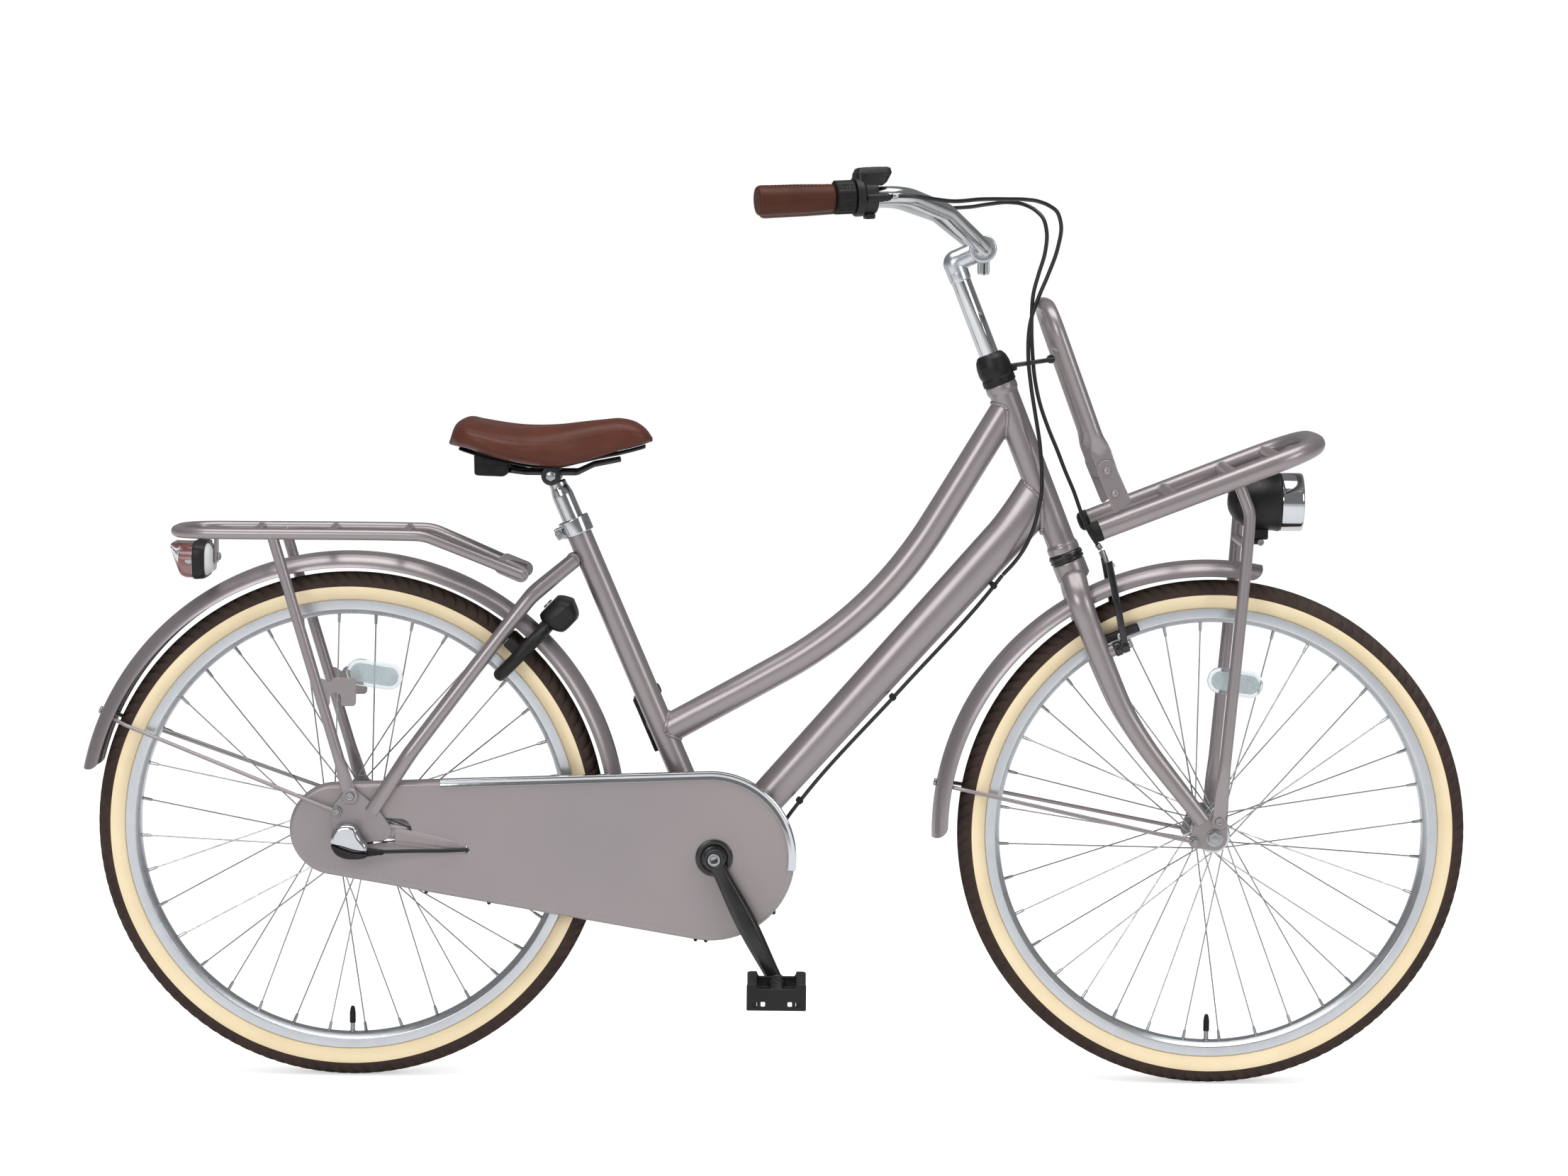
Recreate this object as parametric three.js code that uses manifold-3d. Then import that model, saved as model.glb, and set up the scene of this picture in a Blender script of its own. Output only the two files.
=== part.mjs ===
import * as THREE from 'three';
import { mergeVertices } from 'three/addons/utils/BufferGeometryUtils.js';
import Module from 'manifold-3d';

// A dutch city bike with front and rear carriers, in millimetres.
// X points forward, Y to the rider's left, Z up. Places are measured from the point on the ground
// under the rear axle, and the whole group is moved at the end so that its origin is on the ground
// under the middle of its bounding box.

const wasm = await Module();
wasm.setup();

const { PI, abs, sin, cos, tan, acos, atan2, hypot, max, min } = Math;
const degree = PI / 180;
const right = -1;
const left = 1;

// Clearances
const fit = 0.3;            // between pieces that touch
const running = 0.5;        // between a turning piece and its bearing
const overrun = 2;          // how far a cutting shape passes the piece it cuts

// Wheels
const wheelBase = 1100;
const tyreRadius = 326;
const tyreTop = tyreRadius * 2;
const rearGuardClearance = 26;
const rearGuardRadius = tyreRadius + rearGuardClearance;
const frontGuardClearance = 25;
const frontGuardRadius = tyreRadius + frontGuardClearance;
const tyreHalfWidth = 23.5;
const treadHalfWidth = 6;
const shoulderWidthShare = 0.74;
const shoulderDrop = 6;
const sidewallDepth = 21;
const tyreHeight = 37;
const rimRadius = tyreRadius - tyreHeight;
const rimBedDepth = 8;
const rimBedRadius = rimRadius - rimBedDepth;
const rimDepth = 18.4;
const rimInnerRadius = rimRadius - rimDepth;
const rimHalfWidth = 14.2;
const rimFlange = 1.8;
const rimBraceDepth = 12;
const rimHeelHalfWidth = 9;
const wheelFacets = 36;
const spokeCount = 36;
const spokeRadius = 1.3;
const spokeOffset = 2;
const spokePhaseShare = 0.683;
const valveRadius = 3;
const valveLength = 34;
const reflectorPlaceShare = 0.72432;
const reflectorRadiusPlace = rimInnerRadius * reflectorPlaceShare;
const reflectorLength = 72;
const reflectorHeight = 34;
const reflectorInnerY = 6;
const reflectorOuterY = 15;
const rearReflectorTurn = 81.5 * degree;
const frontReflectorTurn = 82 * degree;
const spokeCrossing = 60 * degree;

// Hubs and axles
const frontHubHalfLength = 44;
const frontFlangePlace = 33;
const frontFlangeRadius = 22;
const frontShellRadius = 14;
const rearHubHalfLength = 38;
const rearFlangePlace = 28;
const rearFlangeRadius = 33;
const rearShellRadius = 29;
const flangeHalfThickness = 3.4;
const spokeCircleInset = 3.5;
const hubEndRadius = 11;
const axleRadius = 5;
const nutRadius = 9;
const nutThickness = 8;

// Frame
const bracketClearance = 113;
const bracketX = rearGuardRadius + bracketClearance;
const bracketDrop = 31;
const bracketZ = tyreRadius - bracketDrop;
const bracketRadius = 20;
const bracketHalfLength = 34;
const seatTubeSetback = 180;
const seatTubeTopX = bracketX - seatTubeSetback;
const seatTubeRise = 415;
const seatTubeTopZ = bracketZ + seatTubeRise;
const seatTubeRadius = 15.9;
const seatTubeBoreDepth = 190;
const headSetback = 192.5;
const headFootX = wheelBase - headSetback;
const crownClearance = 7;
const headFootZ = tyreRadius + frontGuardRadius + crownClearance;
const headAngle = 68.3 * degree;
const headTubeLength = 230;
const headTubeRadius = 18.25;
const headRingRadius = 20.5;
const headRingLength = 9;
const headRingTaper = 4.5;
const headBoreRadius = 15.3;
const topTubeRadius = 19;
const topTubeStartSetback = 61;
const topTubeStartX = bracketX - topTubeStartSetback;
const topTubeStartRise = 157;
const topTubeStartZ = bracketZ + topTubeStartRise;
const topTubeCornerShare = 0.52632;
const topTubeCornerRise = 305;
const topTubeCornerZ = bracketZ + topTubeCornerRise;
const topTubeEndDrop = 28.7;
const topTubeBendRadius = 532;
const downTubeStartAhead = 9;
const downTubeStartX = bracketX + downTubeStartAhead;
const downTubeStartRise = 5;
const downTubeStartZ = bracketZ + downTubeStartRise;
const downTubeEndSetback = 31.5;
const downTubeEndX = headFootX - downTubeEndSetback;
const downTubeEndRise = 69;
const downTubeEndZ = headFootZ + downTubeEndRise;
const downTubeStartRadius = 22.5;
const downTubeEndHeight = 27;
const downTubeEndHalfWidth = 20;
const gussetDrop = 9;
const gussetStartShare = 0.88;
const downTubeShares = [0, 0.3, 0.6, gussetStartShare, 0.96, 1];

// Rear triangle
const dropoutInner = 60;
const dropoutThickness = 5;
const dropoutAxleRadius = 17;
const stayEndX = 44;
const stayEndRadius = 12;
const strutBoltX = 4;
const strutBoltRise = 45;
const strutBoltZ = tyreRadius + strutBoltRise;
const strutBoltBoss = 10;
const guardBoltX = -13;
const guardBoltRise = 25;
const guardBoltZ = tyreRadius + guardBoltRise;
const guardBoltBoss = 8;
const chainStayHeight = 10.5;
const chainStayHalfWidth = 9;
const chainStayStartSetback = 15;
const chainStayStartX = bracketX - chainStayStartSetback;
const chainStayStartY = 24;
const chainStayWaistSetback = 135;
const chainStayWaistX = bracketX - chainStayWaistSetback;
const chainStayWaistY = 41;
const chainStayWaistRise = 9;
const chainStayWaistZ = bracketZ + chainStayWaistRise;
const chainStayKneeX = 92;
const chainStayKneeY = 42;
const chainStayKneeDrop = 7;
const chainStayKneeZ = tyreRadius - chainStayKneeDrop;
const chainStayBendRadius = 60;
const chainStayFlatShare = 0.45;
const bridgeSetback = 68;
const bridgeX = bracketX - bridgeSetback;
const bridgePlateLength = 46;
const bridgePlateThickness = 5;
const seatStayRadius = 9.5;
const seatStayTopSetback = 2;
const seatStayTopX = seatTubeTopX - seatStayTopSetback;
const seatStayTopDrop = 42;
const seatStayTopZ = seatTubeTopZ - seatStayTopDrop;
const seatStayTopY = 12;
const seatStayShoulderAngle = 52.394 * degree;
const seatStayClearance = 21.62;
const seatStayShoulderRadius = rearGuardRadius + seatStayClearance;
const seatStayShoulderX = seatStayShoulderRadius * cos(seatStayShoulderAngle);
const seatStayShoulderZ = tyreRadius + seatStayShoulderRadius * sin(seatStayShoulderAngle);
const seatStayShoulderY = 34;
const seatStayKneeX = 78;
const seatStayKneeRise = 98;
const seatStayKneeZ = tyreRadius + seatStayKneeRise;
const seatStayKneeY = 63;
const seatStayFootX = 30;
const seatStayFootRise = 34;
const seatStayFootZ = tyreRadius + seatStayFootRise;
const seatStayFootY = 64.5;
const seatStayFootHalfWidth = 5;
const stayBridgeRadius = 7;
const seatStayFlatShare = 0.75;

// Headset and fork
const steererRadius = 14.3;
const lowerCupHeight = 12;
const lowerCupRadius = 22;
const lowerCupTopRadius = 20.5;
const crownRadius = 21;
const crownHeight = 26;
const bladeTopHalfDepth = 16.5;
const bladeTopHalfWidth = 12;
const bladeFootHalfDepth = 10;
const bladeFootHalfWidth = 6;
const bladeTaperPower = 1.6;
const bladeSpread = 43;
// Shares of the blade's drop and of the rake, from the crown to the axle, with its share of the spread.
const bladeShares = [
  [0.06, 0, 0.3],
  [0.14, -0.1, 0.93],
  [0.26, -0.13, 1],
  [0.4, -0.12, 1],
  [0.54, -0.05, 1.02],
  [0.656, 0.15, 1.06],
  [0.765, 0.42, 1.12],
  [0.87, 0.7, 1.19],
  [0.94, 0.88, 1.22],
];
const forkDropoutInner = 49;
const forkDropoutThickness = 5;
const forkDropoutRadius = 17;
const frontStrutBoltAhead = 5;
const frontStrutBoltX = wheelBase + frontStrutBoltAhead;
const frontStrutBoltRise = 22;
const frontStrutBoltZ = tyreRadius + frontStrutBoltRise;
const frontGuardBoltBehind = 25;
const frontGuardBoltX = wheelBase - frontGuardBoltBehind;
const frontGuardBoltDrop = 5;
const frontGuardBoltZ = tyreRadius - frontGuardBoltDrop;
const capBottomRadius = 20.5;
const capTopRadius = 14;
const capHeight = 40;
const capShoulderShare = 0.55;
const capSeatShare = 0.7;
const braceRadius = 3;
const braceUp = 16.8;
const braceLugStart = 16.4;
const braceLugEnd = 30.75;
const braceShare = 0.78;
const quillRadius = 11.1;
const quillTopHeight = 374;
const quillLength = 230;
const neckKneeRise = 21;
const neckFootHalfWidth = 12.8;
const neckTopHalfWidth = 13.9;
const neckHalfHeight = 13.3;
const neckBendRadius = 15.5;

// Handlebar, grips and controls
const barRadius = 11.1;
const barCentreSetback = 110.5;
const barCentreX = headFootX - barCentreSetback;
const barCentreRise = 384.5;
const barCentreZ = headFootZ + barCentreRise;
const barClampHalfWidth = 24;
const barClampRadius = 17.5;
const clampLugBack = 5.3;
const clampLugFront = 9.6;
const clampLugDrop = 33.3;
const barRiseStartY = 45;
const barShoulderSetback = 162.5;
const barShoulderX = headFootX - barShoulderSetback;
const barShoulderY = 150;
const barShoulderRise = 429;
const barShoulderZ = headFootZ + barShoulderRise;
const barElbowSetback = 217.5;
const barElbowX = headFootX - barElbowSetback;
const barElbowY = 238;
const barElbowRise = 449;
const barElbowZ = headFootZ + barElbowRise;
const barEndSetback = 391.5;
const barEndX = headFootX - barEndSetback;
const barEndY = 285;
const barEndRise = 439.5;
const barEndZ = headFootZ + barEndRise;
const barBendRadius = 62;
const gripWall = 3;
const gripEndRadius = 18.5;
const gripFrontRadius = 16.5;
const rightGripLength = 93;
const leftGripLength = 122;
const sleeveLength = 24;
const sleeveRadius = 20.5;
const sleeveRibCount = 10;
const sleeveRibHeight = 1.6;
const shifterLength = 27;
const shifterRadius = 24;
const shifterTopHeight = 36;
const shifterShoulder = 10.8;
const shifterNeckRadius = 21.6;
// Shares of the top housing's height, the drum's radius, and the drum's length where it starts and ends.
const shifterTopShares = [
  [0.45, 0.5, 0.1, 1.5],
  [0.8, 0.62, 0.14, 1.75],
  [1, 0.45, 0.3, 1.55],
];
const cableOutletDrop = 2.2;
const cableOutletOut = 18;
const cableOutletTip = 41.9;
const cableOutletRadius = 5.5;
const leverBracketLength = 30;
const leverBracketRadius = 17;
const leverReach = 47;
const leverBarrelReach = 21;
const leverBarrelStart = 24;
const leverBarrelEnd = 42;
const leverWebFoot = 10.2;
const leverEyeRadius = 6;
const leverBevelShare = 0.6;
const leverLength = 112;
const leverHalfHeight = 7;
const leverThickness = 8;
const leverPivotRadius = 5;
const leverPivotReach = 29.14;
const leverPivotAlong = 16.5;
const leverPinRadius = 3;

// Seat
const postRadius = 13.6;
const postInsertion = 150;
const postReach = 63;
const seatClampRadius = 20;
const seatClampBelow = 9;
const seatClampAbove = 12;
const seatClampLugLength = 11;
const seatClampLugHalfWidth = 7;
const seatClampLugBottom = -7;
const seatClampLugTop = 8;
const seatClampBoltRadius = 3.2;
const seatClampBoltHalfLength = 11;
const railRadius = 3.5;
const railClampSetback = 31;
const railClampX = seatTubeTopX - railClampSetback;
const railClampRise = 67;
const railClampZ = seatTubeTopZ + railClampRise;
const railClampRadius = 12;
const railClampHalfLength = 32;
const railHalfSpacing = 22;
const saddleSetback = 158;
const saddleRearX = seatTubeTopX - saddleSetback;
const saddleLength = 254;
const saddleRise = 72;
const saddleBottomZ = seatTubeTopZ + saddleRise;
const saddleHeight = 68;
const saddleHalfWidth = 92;
const saddleWaistShare = 0.42;
const saddleSkirtShare = 0.7;
const saddleEdgePower = 0.8;
const saddleDrawInShare = 0.16;
const saddleBaseThickness = 5;
const saddleBaseWidthShare = 0.6;
const railNoseShare = 0.84;
const railNoseRise = 16.8;
const railNoseKneeRise = 10.8;
const elastomerLength = 44;
const elastomerWidth = 30;
const elastomerDrop = 5;
const elastomerBottomZ = saddleBottomZ - elastomerDrop;
const elastomerRise = 22.5;
const elastomerTopZ = saddleBottomZ + elastomerRise;
const elastomerAhead = 53;
const elastomerCentreX = saddleRearX + elastomerAhead;
const elastomerCentreY = 38;

// Mudguards
const guardHalfWidth = 28;
const guardDepth = 22;
const guardThickness = 1.6;
const rearGuardStart = 2 * degree;
const rearGuardEnd = 168.5 * degree;
const rearGuardStayPlace = 156 * degree;
const frontGuardStart = 79 * degree;
const frontGuardEnd = 181.5 * degree;
const frontGuardStayPlace = 170 * degree;
const frontGuardShift = 7;
const guardLip = 84 * degree;
const guardWireRadius = 2.6;
const guardWireEntryDrop = 15.6;
const guardWireInset = 6.2;
const guardBoltRadius = 2.1;
const guardBoltHeadRadius = 5;
const guardBoltHeadHeight = 4.2;
const guardEyeRadius = 6.2;

// Chain case, chain and cranks
const caseRearRadius = 59;
const caseRearSetback = 16;
const caseFrontRadius = 108;
const caseFrontShift = 5;
const caseWall = 1.5;
const caseOuterY = 57;
const caseInnerY = 36;
const caseSlotRadius = 19;
const caseSlotEndX = 66;
const caseSlotEndRadius = 15;
const caseBossHole = 21;
const caseBackHubHole = 36;
const caseBackBracketHole = 26;
const trimThickness = 1.2;
const trimWidth = 12;
const trimLip = 6;
const trimStartX = 117;
const cableHoleStartX = 114;
const cableHoleEndX = 184;
const cableRadius = 2.5;
const cableClipLength = 8;
const cableClipWidth = 10;
const cableClipHeight = 9;
const cableClipShares = [0.795, 0.481, 0.184];
const routeStepLength = 1;  // the cables' routes are counted in this
const chainLineY = 45;
const chainPitch = 12.7;
const ringTeeth = 38;
const sprocketTeeth = 19;
const toothHeight = 5;
const toothThickness = 2.4;
const chainPlateThickness = 1.2;
const chainPlateHeight = 8.5;
const crankLength = 175;
const crankAngle = 27.5 * degree;
const crankBossRadius = 14;
const crankInnerY = 60.5;
const crankOuterY = 78;
const crankFootInnerY = 74;
const crankFootOuterY = 88;
const crankHalfWidthTop = 13;
const crankHalfWidthFoot = 10;
const crankEyeRadius = 11.5;
const crankWaistShare = 0.86;
const crankBevelShare = 0.7;
const crankShares = [0, 0.12, 0.5, 0.9, 1];
const crankStepShare = 0.625;
const crankAxleRadius = 8.5;
const bossCapRadius = 24;
const bossCapThickness = 3;
const pedalAxleRadius = 4;
const pedalInnerY = 92;
const pedalLength = 92;
const pedalDepth = 74;
const pedalHeight = 34;
const pedalBarrelHalfDepth = 11;
const pedalBarDepth = 13;
const pedalSidePlate = 9;
const gearBoxLength = 49;
const gearBoxHeight = 45;
const gearBoxDepth = 20;
const gearBoxX = 4.5;
const gearBoxDrop = 10.5;
const gearBoxZ = tyreRadius - gearBoxDrop;
const gearBoxCornerRadius = 13.5;

// Kickstand
const standPivotSetback = 68;
const standPivotX = bracketX - standPivotSetback;
const standPivotY = 40;
const standPivotDrop = 21;
const standPivotZ = bracketZ - standPivotDrop;
const standLength = 258;
const standRadius = 7;
const standSplay = 10 * degree;
const standEyeRadius = 12;
const standEyeHalfLength = 9;
const standPinRadius = 5;
const standCheekThickness = 5;
const standCheekHalfLength = 9;
const standFootRadius = 11;
const standFootLength = 18;

// Rear carrier and tail lamp
const rearRackRadius = 7;
const rearRackClearance = 24;
const rearRackZ = tyreRadius + rearGuardRadius + rearRackClearance;
const rearRackRearX = -222;
const rearRackHalfWidth = 65;
const rearRackCornerRadius = 55;
const rearRackBendX = 96;
const rearRackFootSetback = 67;
const rearRackFootX = seatTubeTopX - rearRackFootSetback;
const rearRackFootDrop = 50;
const rearRackFootZ = rearRackZ - rearRackFootDrop;
const rearRackFootY = 43;
const rearRackBarRadius = 5;
const rearRackBarShares = [0.31, 0.61, 0.91];
const strutTopX = -95;
const strutRadius = 7;
const strutFlatHalf = 2.45;
const strutKneeShare = 0.93;
const strutKneeOut = 2.8;
const bagHookShare = 0.6;
const bagHookLength = 50;
const bagHookHeight = 36;
const bagHookThickness = 3;
const tailLampFrontX = -176;
const tailLampRearX = -227;
const lampCornerPower = 0.55;
const tailLampDrop = 15;
const tailLampHeight = 46;
const tailLampTopZ = rearRackZ - tailLampDrop;
const tailLampBottomZ = tailLampTopZ - tailLampHeight;
const tailLampHalfWidth = 42;
const tailLampLensDepth = 28;
const tailLampSeamRise = 2;
const tailLampMiddleShare = 0.55;
const tailLampBackShare = 0.55;
const tailLampBackRise = 6;
const tailLampBackDrop = 10;
const tailLampEdgeShare = 0.86;
const tailLampEdgeHeight = 8;
const tailLampEdgeDrop = 1;
const tailLampBulgeShare = 0.36;
const tailLampBulgeWidthShare = 0.94;
const tailLampBulgeRise = 3;
const tailBracketThickness = 3;
const tailBracketLength = 42.6;
const tailBracketDrop = 4.2;
const tailBracketHalfWidth = 12;

// Ring lock
const lockAngle = 46 * degree;
const lockRingInset = 13;
const lockPlaceRadius = tyreRadius - lockRingInset;
const lockRingRadius = 52;
const lockHalfSection = 8.5;
const lockOpenAngle = 140 * degree;
const lockBoltRadius = 3.4;
const lockChannel = 5.1;
const lockBoltStart = 24 * degree;
const lockBoltEnd = 137 * degree;
const lockLeverAngle = 50 * degree;
const lockSlotHalfWidth = 1.8;
const lockLeverHalfWidth = 1.3;
const lockHeadHalfWidth = 36;
const lockHeadHeight = 40;
const lockHeadBack = 17;
const lockHeadFront = 20;
const lockHeadBackShare = 0.85;
const lockHeadFrontShare = 0.8;
const lockHeadEdgeShare = 0.8;
const lockHeadLowBack = 3;
const lockHeadLowMiddle = 1;
const lockLugHalfWidth = 7;
const lockLugReach = 24.2;
const lockLugInnerY = 35.1;
const lockLugOuterY = 51;
const lockOverrun = 8 * degree;
const lockBoltMargin = 6 * degree;
const lockSlotMargin = 10 * degree;
const lockLeverTop = 12;
const lockKnobBottom = 9;
const lockKnobTop = 17;

// Front carrier and headlamp
const rackRadius = 12.5;
const rackSlope = 21.5 * degree;
const rackHalfWidth = 100;
const rackRearSetback = 157;
const rackRearX = wheelBase - rackRearSetback;
const rackClearance = 67;
const rackRearZ = tyreTop + rackClearance;
const rackFrontAhead = 119;
const rackFrontX = wheelBase + rackFrontAhead;
const rackCornerRadius = 70;
const rackBarRadius = 8;
const rackBarShares = [0.36, 0.63, 0.83];
const rackLegBar = 1;
const frontStrutRadius = 7.5;
const frontStrutHalfSpacing = 64;
const frontStrutTopAhead = 36;
const frontStrutTopX = wheelBase + frontStrutTopAhead;
const frontStrutTopRise = 21;
const frontStrutTopZ = rackRearZ + frontStrutTopRise;
const frontStrutFlatHalf = 3;
const frontStrutFlatShare = 0.8;
const frontStrutKneeShare = 0.9;
const frontStrutKneeOut = 4.5;
const lampBarDrop = 19;
const lampBarZ = rackRearZ - lampBarDrop;
const lampBarRadius = 6;
const backrestRadius = 9;
const backrestFootSetback = 134;
const backrestFootX = wheelBase - backrestFootSetback;
const backrestFootRise = 31;
const backrestFootZ = rackRearZ + backrestFootRise;
const backrestTopSetback = 223;
const backrestTopX = wheelBase - backrestTopSetback;
const backrestTopRise = 279;
const backrestTopZ = rackRearZ + backrestTopRise;
const backrestCornerRadius = 45;
const hingePlateWidth = 24;
const hingePlateLength = 68;
const hingePlateThickness = 3;
const hingePlateShift = 8.4;
const lampRearAhead = 14;
const lampRearX = wheelBase + lampRearAhead;
const lampRingAhead = 80;
const lampRingX = wheelBase + lampRingAhead;
const lampFrontAhead = 109;
const lampFrontX = wheelBase + lampFrontAhead;
const lampRise = 32;
const lampZ = rackRearZ + lampRise;
const lampRadius = 37;
const lampWall = 3;
// Shares of the lamp's radius and of its shell's length, from the rear point to the ring.
const lampShellShares = [
  [0.32, 0.04],
  [0.68, 0.2],
  [0.9, 0.5],
];
const lampNeckShare = 0.6;
const lampNeckFront = 6.6;
const lampNeckDrop = 17.6;
const lensFaceShare = 0.6;
const lampBracketHalfWidth = 11;

// Front brake
const brakePivotInset = 19.306;
const brakePivotAngle = 115.7107 * degree;
const brakePivotX = wheelBase + (rimRadius - brakePivotInset) * cos(brakePivotAngle);
const brakePivotZ = tyreRadius + (rimRadius - brakePivotInset) * sin(brakePivotAngle);
const brakePivotY = 41;
const brakePivotRadius = 5;
const brakeBossRadius = 8.1;
const brakeEyeRadius = 9;
const brakeArmLength = 107;
const brakeArmAhead = 19;
const brakeArmHalfWidth = 8;
const brakeArmThickness = 9;
const brakePostRadius = 3.5;
const noodleRadius = 4;
const padPlace = 13.5;
const padLength = 52;
const padHalfHeight = 5.5;
const padDepth = 10;
const padGap = 2;

// Turns a THREE geometry or lists of points and faces into one closed, outward-facing body.
function body(points, faces) {
  let volume = 0;
  for (const [a, b, c] of faces) {
    volume += points[a].dot(points[b].clone().cross(points[c]));
  }
  const turned = volume < 0 ? faces.map(([a, b, c]) => [a, c, b]) : faces;
  const geometry = new THREE.BufferGeometry().setFromPoints(points);
  geometry.setIndex(turned.flat());
  return geometry;
}

function plain(source) {
  const bare = source.clone();
  bare.deleteAttribute('normal');
  bare.deleteAttribute('uv');
  const merged = mergeVertices(bare);
  const place = merged.attributes.position;
  const points = Array.from({ length: place.count }, (_, i) => new THREE.Vector3().fromBufferAttribute(place, i));
  const faces = [];
  for (let i = 0; i < merged.index.count; i += 3) {
    const [a, b, c] = [0, 1, 2].map((k) => merged.index.getX(i + k));
    if (a !== b && b !== c && c !== a) faces.push([a, b, c]);
  }
  return body(points, faces);
}

function toSolid(geometry) {
  const vertProperties = Float32Array.from(geometry.attributes.position.array);
  const triVerts = Uint32Array.from(geometry.index.array);
  return new wasm.Manifold(new wasm.Mesh({ numProp: 3, vertProperties, triVerts }));
}

function fromSolid(solid) {
  const { numProp, vertProperties, triVerts } = solid.getMesh();
  const points = [];
  for (let i = 0; i < vertProperties.length; i += numProp) {
    points.push(new THREE.Vector3(...vertProperties.slice(i, i + 3)));
  }
  const faces = [];
  for (let i = 0; i < triVerts.length; i += 3) faces.push([...triVerts.slice(i, i + 3)]);
  return body(points, faces);
}

const join = (...pieces) => fromSolid(pieces.map(toSolid).reduce((a, b) => a.add(b)));
const cut = (piece, ...tools) => fromSolid(tools.map(toSolid).reduce((a, b) => a.subtract(b), toSolid(piece)));
const point = (x, y, z) => new THREE.Vector3(x, y, z);

// Joins rings of points into a skin, capped at both ends unless it runs round in a loop.
function skin(rings, looped = false) {
  const count = rings[0].length;
  const faces = [];
  const spans = looped ? rings.length : rings.length - 1;
  for (let i = 0; i < spans; i++) {
    const a = i * count;
    const b = ((i + 1) % rings.length) * count;
    for (let j = 0; j < count; j++) {
      const k = (j + 1) % count;
      faces.push([a + j, b + j, b + k], [a + j, b + k, a + k]);
    }
  }
  if (!looped) {
    const end = (rings.length - 1) * count;
    for (let j = 0; j < count / 2 - 1; j++) {
      const [p, q, r, s] = [j, j + 1, count - 2 - j, count - 1 - j];
      faces.push([p, r, s], [end + p, end + s, end + r]);
      if (q !== r) faces.push([p, q, r], [end + p, end + r, end + q]);
    }
  }
  return body(rings.flat(), faces);
}

// Carries a section along a path without twist; `side` is the section's first axis.
function sweep(path, section, side, looped = false) {
  const across = side.clone();
  const last = path.length - 1;
  const rings = path.map((here, i) => {
    const before = looped ? path[(i + last) % path.length] : path[max(i - 1, 0)];
    const after = looped ? path[(i + 1) % path.length] : path[min(i + 1, last)];
    const ahead = after.clone().sub(before).normalize();
    across.addScaledVector(ahead, -across.dot(ahead)).normalize();
    const up = ahead.clone().cross(across);
    const outline = typeof section === 'function' ? section(i / last) : section;
    return outline.map(([a, b]) => here.clone().addScaledVector(across, a).addScaledVector(up, b));
  });
  return skin(rings, looped);
}

const oval = (halfWidth, halfHeight, sides) => Array.from({ length: sides }, (_, i) => {
  const turn = ((i + 1 / 2) / sides) * 2 * PI;
  return [halfWidth * cos(turn), halfHeight * sin(turn)];
});

const mix = (from, to, share) => from + (to - from) * share;

function sideOf(path) {
  const ahead = path[1].clone().sub(path[0]).normalize();
  return abs(ahead.y) < 0.9 ? point(0, 1, 0) : point(0, 0, 1);
}

const tube = (path, radius, sides) => sweep(path, oval(radius, radius, sides), sideOf(path));
const rod = (from, to, radius, sides) => tube([from, to], radius, sides);

// A path through corners, each rounded to the given bend radius.
function bend(corners, radius, steps) {
  const path = [corners[0]];
  for (let i = 1; i < corners.length - 1; i++) {
    const back = corners[i - 1].clone().sub(corners[i]);
    const on = corners[i + 1].clone().sub(corners[i]);
    const halfTurn = (PI - back.angleTo(on)) / 2;
    const reach = min(radius * tan(halfTurn), back.length() / 2, on.length() / 2);
    const start = corners[i].clone().addScaledVector(back.normalize(), reach);
    const finish = corners[i].clone().addScaledVector(on.normalize(), reach);
    const curve = new THREE.QuadraticBezierCurve3(start, corners[i], finish);
    path.push(...curve.getPoints(steps));
  }
  path.push(corners.at(-1));
  return path.filter((here, i) => i === 0 || here.distanceTo(path[i - 1]) > fit);
}

// Revolves [radius, height] pairs about Y, as a wheel turns.
function spun(profile, sides) {
  const rim = profile.map(([r, h]) => new THREE.Vector2(r, h));
  if (profile[0][0] > 0) rim.push(rim[0]);
  return plain(new THREE.LatheGeometry(rim, sides, PI / sides));
}

const turnedOnZ = (profile, sides) => spun(profile, sides).rotateX(PI / 2);
const turnedOnX = (profile, sides) => spun(profile, sides).rotateZ(-PI / 2);

// A flat plate from an outline of [x, z] pairs, between two places across the bike.
function plate(outline, fromY, toY, holes = []) {
  const shape = new THREE.Shape(outline.map(([x, z]) => new THREE.Vector2(x, z)));
  for (const hole of holes) shape.holes.push(new THREE.Path(hole.map(([x, z]) => new THREE.Vector2(x, z))));
  const depth = abs(toY - fromY);
  const slab = new THREE.ExtrudeGeometry(shape, { depth, bevelEnabled: false, steps: 1 });
  return plain(slab.rotateX(PI / 2).translate(0, max(fromY, toY), 0));
}

const arc = (x, z, radius, from, to, steps) => Array.from({ length: steps + 1 }, (_, i) => {
  const turn = mix(from, to, i / steps);
  return [x + radius * cos(turn), z + radius * sin(turn)];
});
const circle = (x, z, radius, sides) => arc(x, z, radius, 0, 2 * PI * (1 - 1 / sides), sides - 1);

// The outline of a belt round two circles, anticlockwise.
function belt([x1, z1, r1], [x2, z2, r2], steps) {
  const line = atan2(z2 - z1, x2 - x1);
  const touch = acos((r1 - r2) / hypot(x2 - x1, z2 - z1));
  return [
    ...arc(x2, z2, r2, line - touch, line + touch, steps),
    ...arc(x1, z1, r1, line + touch, line + 2 * PI - touch, steps),
  ];
}

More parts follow.
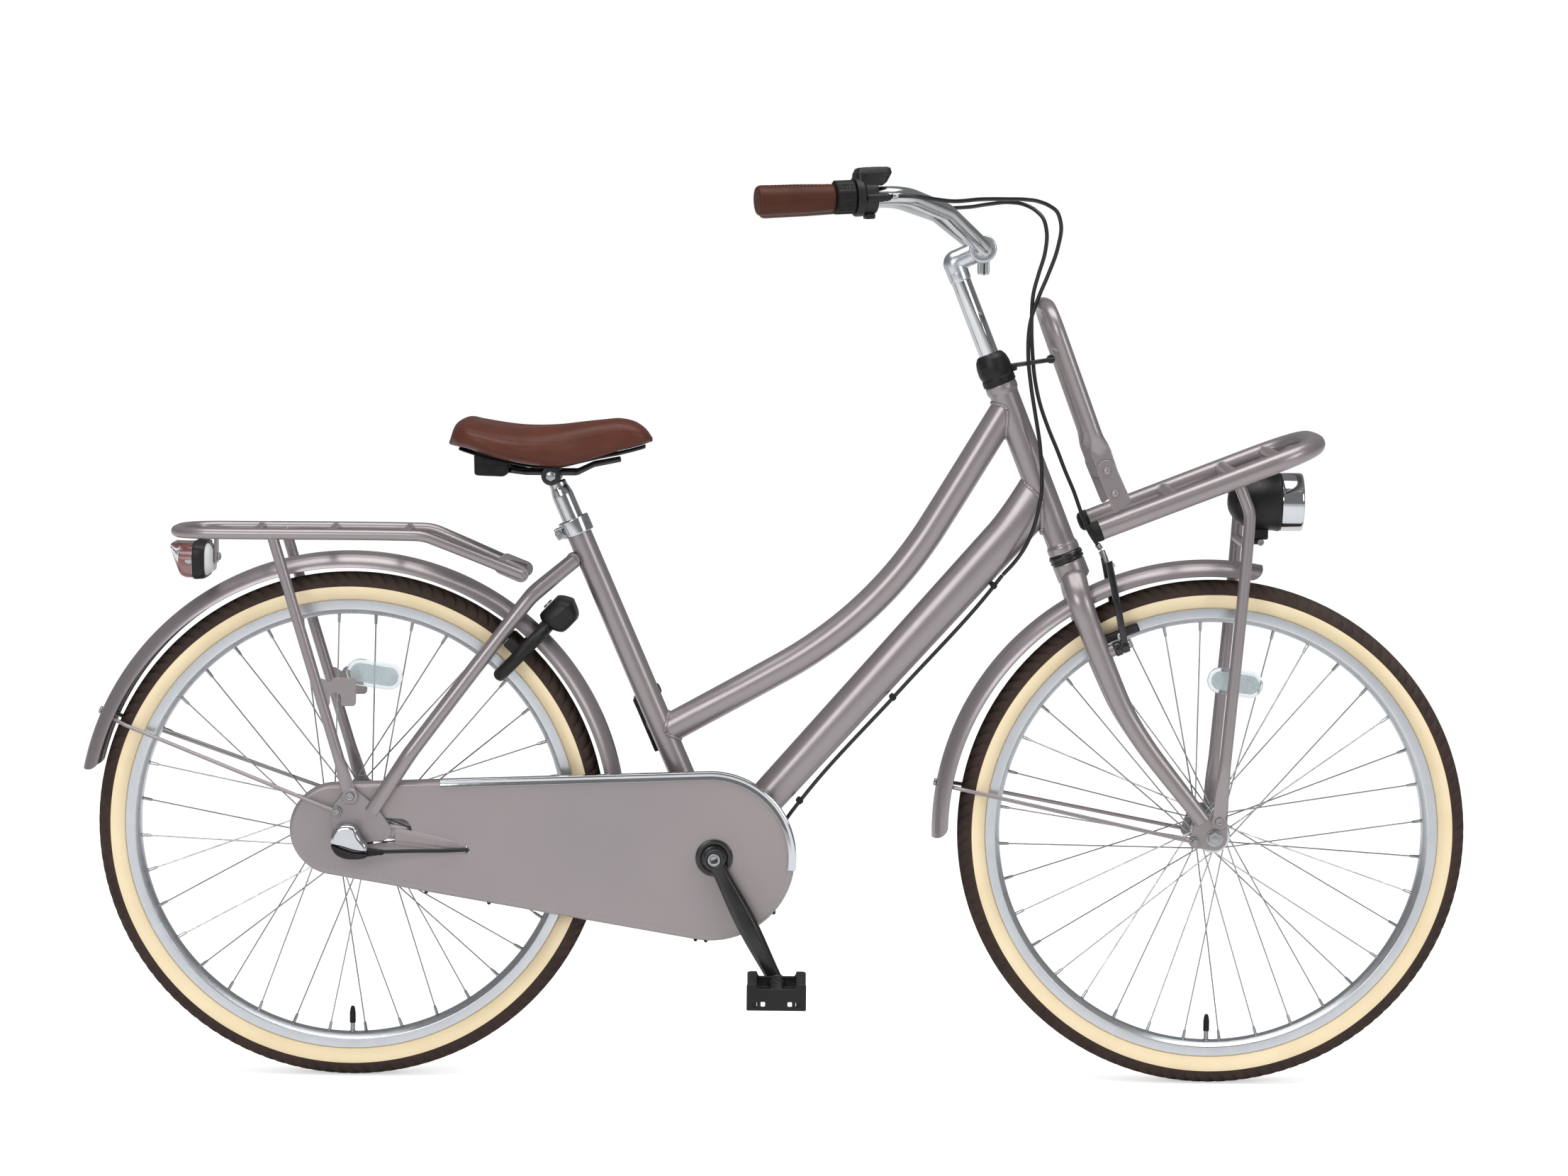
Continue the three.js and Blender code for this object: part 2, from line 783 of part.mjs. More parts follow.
// The outline drawn tight round several circles of [x, z, radius].
function around(circles, sides) {
  const places = circles.flatMap(([x, z, radius]) => circle(x, z, radius, sides));
  places.sort((a, b) => a[0] - b[0] || a[1] - b[1]);
  const turn = (a, b, c) => (b[0] - a[0]) * (c[1] - a[1]) - (b[1] - a[1]) * (c[0] - a[0]);
  const edge = (list) => {
    const kept = [];
    for (const place of list) {
      while (kept.length > 1 && turn(kept.at(-2), kept.at(-1), place) <= 0) kept.pop();
      kept.push(place);
    }
    return kept.slice(0, -1);
  };
  return [...edge(places), ...edge([...places].reverse())];
}

function block(fromX, toX, fromY, toY, fromZ, toZ) {
  const box = new THREE.BoxGeometry(abs(toX - fromX), abs(toY - fromY), abs(toZ - fromZ));
  return plain(box.translate((fromX + toX) / 2, (fromY + toY) / 2, (fromZ + toZ) / 2));
}

// Stands a piece that was made along Z on a point, along another direction.
function stand(piece, foot, along) {
  const turn = new THREE.Quaternion().setFromUnitVectors(point(0, 0, 1), along.clone().normalize());
  return piece.applyQuaternion(turn).translate(foot.x, foot.y, foot.z);
}

const mirrored = (path) => path.map((p) => point(p.x, -p.y, p.z));

const paint = { color: 0x968c8e, roughness: 0.32, metalness: 0.55 };
const casePaint = { color: 0x9b9294, roughness: 0.38, metalness: 0.4 };
const black = { color: 0x161616, roughness: 0.5, metalness: 0.1 };
const chrome = { color: 0xcfd2d4, roughness: 0.12, metalness: 1 };
const steel = { color: 0xa8abad, roughness: 0.35, metalness: 0.9 };
const brown = { color: 0x703e30, roughness: 0.55, metalness: 0 };
const rubber = { color: 0x3c2d28, roughness: 0.85, metalness: 0 };
const redLens = { color: 0xa01818, roughness: 0.1, metalness: 0 };
const clearLens = { color: 0xdfe5ea, roughness: 0.08, metalness: 0.1 };

function add(group, name, geometry, look) {
  const flat = geometry.toNonIndexed();
  flat.computeVertexNormals();
  const mesh = new THREE.Mesh(flat, new THREE.MeshStandardMaterial(look));
  mesh.name = name;
  group.add(mesh);
  return mesh;
}

// Places that several pieces share
const bracketAt = point(bracketX, 0, bracketZ);
const seatTubeTop = point(seatTubeTopX, 0, seatTubeTopZ);
const seatDirection = seatTubeTop.clone().sub(bracketAt).normalize();
const seatTubeLength = seatTubeTop.distanceTo(bracketAt);
const postTop = seatTubeTop.clone().addScaledVector(seatDirection, postReach);
const headFoot = point(headFootX, 0, headFootZ);
const headDirection = point(-cos(headAngle), 0, sin(headAngle));
const headForward = point(sin(headAngle), 0, cos(headAngle));
const headTop = headFoot.clone().addScaledVector(headDirection, headTubeLength);
const frontAxleAt = point(wheelBase, 0, tyreRadius);

// Wheels

function tyre() {
  const bead = rimHalfWidth - rimFlange - fit;
  const half = [
    [tyreRadius, treadHalfWidth],
    [tyreRadius - shoulderDrop, tyreHalfWidth * shoulderWidthShare],
    [tyreRadius - sidewallDepth, tyreHalfWidth],
    [rimRadius + fit * 2, bead],
    [rimBedRadius + fit * 2, bead],
  ];
  const otherHalf = half.map(([r, y]) => [r, -y]).reverse();
  return spun([...half, ...otherHalf], wheelFacets);
}

function rim() {
  const half = [
    [rimRadius, rimHalfWidth],
    [rimRadius - rimBraceDepth, rimHalfWidth],
    [rimInnerRadius, rimHeelHalfWidth],
  ];
  const bed = rimHalfWidth - rimFlange;
  const hoop = spun([
    [rimBedRadius, bed], [rimRadius, bed], ...half,
    ...half.map(([r, y]) => [r, -y]).reverse(), [rimRadius, -bed], [rimBedRadius, -bed],
  ], wheelFacets);
  const valveFoot = point(0, 0, -rimBedRadius + valveRadius);
  const valveTip = point(0, 0, -rimInnerRadius + valveLength);
  return join(hoop, rod(valveFoot, valveTip, valveRadius, 6));
}

// Hub shell with its two flanges, crossed spokes and a spoke reflector.
function hub(halfLength, flangePlace, flangeRadius, shellRadius, reflectorTurn) {
  const bore = axleRadius + running;
  const face = flangePlace + flangeHalfThickness;
  const back = flangePlace - flangeHalfThickness;
  const half = [
    [bore, halfLength], [hubEndRadius, halfLength], [hubEndRadius, face], [flangeRadius, face],
    [flangeRadius, back], [shellRadius, back],
  ];
  const shell = spun([...half, ...half.map(([r, y]) => [r, -y]).reverse()], 12);
  const perSide = spokeCount / 2;
  const inner = flangeRadius - spokeCircleInset;
  const outer = rimInnerRadius * cos(PI / wheelFacets);
  const spokes = [];
  for (let i = 0; i < spokeCount; i++) {
    const side = i % 2 ? right : left;
    const pair = (i - (i % 2)) / 2;
    const lead = pair % 2 ? -1 : 1;
    const hubTurn = ((pair + (i % 2) / 2 + spokePhaseShare) / perSide) * 2 * PI;
    const rimTurn = hubTurn + lead * spokeCrossing;
    const flangeY = side * (flangePlace + lead * spokeOffset);
    const from = point(inner * cos(hubTurn), flangeY, inner * sin(hubTurn));
    const to = point(outer * cos(rimTurn), side * spokeOffset, outer * sin(rimTurn));
    spokes.push(tube([from, to], spokeRadius, 3));
  }
  const badge = reflector().rotateY(-reflectorTurn);
  return join(shell, ...spokes, badge);
}

// A rounded plate clipped between the spokes, long way round the wheel.
function reflector() {
  const halfRound = (reflectorLength - reflectorHeight) / 2;
  const outline = belt([reflectorRadiusPlace, -halfRound, reflectorHeight / 2],
    [reflectorRadiusPlace, halfRound, reflectorHeight / 2], 4);
  return plate(outline, -reflectorOuterY, -reflectorInnerY);
}

function addWheel(group, name, hubShape, reflectorTurn) {
  add(group, `${name}_tyre`, tyre(), rubber);
  add(group, `${name}_rim`, rim(), steel);
  add(group, `${name}_hub`, hub(...hubShape, reflectorTurn), steel);
}

// An axle with a hexagon nut outside each dropout.
function axle(dropoutFace) {
  const nutFace = dropoutFace + fit;
  const tip = nutFace + nutThickness;
  const pieces = [rod(point(0, -tip, 0), point(0, tip, 0), axleRadius, 10)];
  for (const side of [right, left]) {
    const nut = rod(point(0, side * nutFace, 0), point(0, side * tip, 0), nutRadius, 6);
    pieces.push(nut);
  }
  return join(...pieces);
}

// Frame tubes

function headTube() {
  const ring = headRingRadius;
  return stand(turnedOnZ([
    [headBoreRadius, 0], [ring, 0], [ring, headRingLength], [headTubeRadius, headRingLength + headRingTaper],
    [headTubeRadius, headTubeLength - headRingLength - headRingTaper], [ring, headTubeLength - headRingLength],
    [ring, headTubeLength], [headBoreRadius, headTubeLength],
  ], 14), headFoot, headDirection);
}

const headTool = () => rod(
  headFoot.clone().addScaledVector(headDirection, -headRingLength),
  headTop.clone().addScaledVector(headDirection, headRingLength), headTubeRadius + fit * 2, 14);
const seatTool = () => rod(bracketAt, seatTubeTop, seatTubeRadius + fit * 2, 14);
const bracketTool = () => rod(point(bracketX, -bracketHalfLength - overrun, bracketZ),
  point(bracketX, bracketHalfLength + overrun, bracketZ), bracketRadius + fit * 2, 14);

function topTube() {
  const corners = [point(topTubeStartX, 0, topTubeStartZ), point(mix(topTubeStartX, headFootX, topTubeCornerShare), 0, topTubeCornerZ),
    headTop.clone().addScaledVector(headDirection, -topTubeEndDrop)];
  return cut(tube(bend(corners, topTubeBendRadius, 8), topTubeRadius, 10), headTool(), seatTool());
}

// The down tube grows taller towards the head tube and drops into a short gusset there.
function downTube() {
  const start = point(downTubeStartX, 0, downTubeStartZ);
  const finish = point(downTubeEndX, 0, downTubeEndZ);
  const path = downTubeShares.map((share) => start.clone().lerp(finish, share));
  const section = (share) => {
    const along = downTubeShares[Math.round(share * (downTubeShares.length - 1))];
    const halfHeight = mix(downTubeStartRadius, downTubeEndHeight, along);
    const halfWidth = mix(downTubeStartRadius, downTubeEndHalfWidth, along);
    const drop = gussetDrop * max(0, along - gussetStartShare) / (1 - gussetStartShare);
    return oval(halfWidth, halfHeight, 14).map(([a, b]) => [a, b > 0 ? b + drop * (b / halfHeight) : b]);
  };
  const shape = sweep(path, section, point(0, 1, 0));
  return cut(shape, headTool(), seatTool(), bracketTool());
}

// Seat tube with its post bore, welded to the bottom bracket shell.
function seatTube() {
  const bore = postRadius + running;
  const outer = stand(turnedOnZ([
    [0, 0], [seatTubeRadius, 0], [seatTubeRadius, seatTubeLength], [bore, seatTubeLength],
    [bore, seatTubeLength - seatTubeBoreDepth], [0, seatTubeLength - seatTubeBoreDepth - bore],
  ], 14), bracketAt, seatDirection);
  const shell = rod(point(bracketX, -bracketHalfLength, bracketZ), point(bracketX, bracketHalfLength, bracketZ),
    bracketRadius, 14);
  const bearing = rod(point(bracketX, -bracketHalfLength - overrun, bracketZ),
    point(bracketX, bracketHalfLength + overrun, bracketZ), crankAxleRadius + running, 12);
  return cut(join(outer, shell), bearing);
}

// Chain stays with dropouts, the bridge plate behind the bracket and the kickstand's cheeks.
function chainStays() {
  const pieces = [];
  for (const side of [right, left]) {
    const path = bend([
      point(chainStayStartX, side * chainStayStartY, bracketZ),
      point(chainStayWaistX, side * chainStayWaistY, chainStayWaistZ),
      point(chainStayKneeX, side * chainStayKneeY, chainStayKneeZ),
      point(stayEndX, side * (dropoutInner + dropoutThickness / 2), tyreRadius),
      point(stayEndX - stayEndRadius, side * (dropoutInner + dropoutThickness / 2), tyreRadius),
    ], chainStayBendRadius, 1);
    const thin = dropoutThickness / 2 - fit;
    const section = (share) => {
      const flat = max(0, share - chainStayFlatShare) / (1 - chainStayFlatShare);
      return oval(mix(chainStayHalfWidth, thin, flat), chainStayHeight, 8);
    };
    pieces.push(sweep(path, section, point(0, 1, 0)), dropout(side));
  }
  const plateX = [bridgeX - bridgePlateLength / 2, bridgeX + bridgePlateLength / 2];
  pieces.push(block(...plateX, -chainStayStartY, standPivotY + standEyeHalfLength + fit + standCheekThickness,
    bracketZ - bridgePlateThickness, bracketZ + bridgePlateThickness));
  for (const inner of [standPivotY - standEyeHalfLength - fit - standCheekThickness,
    standPivotY + standEyeHalfLength + fit]) {
    pieces.push(block(standPivotX - standCheekHalfLength, standPivotX + standCheekHalfLength, inner,
      inner + standCheekThickness, standPivotZ - standCheekHalfLength, bracketZ));
  }
  const pinHole = rod(point(standPivotX, 0, standPivotZ), point(standPivotX, standPivotY * 2, standPivotZ),
    standPinRadius + running, 10);
  return cut(join(...pieces), bracketTool(), pinHole);
}

const dropoutOutline = (more) => around([
  [0, tyreRadius, dropoutAxleRadius + more],
  [stayEndX, tyreRadius, stayEndRadius + more],
  [strutBoltX, strutBoltZ, strutBoltBoss + more],
  [guardBoltX, guardBoltZ, guardBoltBoss + more],
  [seatStayFootX, seatStayFootZ - strutBoltBoss, strutBoltBoss + more],
], 8);

function dropout(side) {
  const inner = side * dropoutInner;
  const outer = side * (dropoutInner + dropoutThickness);
  const hole = rod(point(0, inner - side * overrun, tyreRadius), point(0, outer + side * overrun, tyreRadius),
    axleRadius + running, 10);
  return cut(plate(dropoutOutline(0), inner, outer), hole);
}

// Two stays that meet behind the seat tube, joined by a short bridge over the mudguard.
function seatStays() {
  const pieces = [];
  for (const side of [right, left]) {
    const path = bend([
      point(seatStayTopX, side * seatStayTopY, seatStayTopZ),
      point(seatStayShoulderX, side * seatStayShoulderY, seatStayShoulderZ),
      point(seatStayKneeX, side * seatStayKneeY, seatStayKneeZ),
      point(seatStayFootX, side * seatStayFootY, seatStayFootZ - strutBoltBoss),
    ], seatStayRadius * 6, 2);
    const section = (share) => {
      const flat = max(0, share - seatStayFlatShare) / (1 - seatStayFlatShare);
      return oval(mix(seatStayRadius, seatStayFootHalfWidth, flat), seatStayRadius, 8);
    };
    pieces.push(sweep(path, section, point(0, 1, 0)));
  }
  const over = rearGuardRadius + fit * 2 + stayBridgeRadius;
  const spread = atan2(seatStayShoulderZ - tyreRadius, seatStayShoulderX);
  const bridge = (y) => point(over * cos(spread), y, tyreRadius + over * sin(spread));
  pieces.push(rod(bridge(-seatStayShoulderY), bridge(seatStayShoulderY), stayBridgeRadius, 8));
  pieces.push(rod(point(seatStayTopX, -seatStayTopY, seatStayTopZ), point(seatStayTopX, seatStayTopY, seatStayTopZ),
    seatStayRadius, 10));
  const stays = join(...pieces);
  const tools = [right, left].map((side) => plate(dropoutOutline(fit),
    side * (dropoutInner - overrun), side * (dropoutInner + dropoutThickness + fit)));
  return cut(stays, seatTool(), ...tools);
}

function seatClamp() {
  const inner = seatTubeRadius + fit;
  const lip = postRadius + running;
  const ring = turnedOnZ([
    [inner, -seatClampBelow], [seatClampRadius, -seatClampBelow], [seatClampRadius, seatClampAbove],
    [lip, seatClampAbove], [lip, fit * 2], [inner, fit * 2],
  ], 14);
  const lugX = -seatClampRadius - seatClampLugLength + seatClampBoltRadius;
  const lug = block(lugX, lugX + seatClampLugLength, -seatClampLugHalfWidth, seatClampLugHalfWidth,
    seatClampLugBottom, seatClampLugTop);
  const boltX = lugX + seatClampBoltRadius;
  const boltZ = (seatClampLugBottom + seatClampLugTop) / 2;
  const bolt = rod(point(boltX, -seatClampBoltHalfLength, boltZ), point(boltX, seatClampBoltHalfLength, boltZ),
    seatClampBoltRadius, 8);
  return stand(join(ring, lug, bolt), seatTubeTop, seatDirection);
}

// Seat

function seatPost() {
  const foot = seatTubeTop.clone().addScaledVector(seatDirection, -postInsertion);
  return tube([foot, postTop], postRadius, 14);
}

// One bent wire under the saddle and the clamp that holds it on the post.
function saddleRails(more = 0) {
  const noseX = saddleRearX + saddleLength * railNoseShare;
  const rearX = elastomerCentreX + elastomerLength / 2 + fit;
  const low = railClampZ + railRadius;
  const half = [
    point(rearX, elastomerCentreY, low + railRadius),
    point(railClampX - railClampHalfLength, railHalfSpacing, low),
    point(railClampX + railClampHalfLength, railHalfSpacing, low),
    point(noseX - railClampHalfLength, railHalfSpacing / 2, low + railNoseKneeRise),
    point(noseX, railHalfSpacing / 4, low + railNoseRise),
  ];
  const wire = tube([...half, ...mirrored(half).reverse()], railRadius + more, 6);
  const clamp = rod(point(railClampX, -railClampHalfLength, railClampZ),
    point(railClampX, railClampHalfLength, railClampZ), railClampRadius + more, 12);
  const postTool = rod(seatTubeTop, postTop.clone().addScaledVector(seatDirection, fit), postRadius * 2, 8);
  return cut(join(wire, clamp), postTool);
}

// Shares of the saddle's length, height and half width, from the rear edge to the nose.
const saddleShares = [
  // along, top, skirt, underside, width
  [0.00, 0.603, 0.485, 0.529, 0.56],
  [0.03, 0.893, 0.424, 0.484, 0.76],
  [0.08, 0.990, 0.382, 0.426, 0.91],
  [0.15, 0.954, 0.300, 0.350, 0.99],
  [0.25, 0.896, 0.176, 0.265, 1.00],
  [0.35, 0.857, 0.084, 0.188, 0.92],
  [0.45, 0.853, 0.022, 0.140, 0.77],
  [0.55, 0.879, 0.003, 0.150, 0.60],
  [0.65, 0.929, 0.082, 0.235, 0.47],
  [0.75, 0.971, 0.197, 0.322, 0.39],
  [0.85, 0.988, 0.335, 0.397, 0.34],
  [0.92, 0.921, 0.434, 0.465, 0.31],
  [0.97, 0.785, 0.512, 0.522, 0.24],
  [1.00, 0.632, 0.551, 0.574, 0.11],
];

// The padded cover: a crowned top, full edges, and sides that hang as a skirt round a hollow underside.
function saddle() {
  const sides = 18;
  const height = (share) => saddleBottomZ + saddleHeight * share;
  const rings = saddleShares.map(([along, top, skirt, underside, width]) => {
    const x = saddleRearX + saddleLength * along;
    const waist = mix(height(skirt), height(top), saddleWaistShare);
    return Array.from({ length: sides }, (_, i) => {
      const turn = ((i + 1 / 2) / sides) * 2 * PI;
      const lift = sin(turn);
      const spread = abs(cos(turn));
      const reach = saddleHalfWidth * width * Math.sign(cos(turn)) * spread ** saddleEdgePower;
      if (lift > 0) {
        return point(x, reach, mix(waist, height(top), lift ** saddleEdgePower));
      }
      const drawnIn = reach * (1 + saddleDrawInShare * lift);
      const hollow = spread < saddleSkirtShare;
      return point(x, drawnIn, hollow ? height(underside) : mix(waist, height(skirt), min(1, abs(lift) * 2)));
    });
  });
  return skin(rings);
}

// A thin pan just below the cover's hollow, with the two elastomer blocks at the rear.
function saddleBase() {
  const pan = saddleShares.slice(2, -2).map(([along, , , underside, width]) => {
    const x = saddleRearX + saddleLength * along;
    const top = saddleBottomZ + saddleHeight * underside - fit * 2;
    const half = saddleHalfWidth * width * saddleBaseWidthShare;
    return [point(x, -half, top), point(x, half, top),
      point(x, half, top - saddleBaseThickness), point(x, -half, top - saddleBaseThickness)];
  });
  const blocks = [right, left].map((side) => block(
    elastomerCentreX - elastomerLength / 2, elastomerCentreX + elastomerLength / 2,
    side * (elastomerCentreY - elastomerWidth / 2), side * (elastomerCentreY + elastomerWidth / 2),
    elastomerBottomZ, elastomerTopZ));
  return cut(join(skin(pan), ...blocks), saddleTool(), saddleRails(fit));
}

const saddleTool = () => saddle().translate(0, 0, -fit);

// Mudguards and their wire stays

function guard(radius, from, to, steps) {
  const spans = 4;
  const lip = guardLip;
  const outer = Array.from({ length: spans + 1 }, (_, i) => {
    const turn = mix(-lip, lip, i / spans);
    return [guardHalfWidth * sin(turn), radius - guardDepth * (1 - cos(turn))];
  });
  const inner = outer.map(([y, r]) => [y * (1 - guardThickness / guardHalfWidth), r - guardThickness]).reverse();
  const rings = Array.from({ length: steps + 1 }, (_, i) => {
    const turn = mix(from, to, i / steps);
    return [...outer, ...inner].map(([y, r]) => point(r * cos(turn), y, r * sin(turn)));
  });
  return skin(rings);
}

// One wire from bolt to bolt, bent across under the mudguard, with the bolt that holds it there.
function guardStay(radius, place, boltX, boltZ, faceY) {
  const wire = guardWireRadius;
  const eyeY = faceY + fit + wire;
  const under = radius - guardThickness - wire - fit * 2;
  const at = (r, y) => point(r * cos(place), y, r * sin(place));
  const edge = radius - guardDepth;
  const bolt = point(boltX, eyeY, boltZ);
  const entry = at(edge - guardWireEntryDrop, guardHalfWidth);
  const leave = entry.clone().sub(bolt).setY(0).setLength(guardBoltBoss * 2).add(bolt);
  const half = [bolt, leave, entry, at(edge + wire, guardHalfWidth - guardWireInset),
    at(under - wire * 2, guardHalfWidth / 2), at(under, 0)];
  const path = [...half, ...mirrored(half.slice(0, -1)).reverse()];
  const pieces = [tube(path, wire, 6)];
  for (const side of [right, left]) {
    pieces.push(rod(point(boltX, side * (faceY + fit), boltZ), point(boltX, side * (eyeY + wire * 2), boltZ),
      guardEyeRadius, 6));
  }
  pieces.push(rod(at(under, 0), at(radius + guardBoltHeadHeight, 0), guardBoltRadius, 6));
  pieces.push(rod(at(radius + fit, 0), at(radius + guardBoltHeadHeight, 0), guardBoltHeadRadius, 6));
  return join(...pieces);
}

// A tab from the front mudguard up to the underside of the fork's crown.
function guardBracket() {
  const crownFoot = onSteering(0, 0, -lowerCupHeight - crownHeight - fit);
  const local = crownFoot.sub(point(wheelBase - frontGuardShift, 0, tyreRadius));
  const foot = local.clone().setLength(frontGuardRadius - guardThickness / 2);
  return stand(turnedOnZ([[0, 0], [guardBoltBoss, 0], [guardBoltBoss, local.distanceTo(foot)],
    [0, local.distanceTo(foot)]], 8), foot, headDirection);
}

// The hole that the stay's bolt passes through.
function guardHole(radius, place) {
  const at = (r) => point(r * cos(place), 0, r * sin(place));
  return rod(at(radius - guardDepth), at(radius + guardDepth), guardBoltRadius + fit, 6);
}

// Cables follow hand-chosen points.

// Rows of [x, y, z]; x and z are counted from a place that the cable keeps to.
function routed(baseX, baseZ, rows) {
  return rows.map(([x, y, z]) => [baseX + x * routeStepLength, y * routeStepLength, baseZ + z * routeStepLength]);
}

const shiftCableFront = routed(headFootX, headFootZ, [
  [-232.5, -261, 447], [-205.5, -252, 447], [-180.5, -235, 444], [-158.5, -212, 442], [-121.5, -172, 445],
  [-84.5, -122, 446], [-60.5, -88, 446], [-43.5, -64, 444], [-29.5, -50, 439], [-19.5, -42, 432],
  [-13.5, -36, 415], [-16.5, -31, 388], [-28.5, -28, 352], [-39.5, -27, 325], [-49.5, -26, 293],
  [-51.5, -26, 248], [-47.5, -26, 212], [-41.5, -27, 176], [-35.5, -28, 140], [-32.5, -29, 104],
  [-32.5, -30, 77], [-35.5, -30, 59], [-40.5, -30, 37], [-51.5, -26, 9], [-64.5, -17, -12],
  [-78.5, -8.6, -28.8],
]);

// Rows of [share of the down tube's length, y, distance from the tube's middle line].
function underDownTube(rows) {
  const start = point(downTubeStartX, 0, downTubeStartZ);
  const finish = point(downTubeEndX, 0, downTubeEndZ);
  const along = finish.clone().sub(start).normalize();
  const out = point(along.z, 0, -along.x);
  return rows.map(([share, y, distance]) => start.clone().lerp(finish, share)
    .addScaledVector(out, distance * routeStepLength).setY(y * routeStepLength).toArray());
}

const shiftCableRear = [
  ...underDownTube([[0.825, -8, 29.8], [0.7804, -1, 32.5], [0.5008, 0, 33], [0.2014, 0, 33.5], [0.1415, -2, 36.3]]),
  ...routed(bracketX, bracketZ, [
    [70, -8, 5], [45, -14, -21], [15, -17, -29], [-15, -21, -27], [-50, -27, -20], [-95, -34, -14],
    [-145, -40, -11], [-205, -44, -8],
  ]),
  ...routed(0, tyreRadius, [
    [205, -47, -30], [180, -49.5, -27], [163, -52, -25], [150, -56, -24], [138, -61, -24], [118, -66, -24],
    [84, -71, -24], [52, -78, -24], [29.6, -82, -24],
  ]),
];

const brakeCableFront = routed(headFootX, headFootZ, [
  [-225, 262, 448.5], [-199.5, 255, 448], [-174.5, 237, 445], [-150.5, 205, 438], [-122.5, 165, 438],
  [-95.5, 120, 442], [-71.5, 80, 444], [-54.5, 55, 441], [-41.5, 40, 434], [-31.5, 30, 423],
  [-27.5, 25, 407], [-29.5, 20, 380], [-37.5, 15, 353], [-43.5, 14, 330], [-45.5, 14, 294],
  [-43.5, 14, 248], [-40.5, 14, 221], [-33.5, 14, 189], [-22.5, 15, 158], [-10.5, 17, 130], [0.5, 21, 103],
  [12.5, 26, 76], [23.5, 31, 47], [35.5, 36, 21], [49.1, 40.6, 1.6],
]);

// Chain case, chain and chainwheels

const caseRear = (radius) => [-caseRearSetback, tyreRadius, radius];
const caseFront = (radius) => [bracketX - caseFrontShift, bracketZ, radius];
const caseArcSteps = 10;
const trimFirstStep = 3;
const caseOutline = (inset) => belt(caseRear(caseRearRadius - inset), caseFront(caseFrontRadius - inset),
  caseArcSteps);

// The outer cover: a tray with openings for the axle and stay, the crank boss and the gear cable.
function chainCase() {
  const tray = plate(caseOutline(0), -caseOuterY, -caseInnerY);
  const hollow = plate(caseOutline(caseWall), -caseOuterY + caseWall, -caseInnerY + overrun);
  const through = (outline) => plate(outline, -caseOuterY - overrun, -caseInnerY);
  const slot = through(belt([0, tyreRadius, caseSlotRadius], [caseSlotEndX, tyreRadius, caseSlotEndRadius], 5));
  const boss = through(circle(bracketX, bracketZ, caseBossHole, 16));
  const passing = shiftCableRear.filter(([x]) => x > cableHoleStartX && x < cableHoleEndX);
  const cable = tube(passing.map((place) => point(...place)), cableRadius + running * 2, 8);
  return cut(tray, hollow, slot, boss, cable);
}

// The back plate sits inside the cover's wall and is open along the chain stay.
function chainCaseBack() {
  const opening = belt([0, tyreRadius, caseBackHubHole], [bracketX, bracketZ, caseBackBracketHole], 10);
  return plate(caseOutline(caseWall + fit * 2), -caseInnerY - caseWall, -caseInnerY, [opening]);
}

// A strip that clips over the case's upper and front edge.
function chainCaseTrim() {
  const whole = caseOutline(0).map(([x, z]) => point(x, 0, z));
  const [frontTop, rearTop] = [whole[caseArcSteps], whole[caseArcSteps + 1]];
  const line = rearTop.clone().sub(frontTop);
  const start = frontTop.clone().addScaledVector(line, (trimStartX - frontTop.x) / line.x);
  const path = [...whole.slice(trimFirstStep, caseArcSteps + 1), start];
  const centre = point(bracketX - caseFrontShift, 0, bracketZ);
  const rings = path.map((here) => {
    const away = (here === start ? frontTop : here).clone().sub(centre).normalize();
    const [low, high] = [fit, fit + trimThickness];
    const outerY = -caseOuterY - fit;
    return [
      [low, outerY], [low, outerY + trimWidth], [high, outerY + trimWidth], [high, outerY - trimThickness],
      [-trimLip, outerY - trimThickness], [-trimLip, outerY],
    ].map(([r, y]) => here.clone().addScaledVector(away, r).setY(y));
  });
  return trimSkin(rings);
}

// The strip's angle section is capped by fans that suit its six corners.
function trimSkin(rings) {
  const count = rings[0].length;
  const faces = [];
  for (let i = 0; i < rings.length - 1; i++) {
    for (let j = 0; j < count; j++) {
      const k = (j + 1) % count;
      const [a, b] = [i * count, (i + 1) * count];
      faces.push([a + j, b + j, b + k], [a + j, b + k, a + k]);
    }
  }
  const cap = [[0, 1, 2], [0, 2, 3], [0, 3, 4], [0, 4, 5]];
  const end = (rings.length - 1) * count;
  for (const [a, b, c] of cap) {
    faces.push([a, b, c], [end + a, end + c, end + b]);
  }
  return body(rings.flat(), faces);
}

const pitchRadius = (teeth) => (chainPitch * teeth) / (2 * PI);

function toothed(teeth, y, turn = 0) {
  const tip = pitchRadius(teeth) + toothHeight / 2;
  const outline = Array.from({ length: teeth * 2 }, (_, i) => {
    const radius = i % 2 ? tip : tip - toothHeight;
    const angle = turn + (i / (teeth * 2)) * 2 * PI;
    return [radius * cos(angle), radius * sin(angle)];
  });
  return plate(outline, y - toothThickness / 2, y + toothThickness / 2);
}

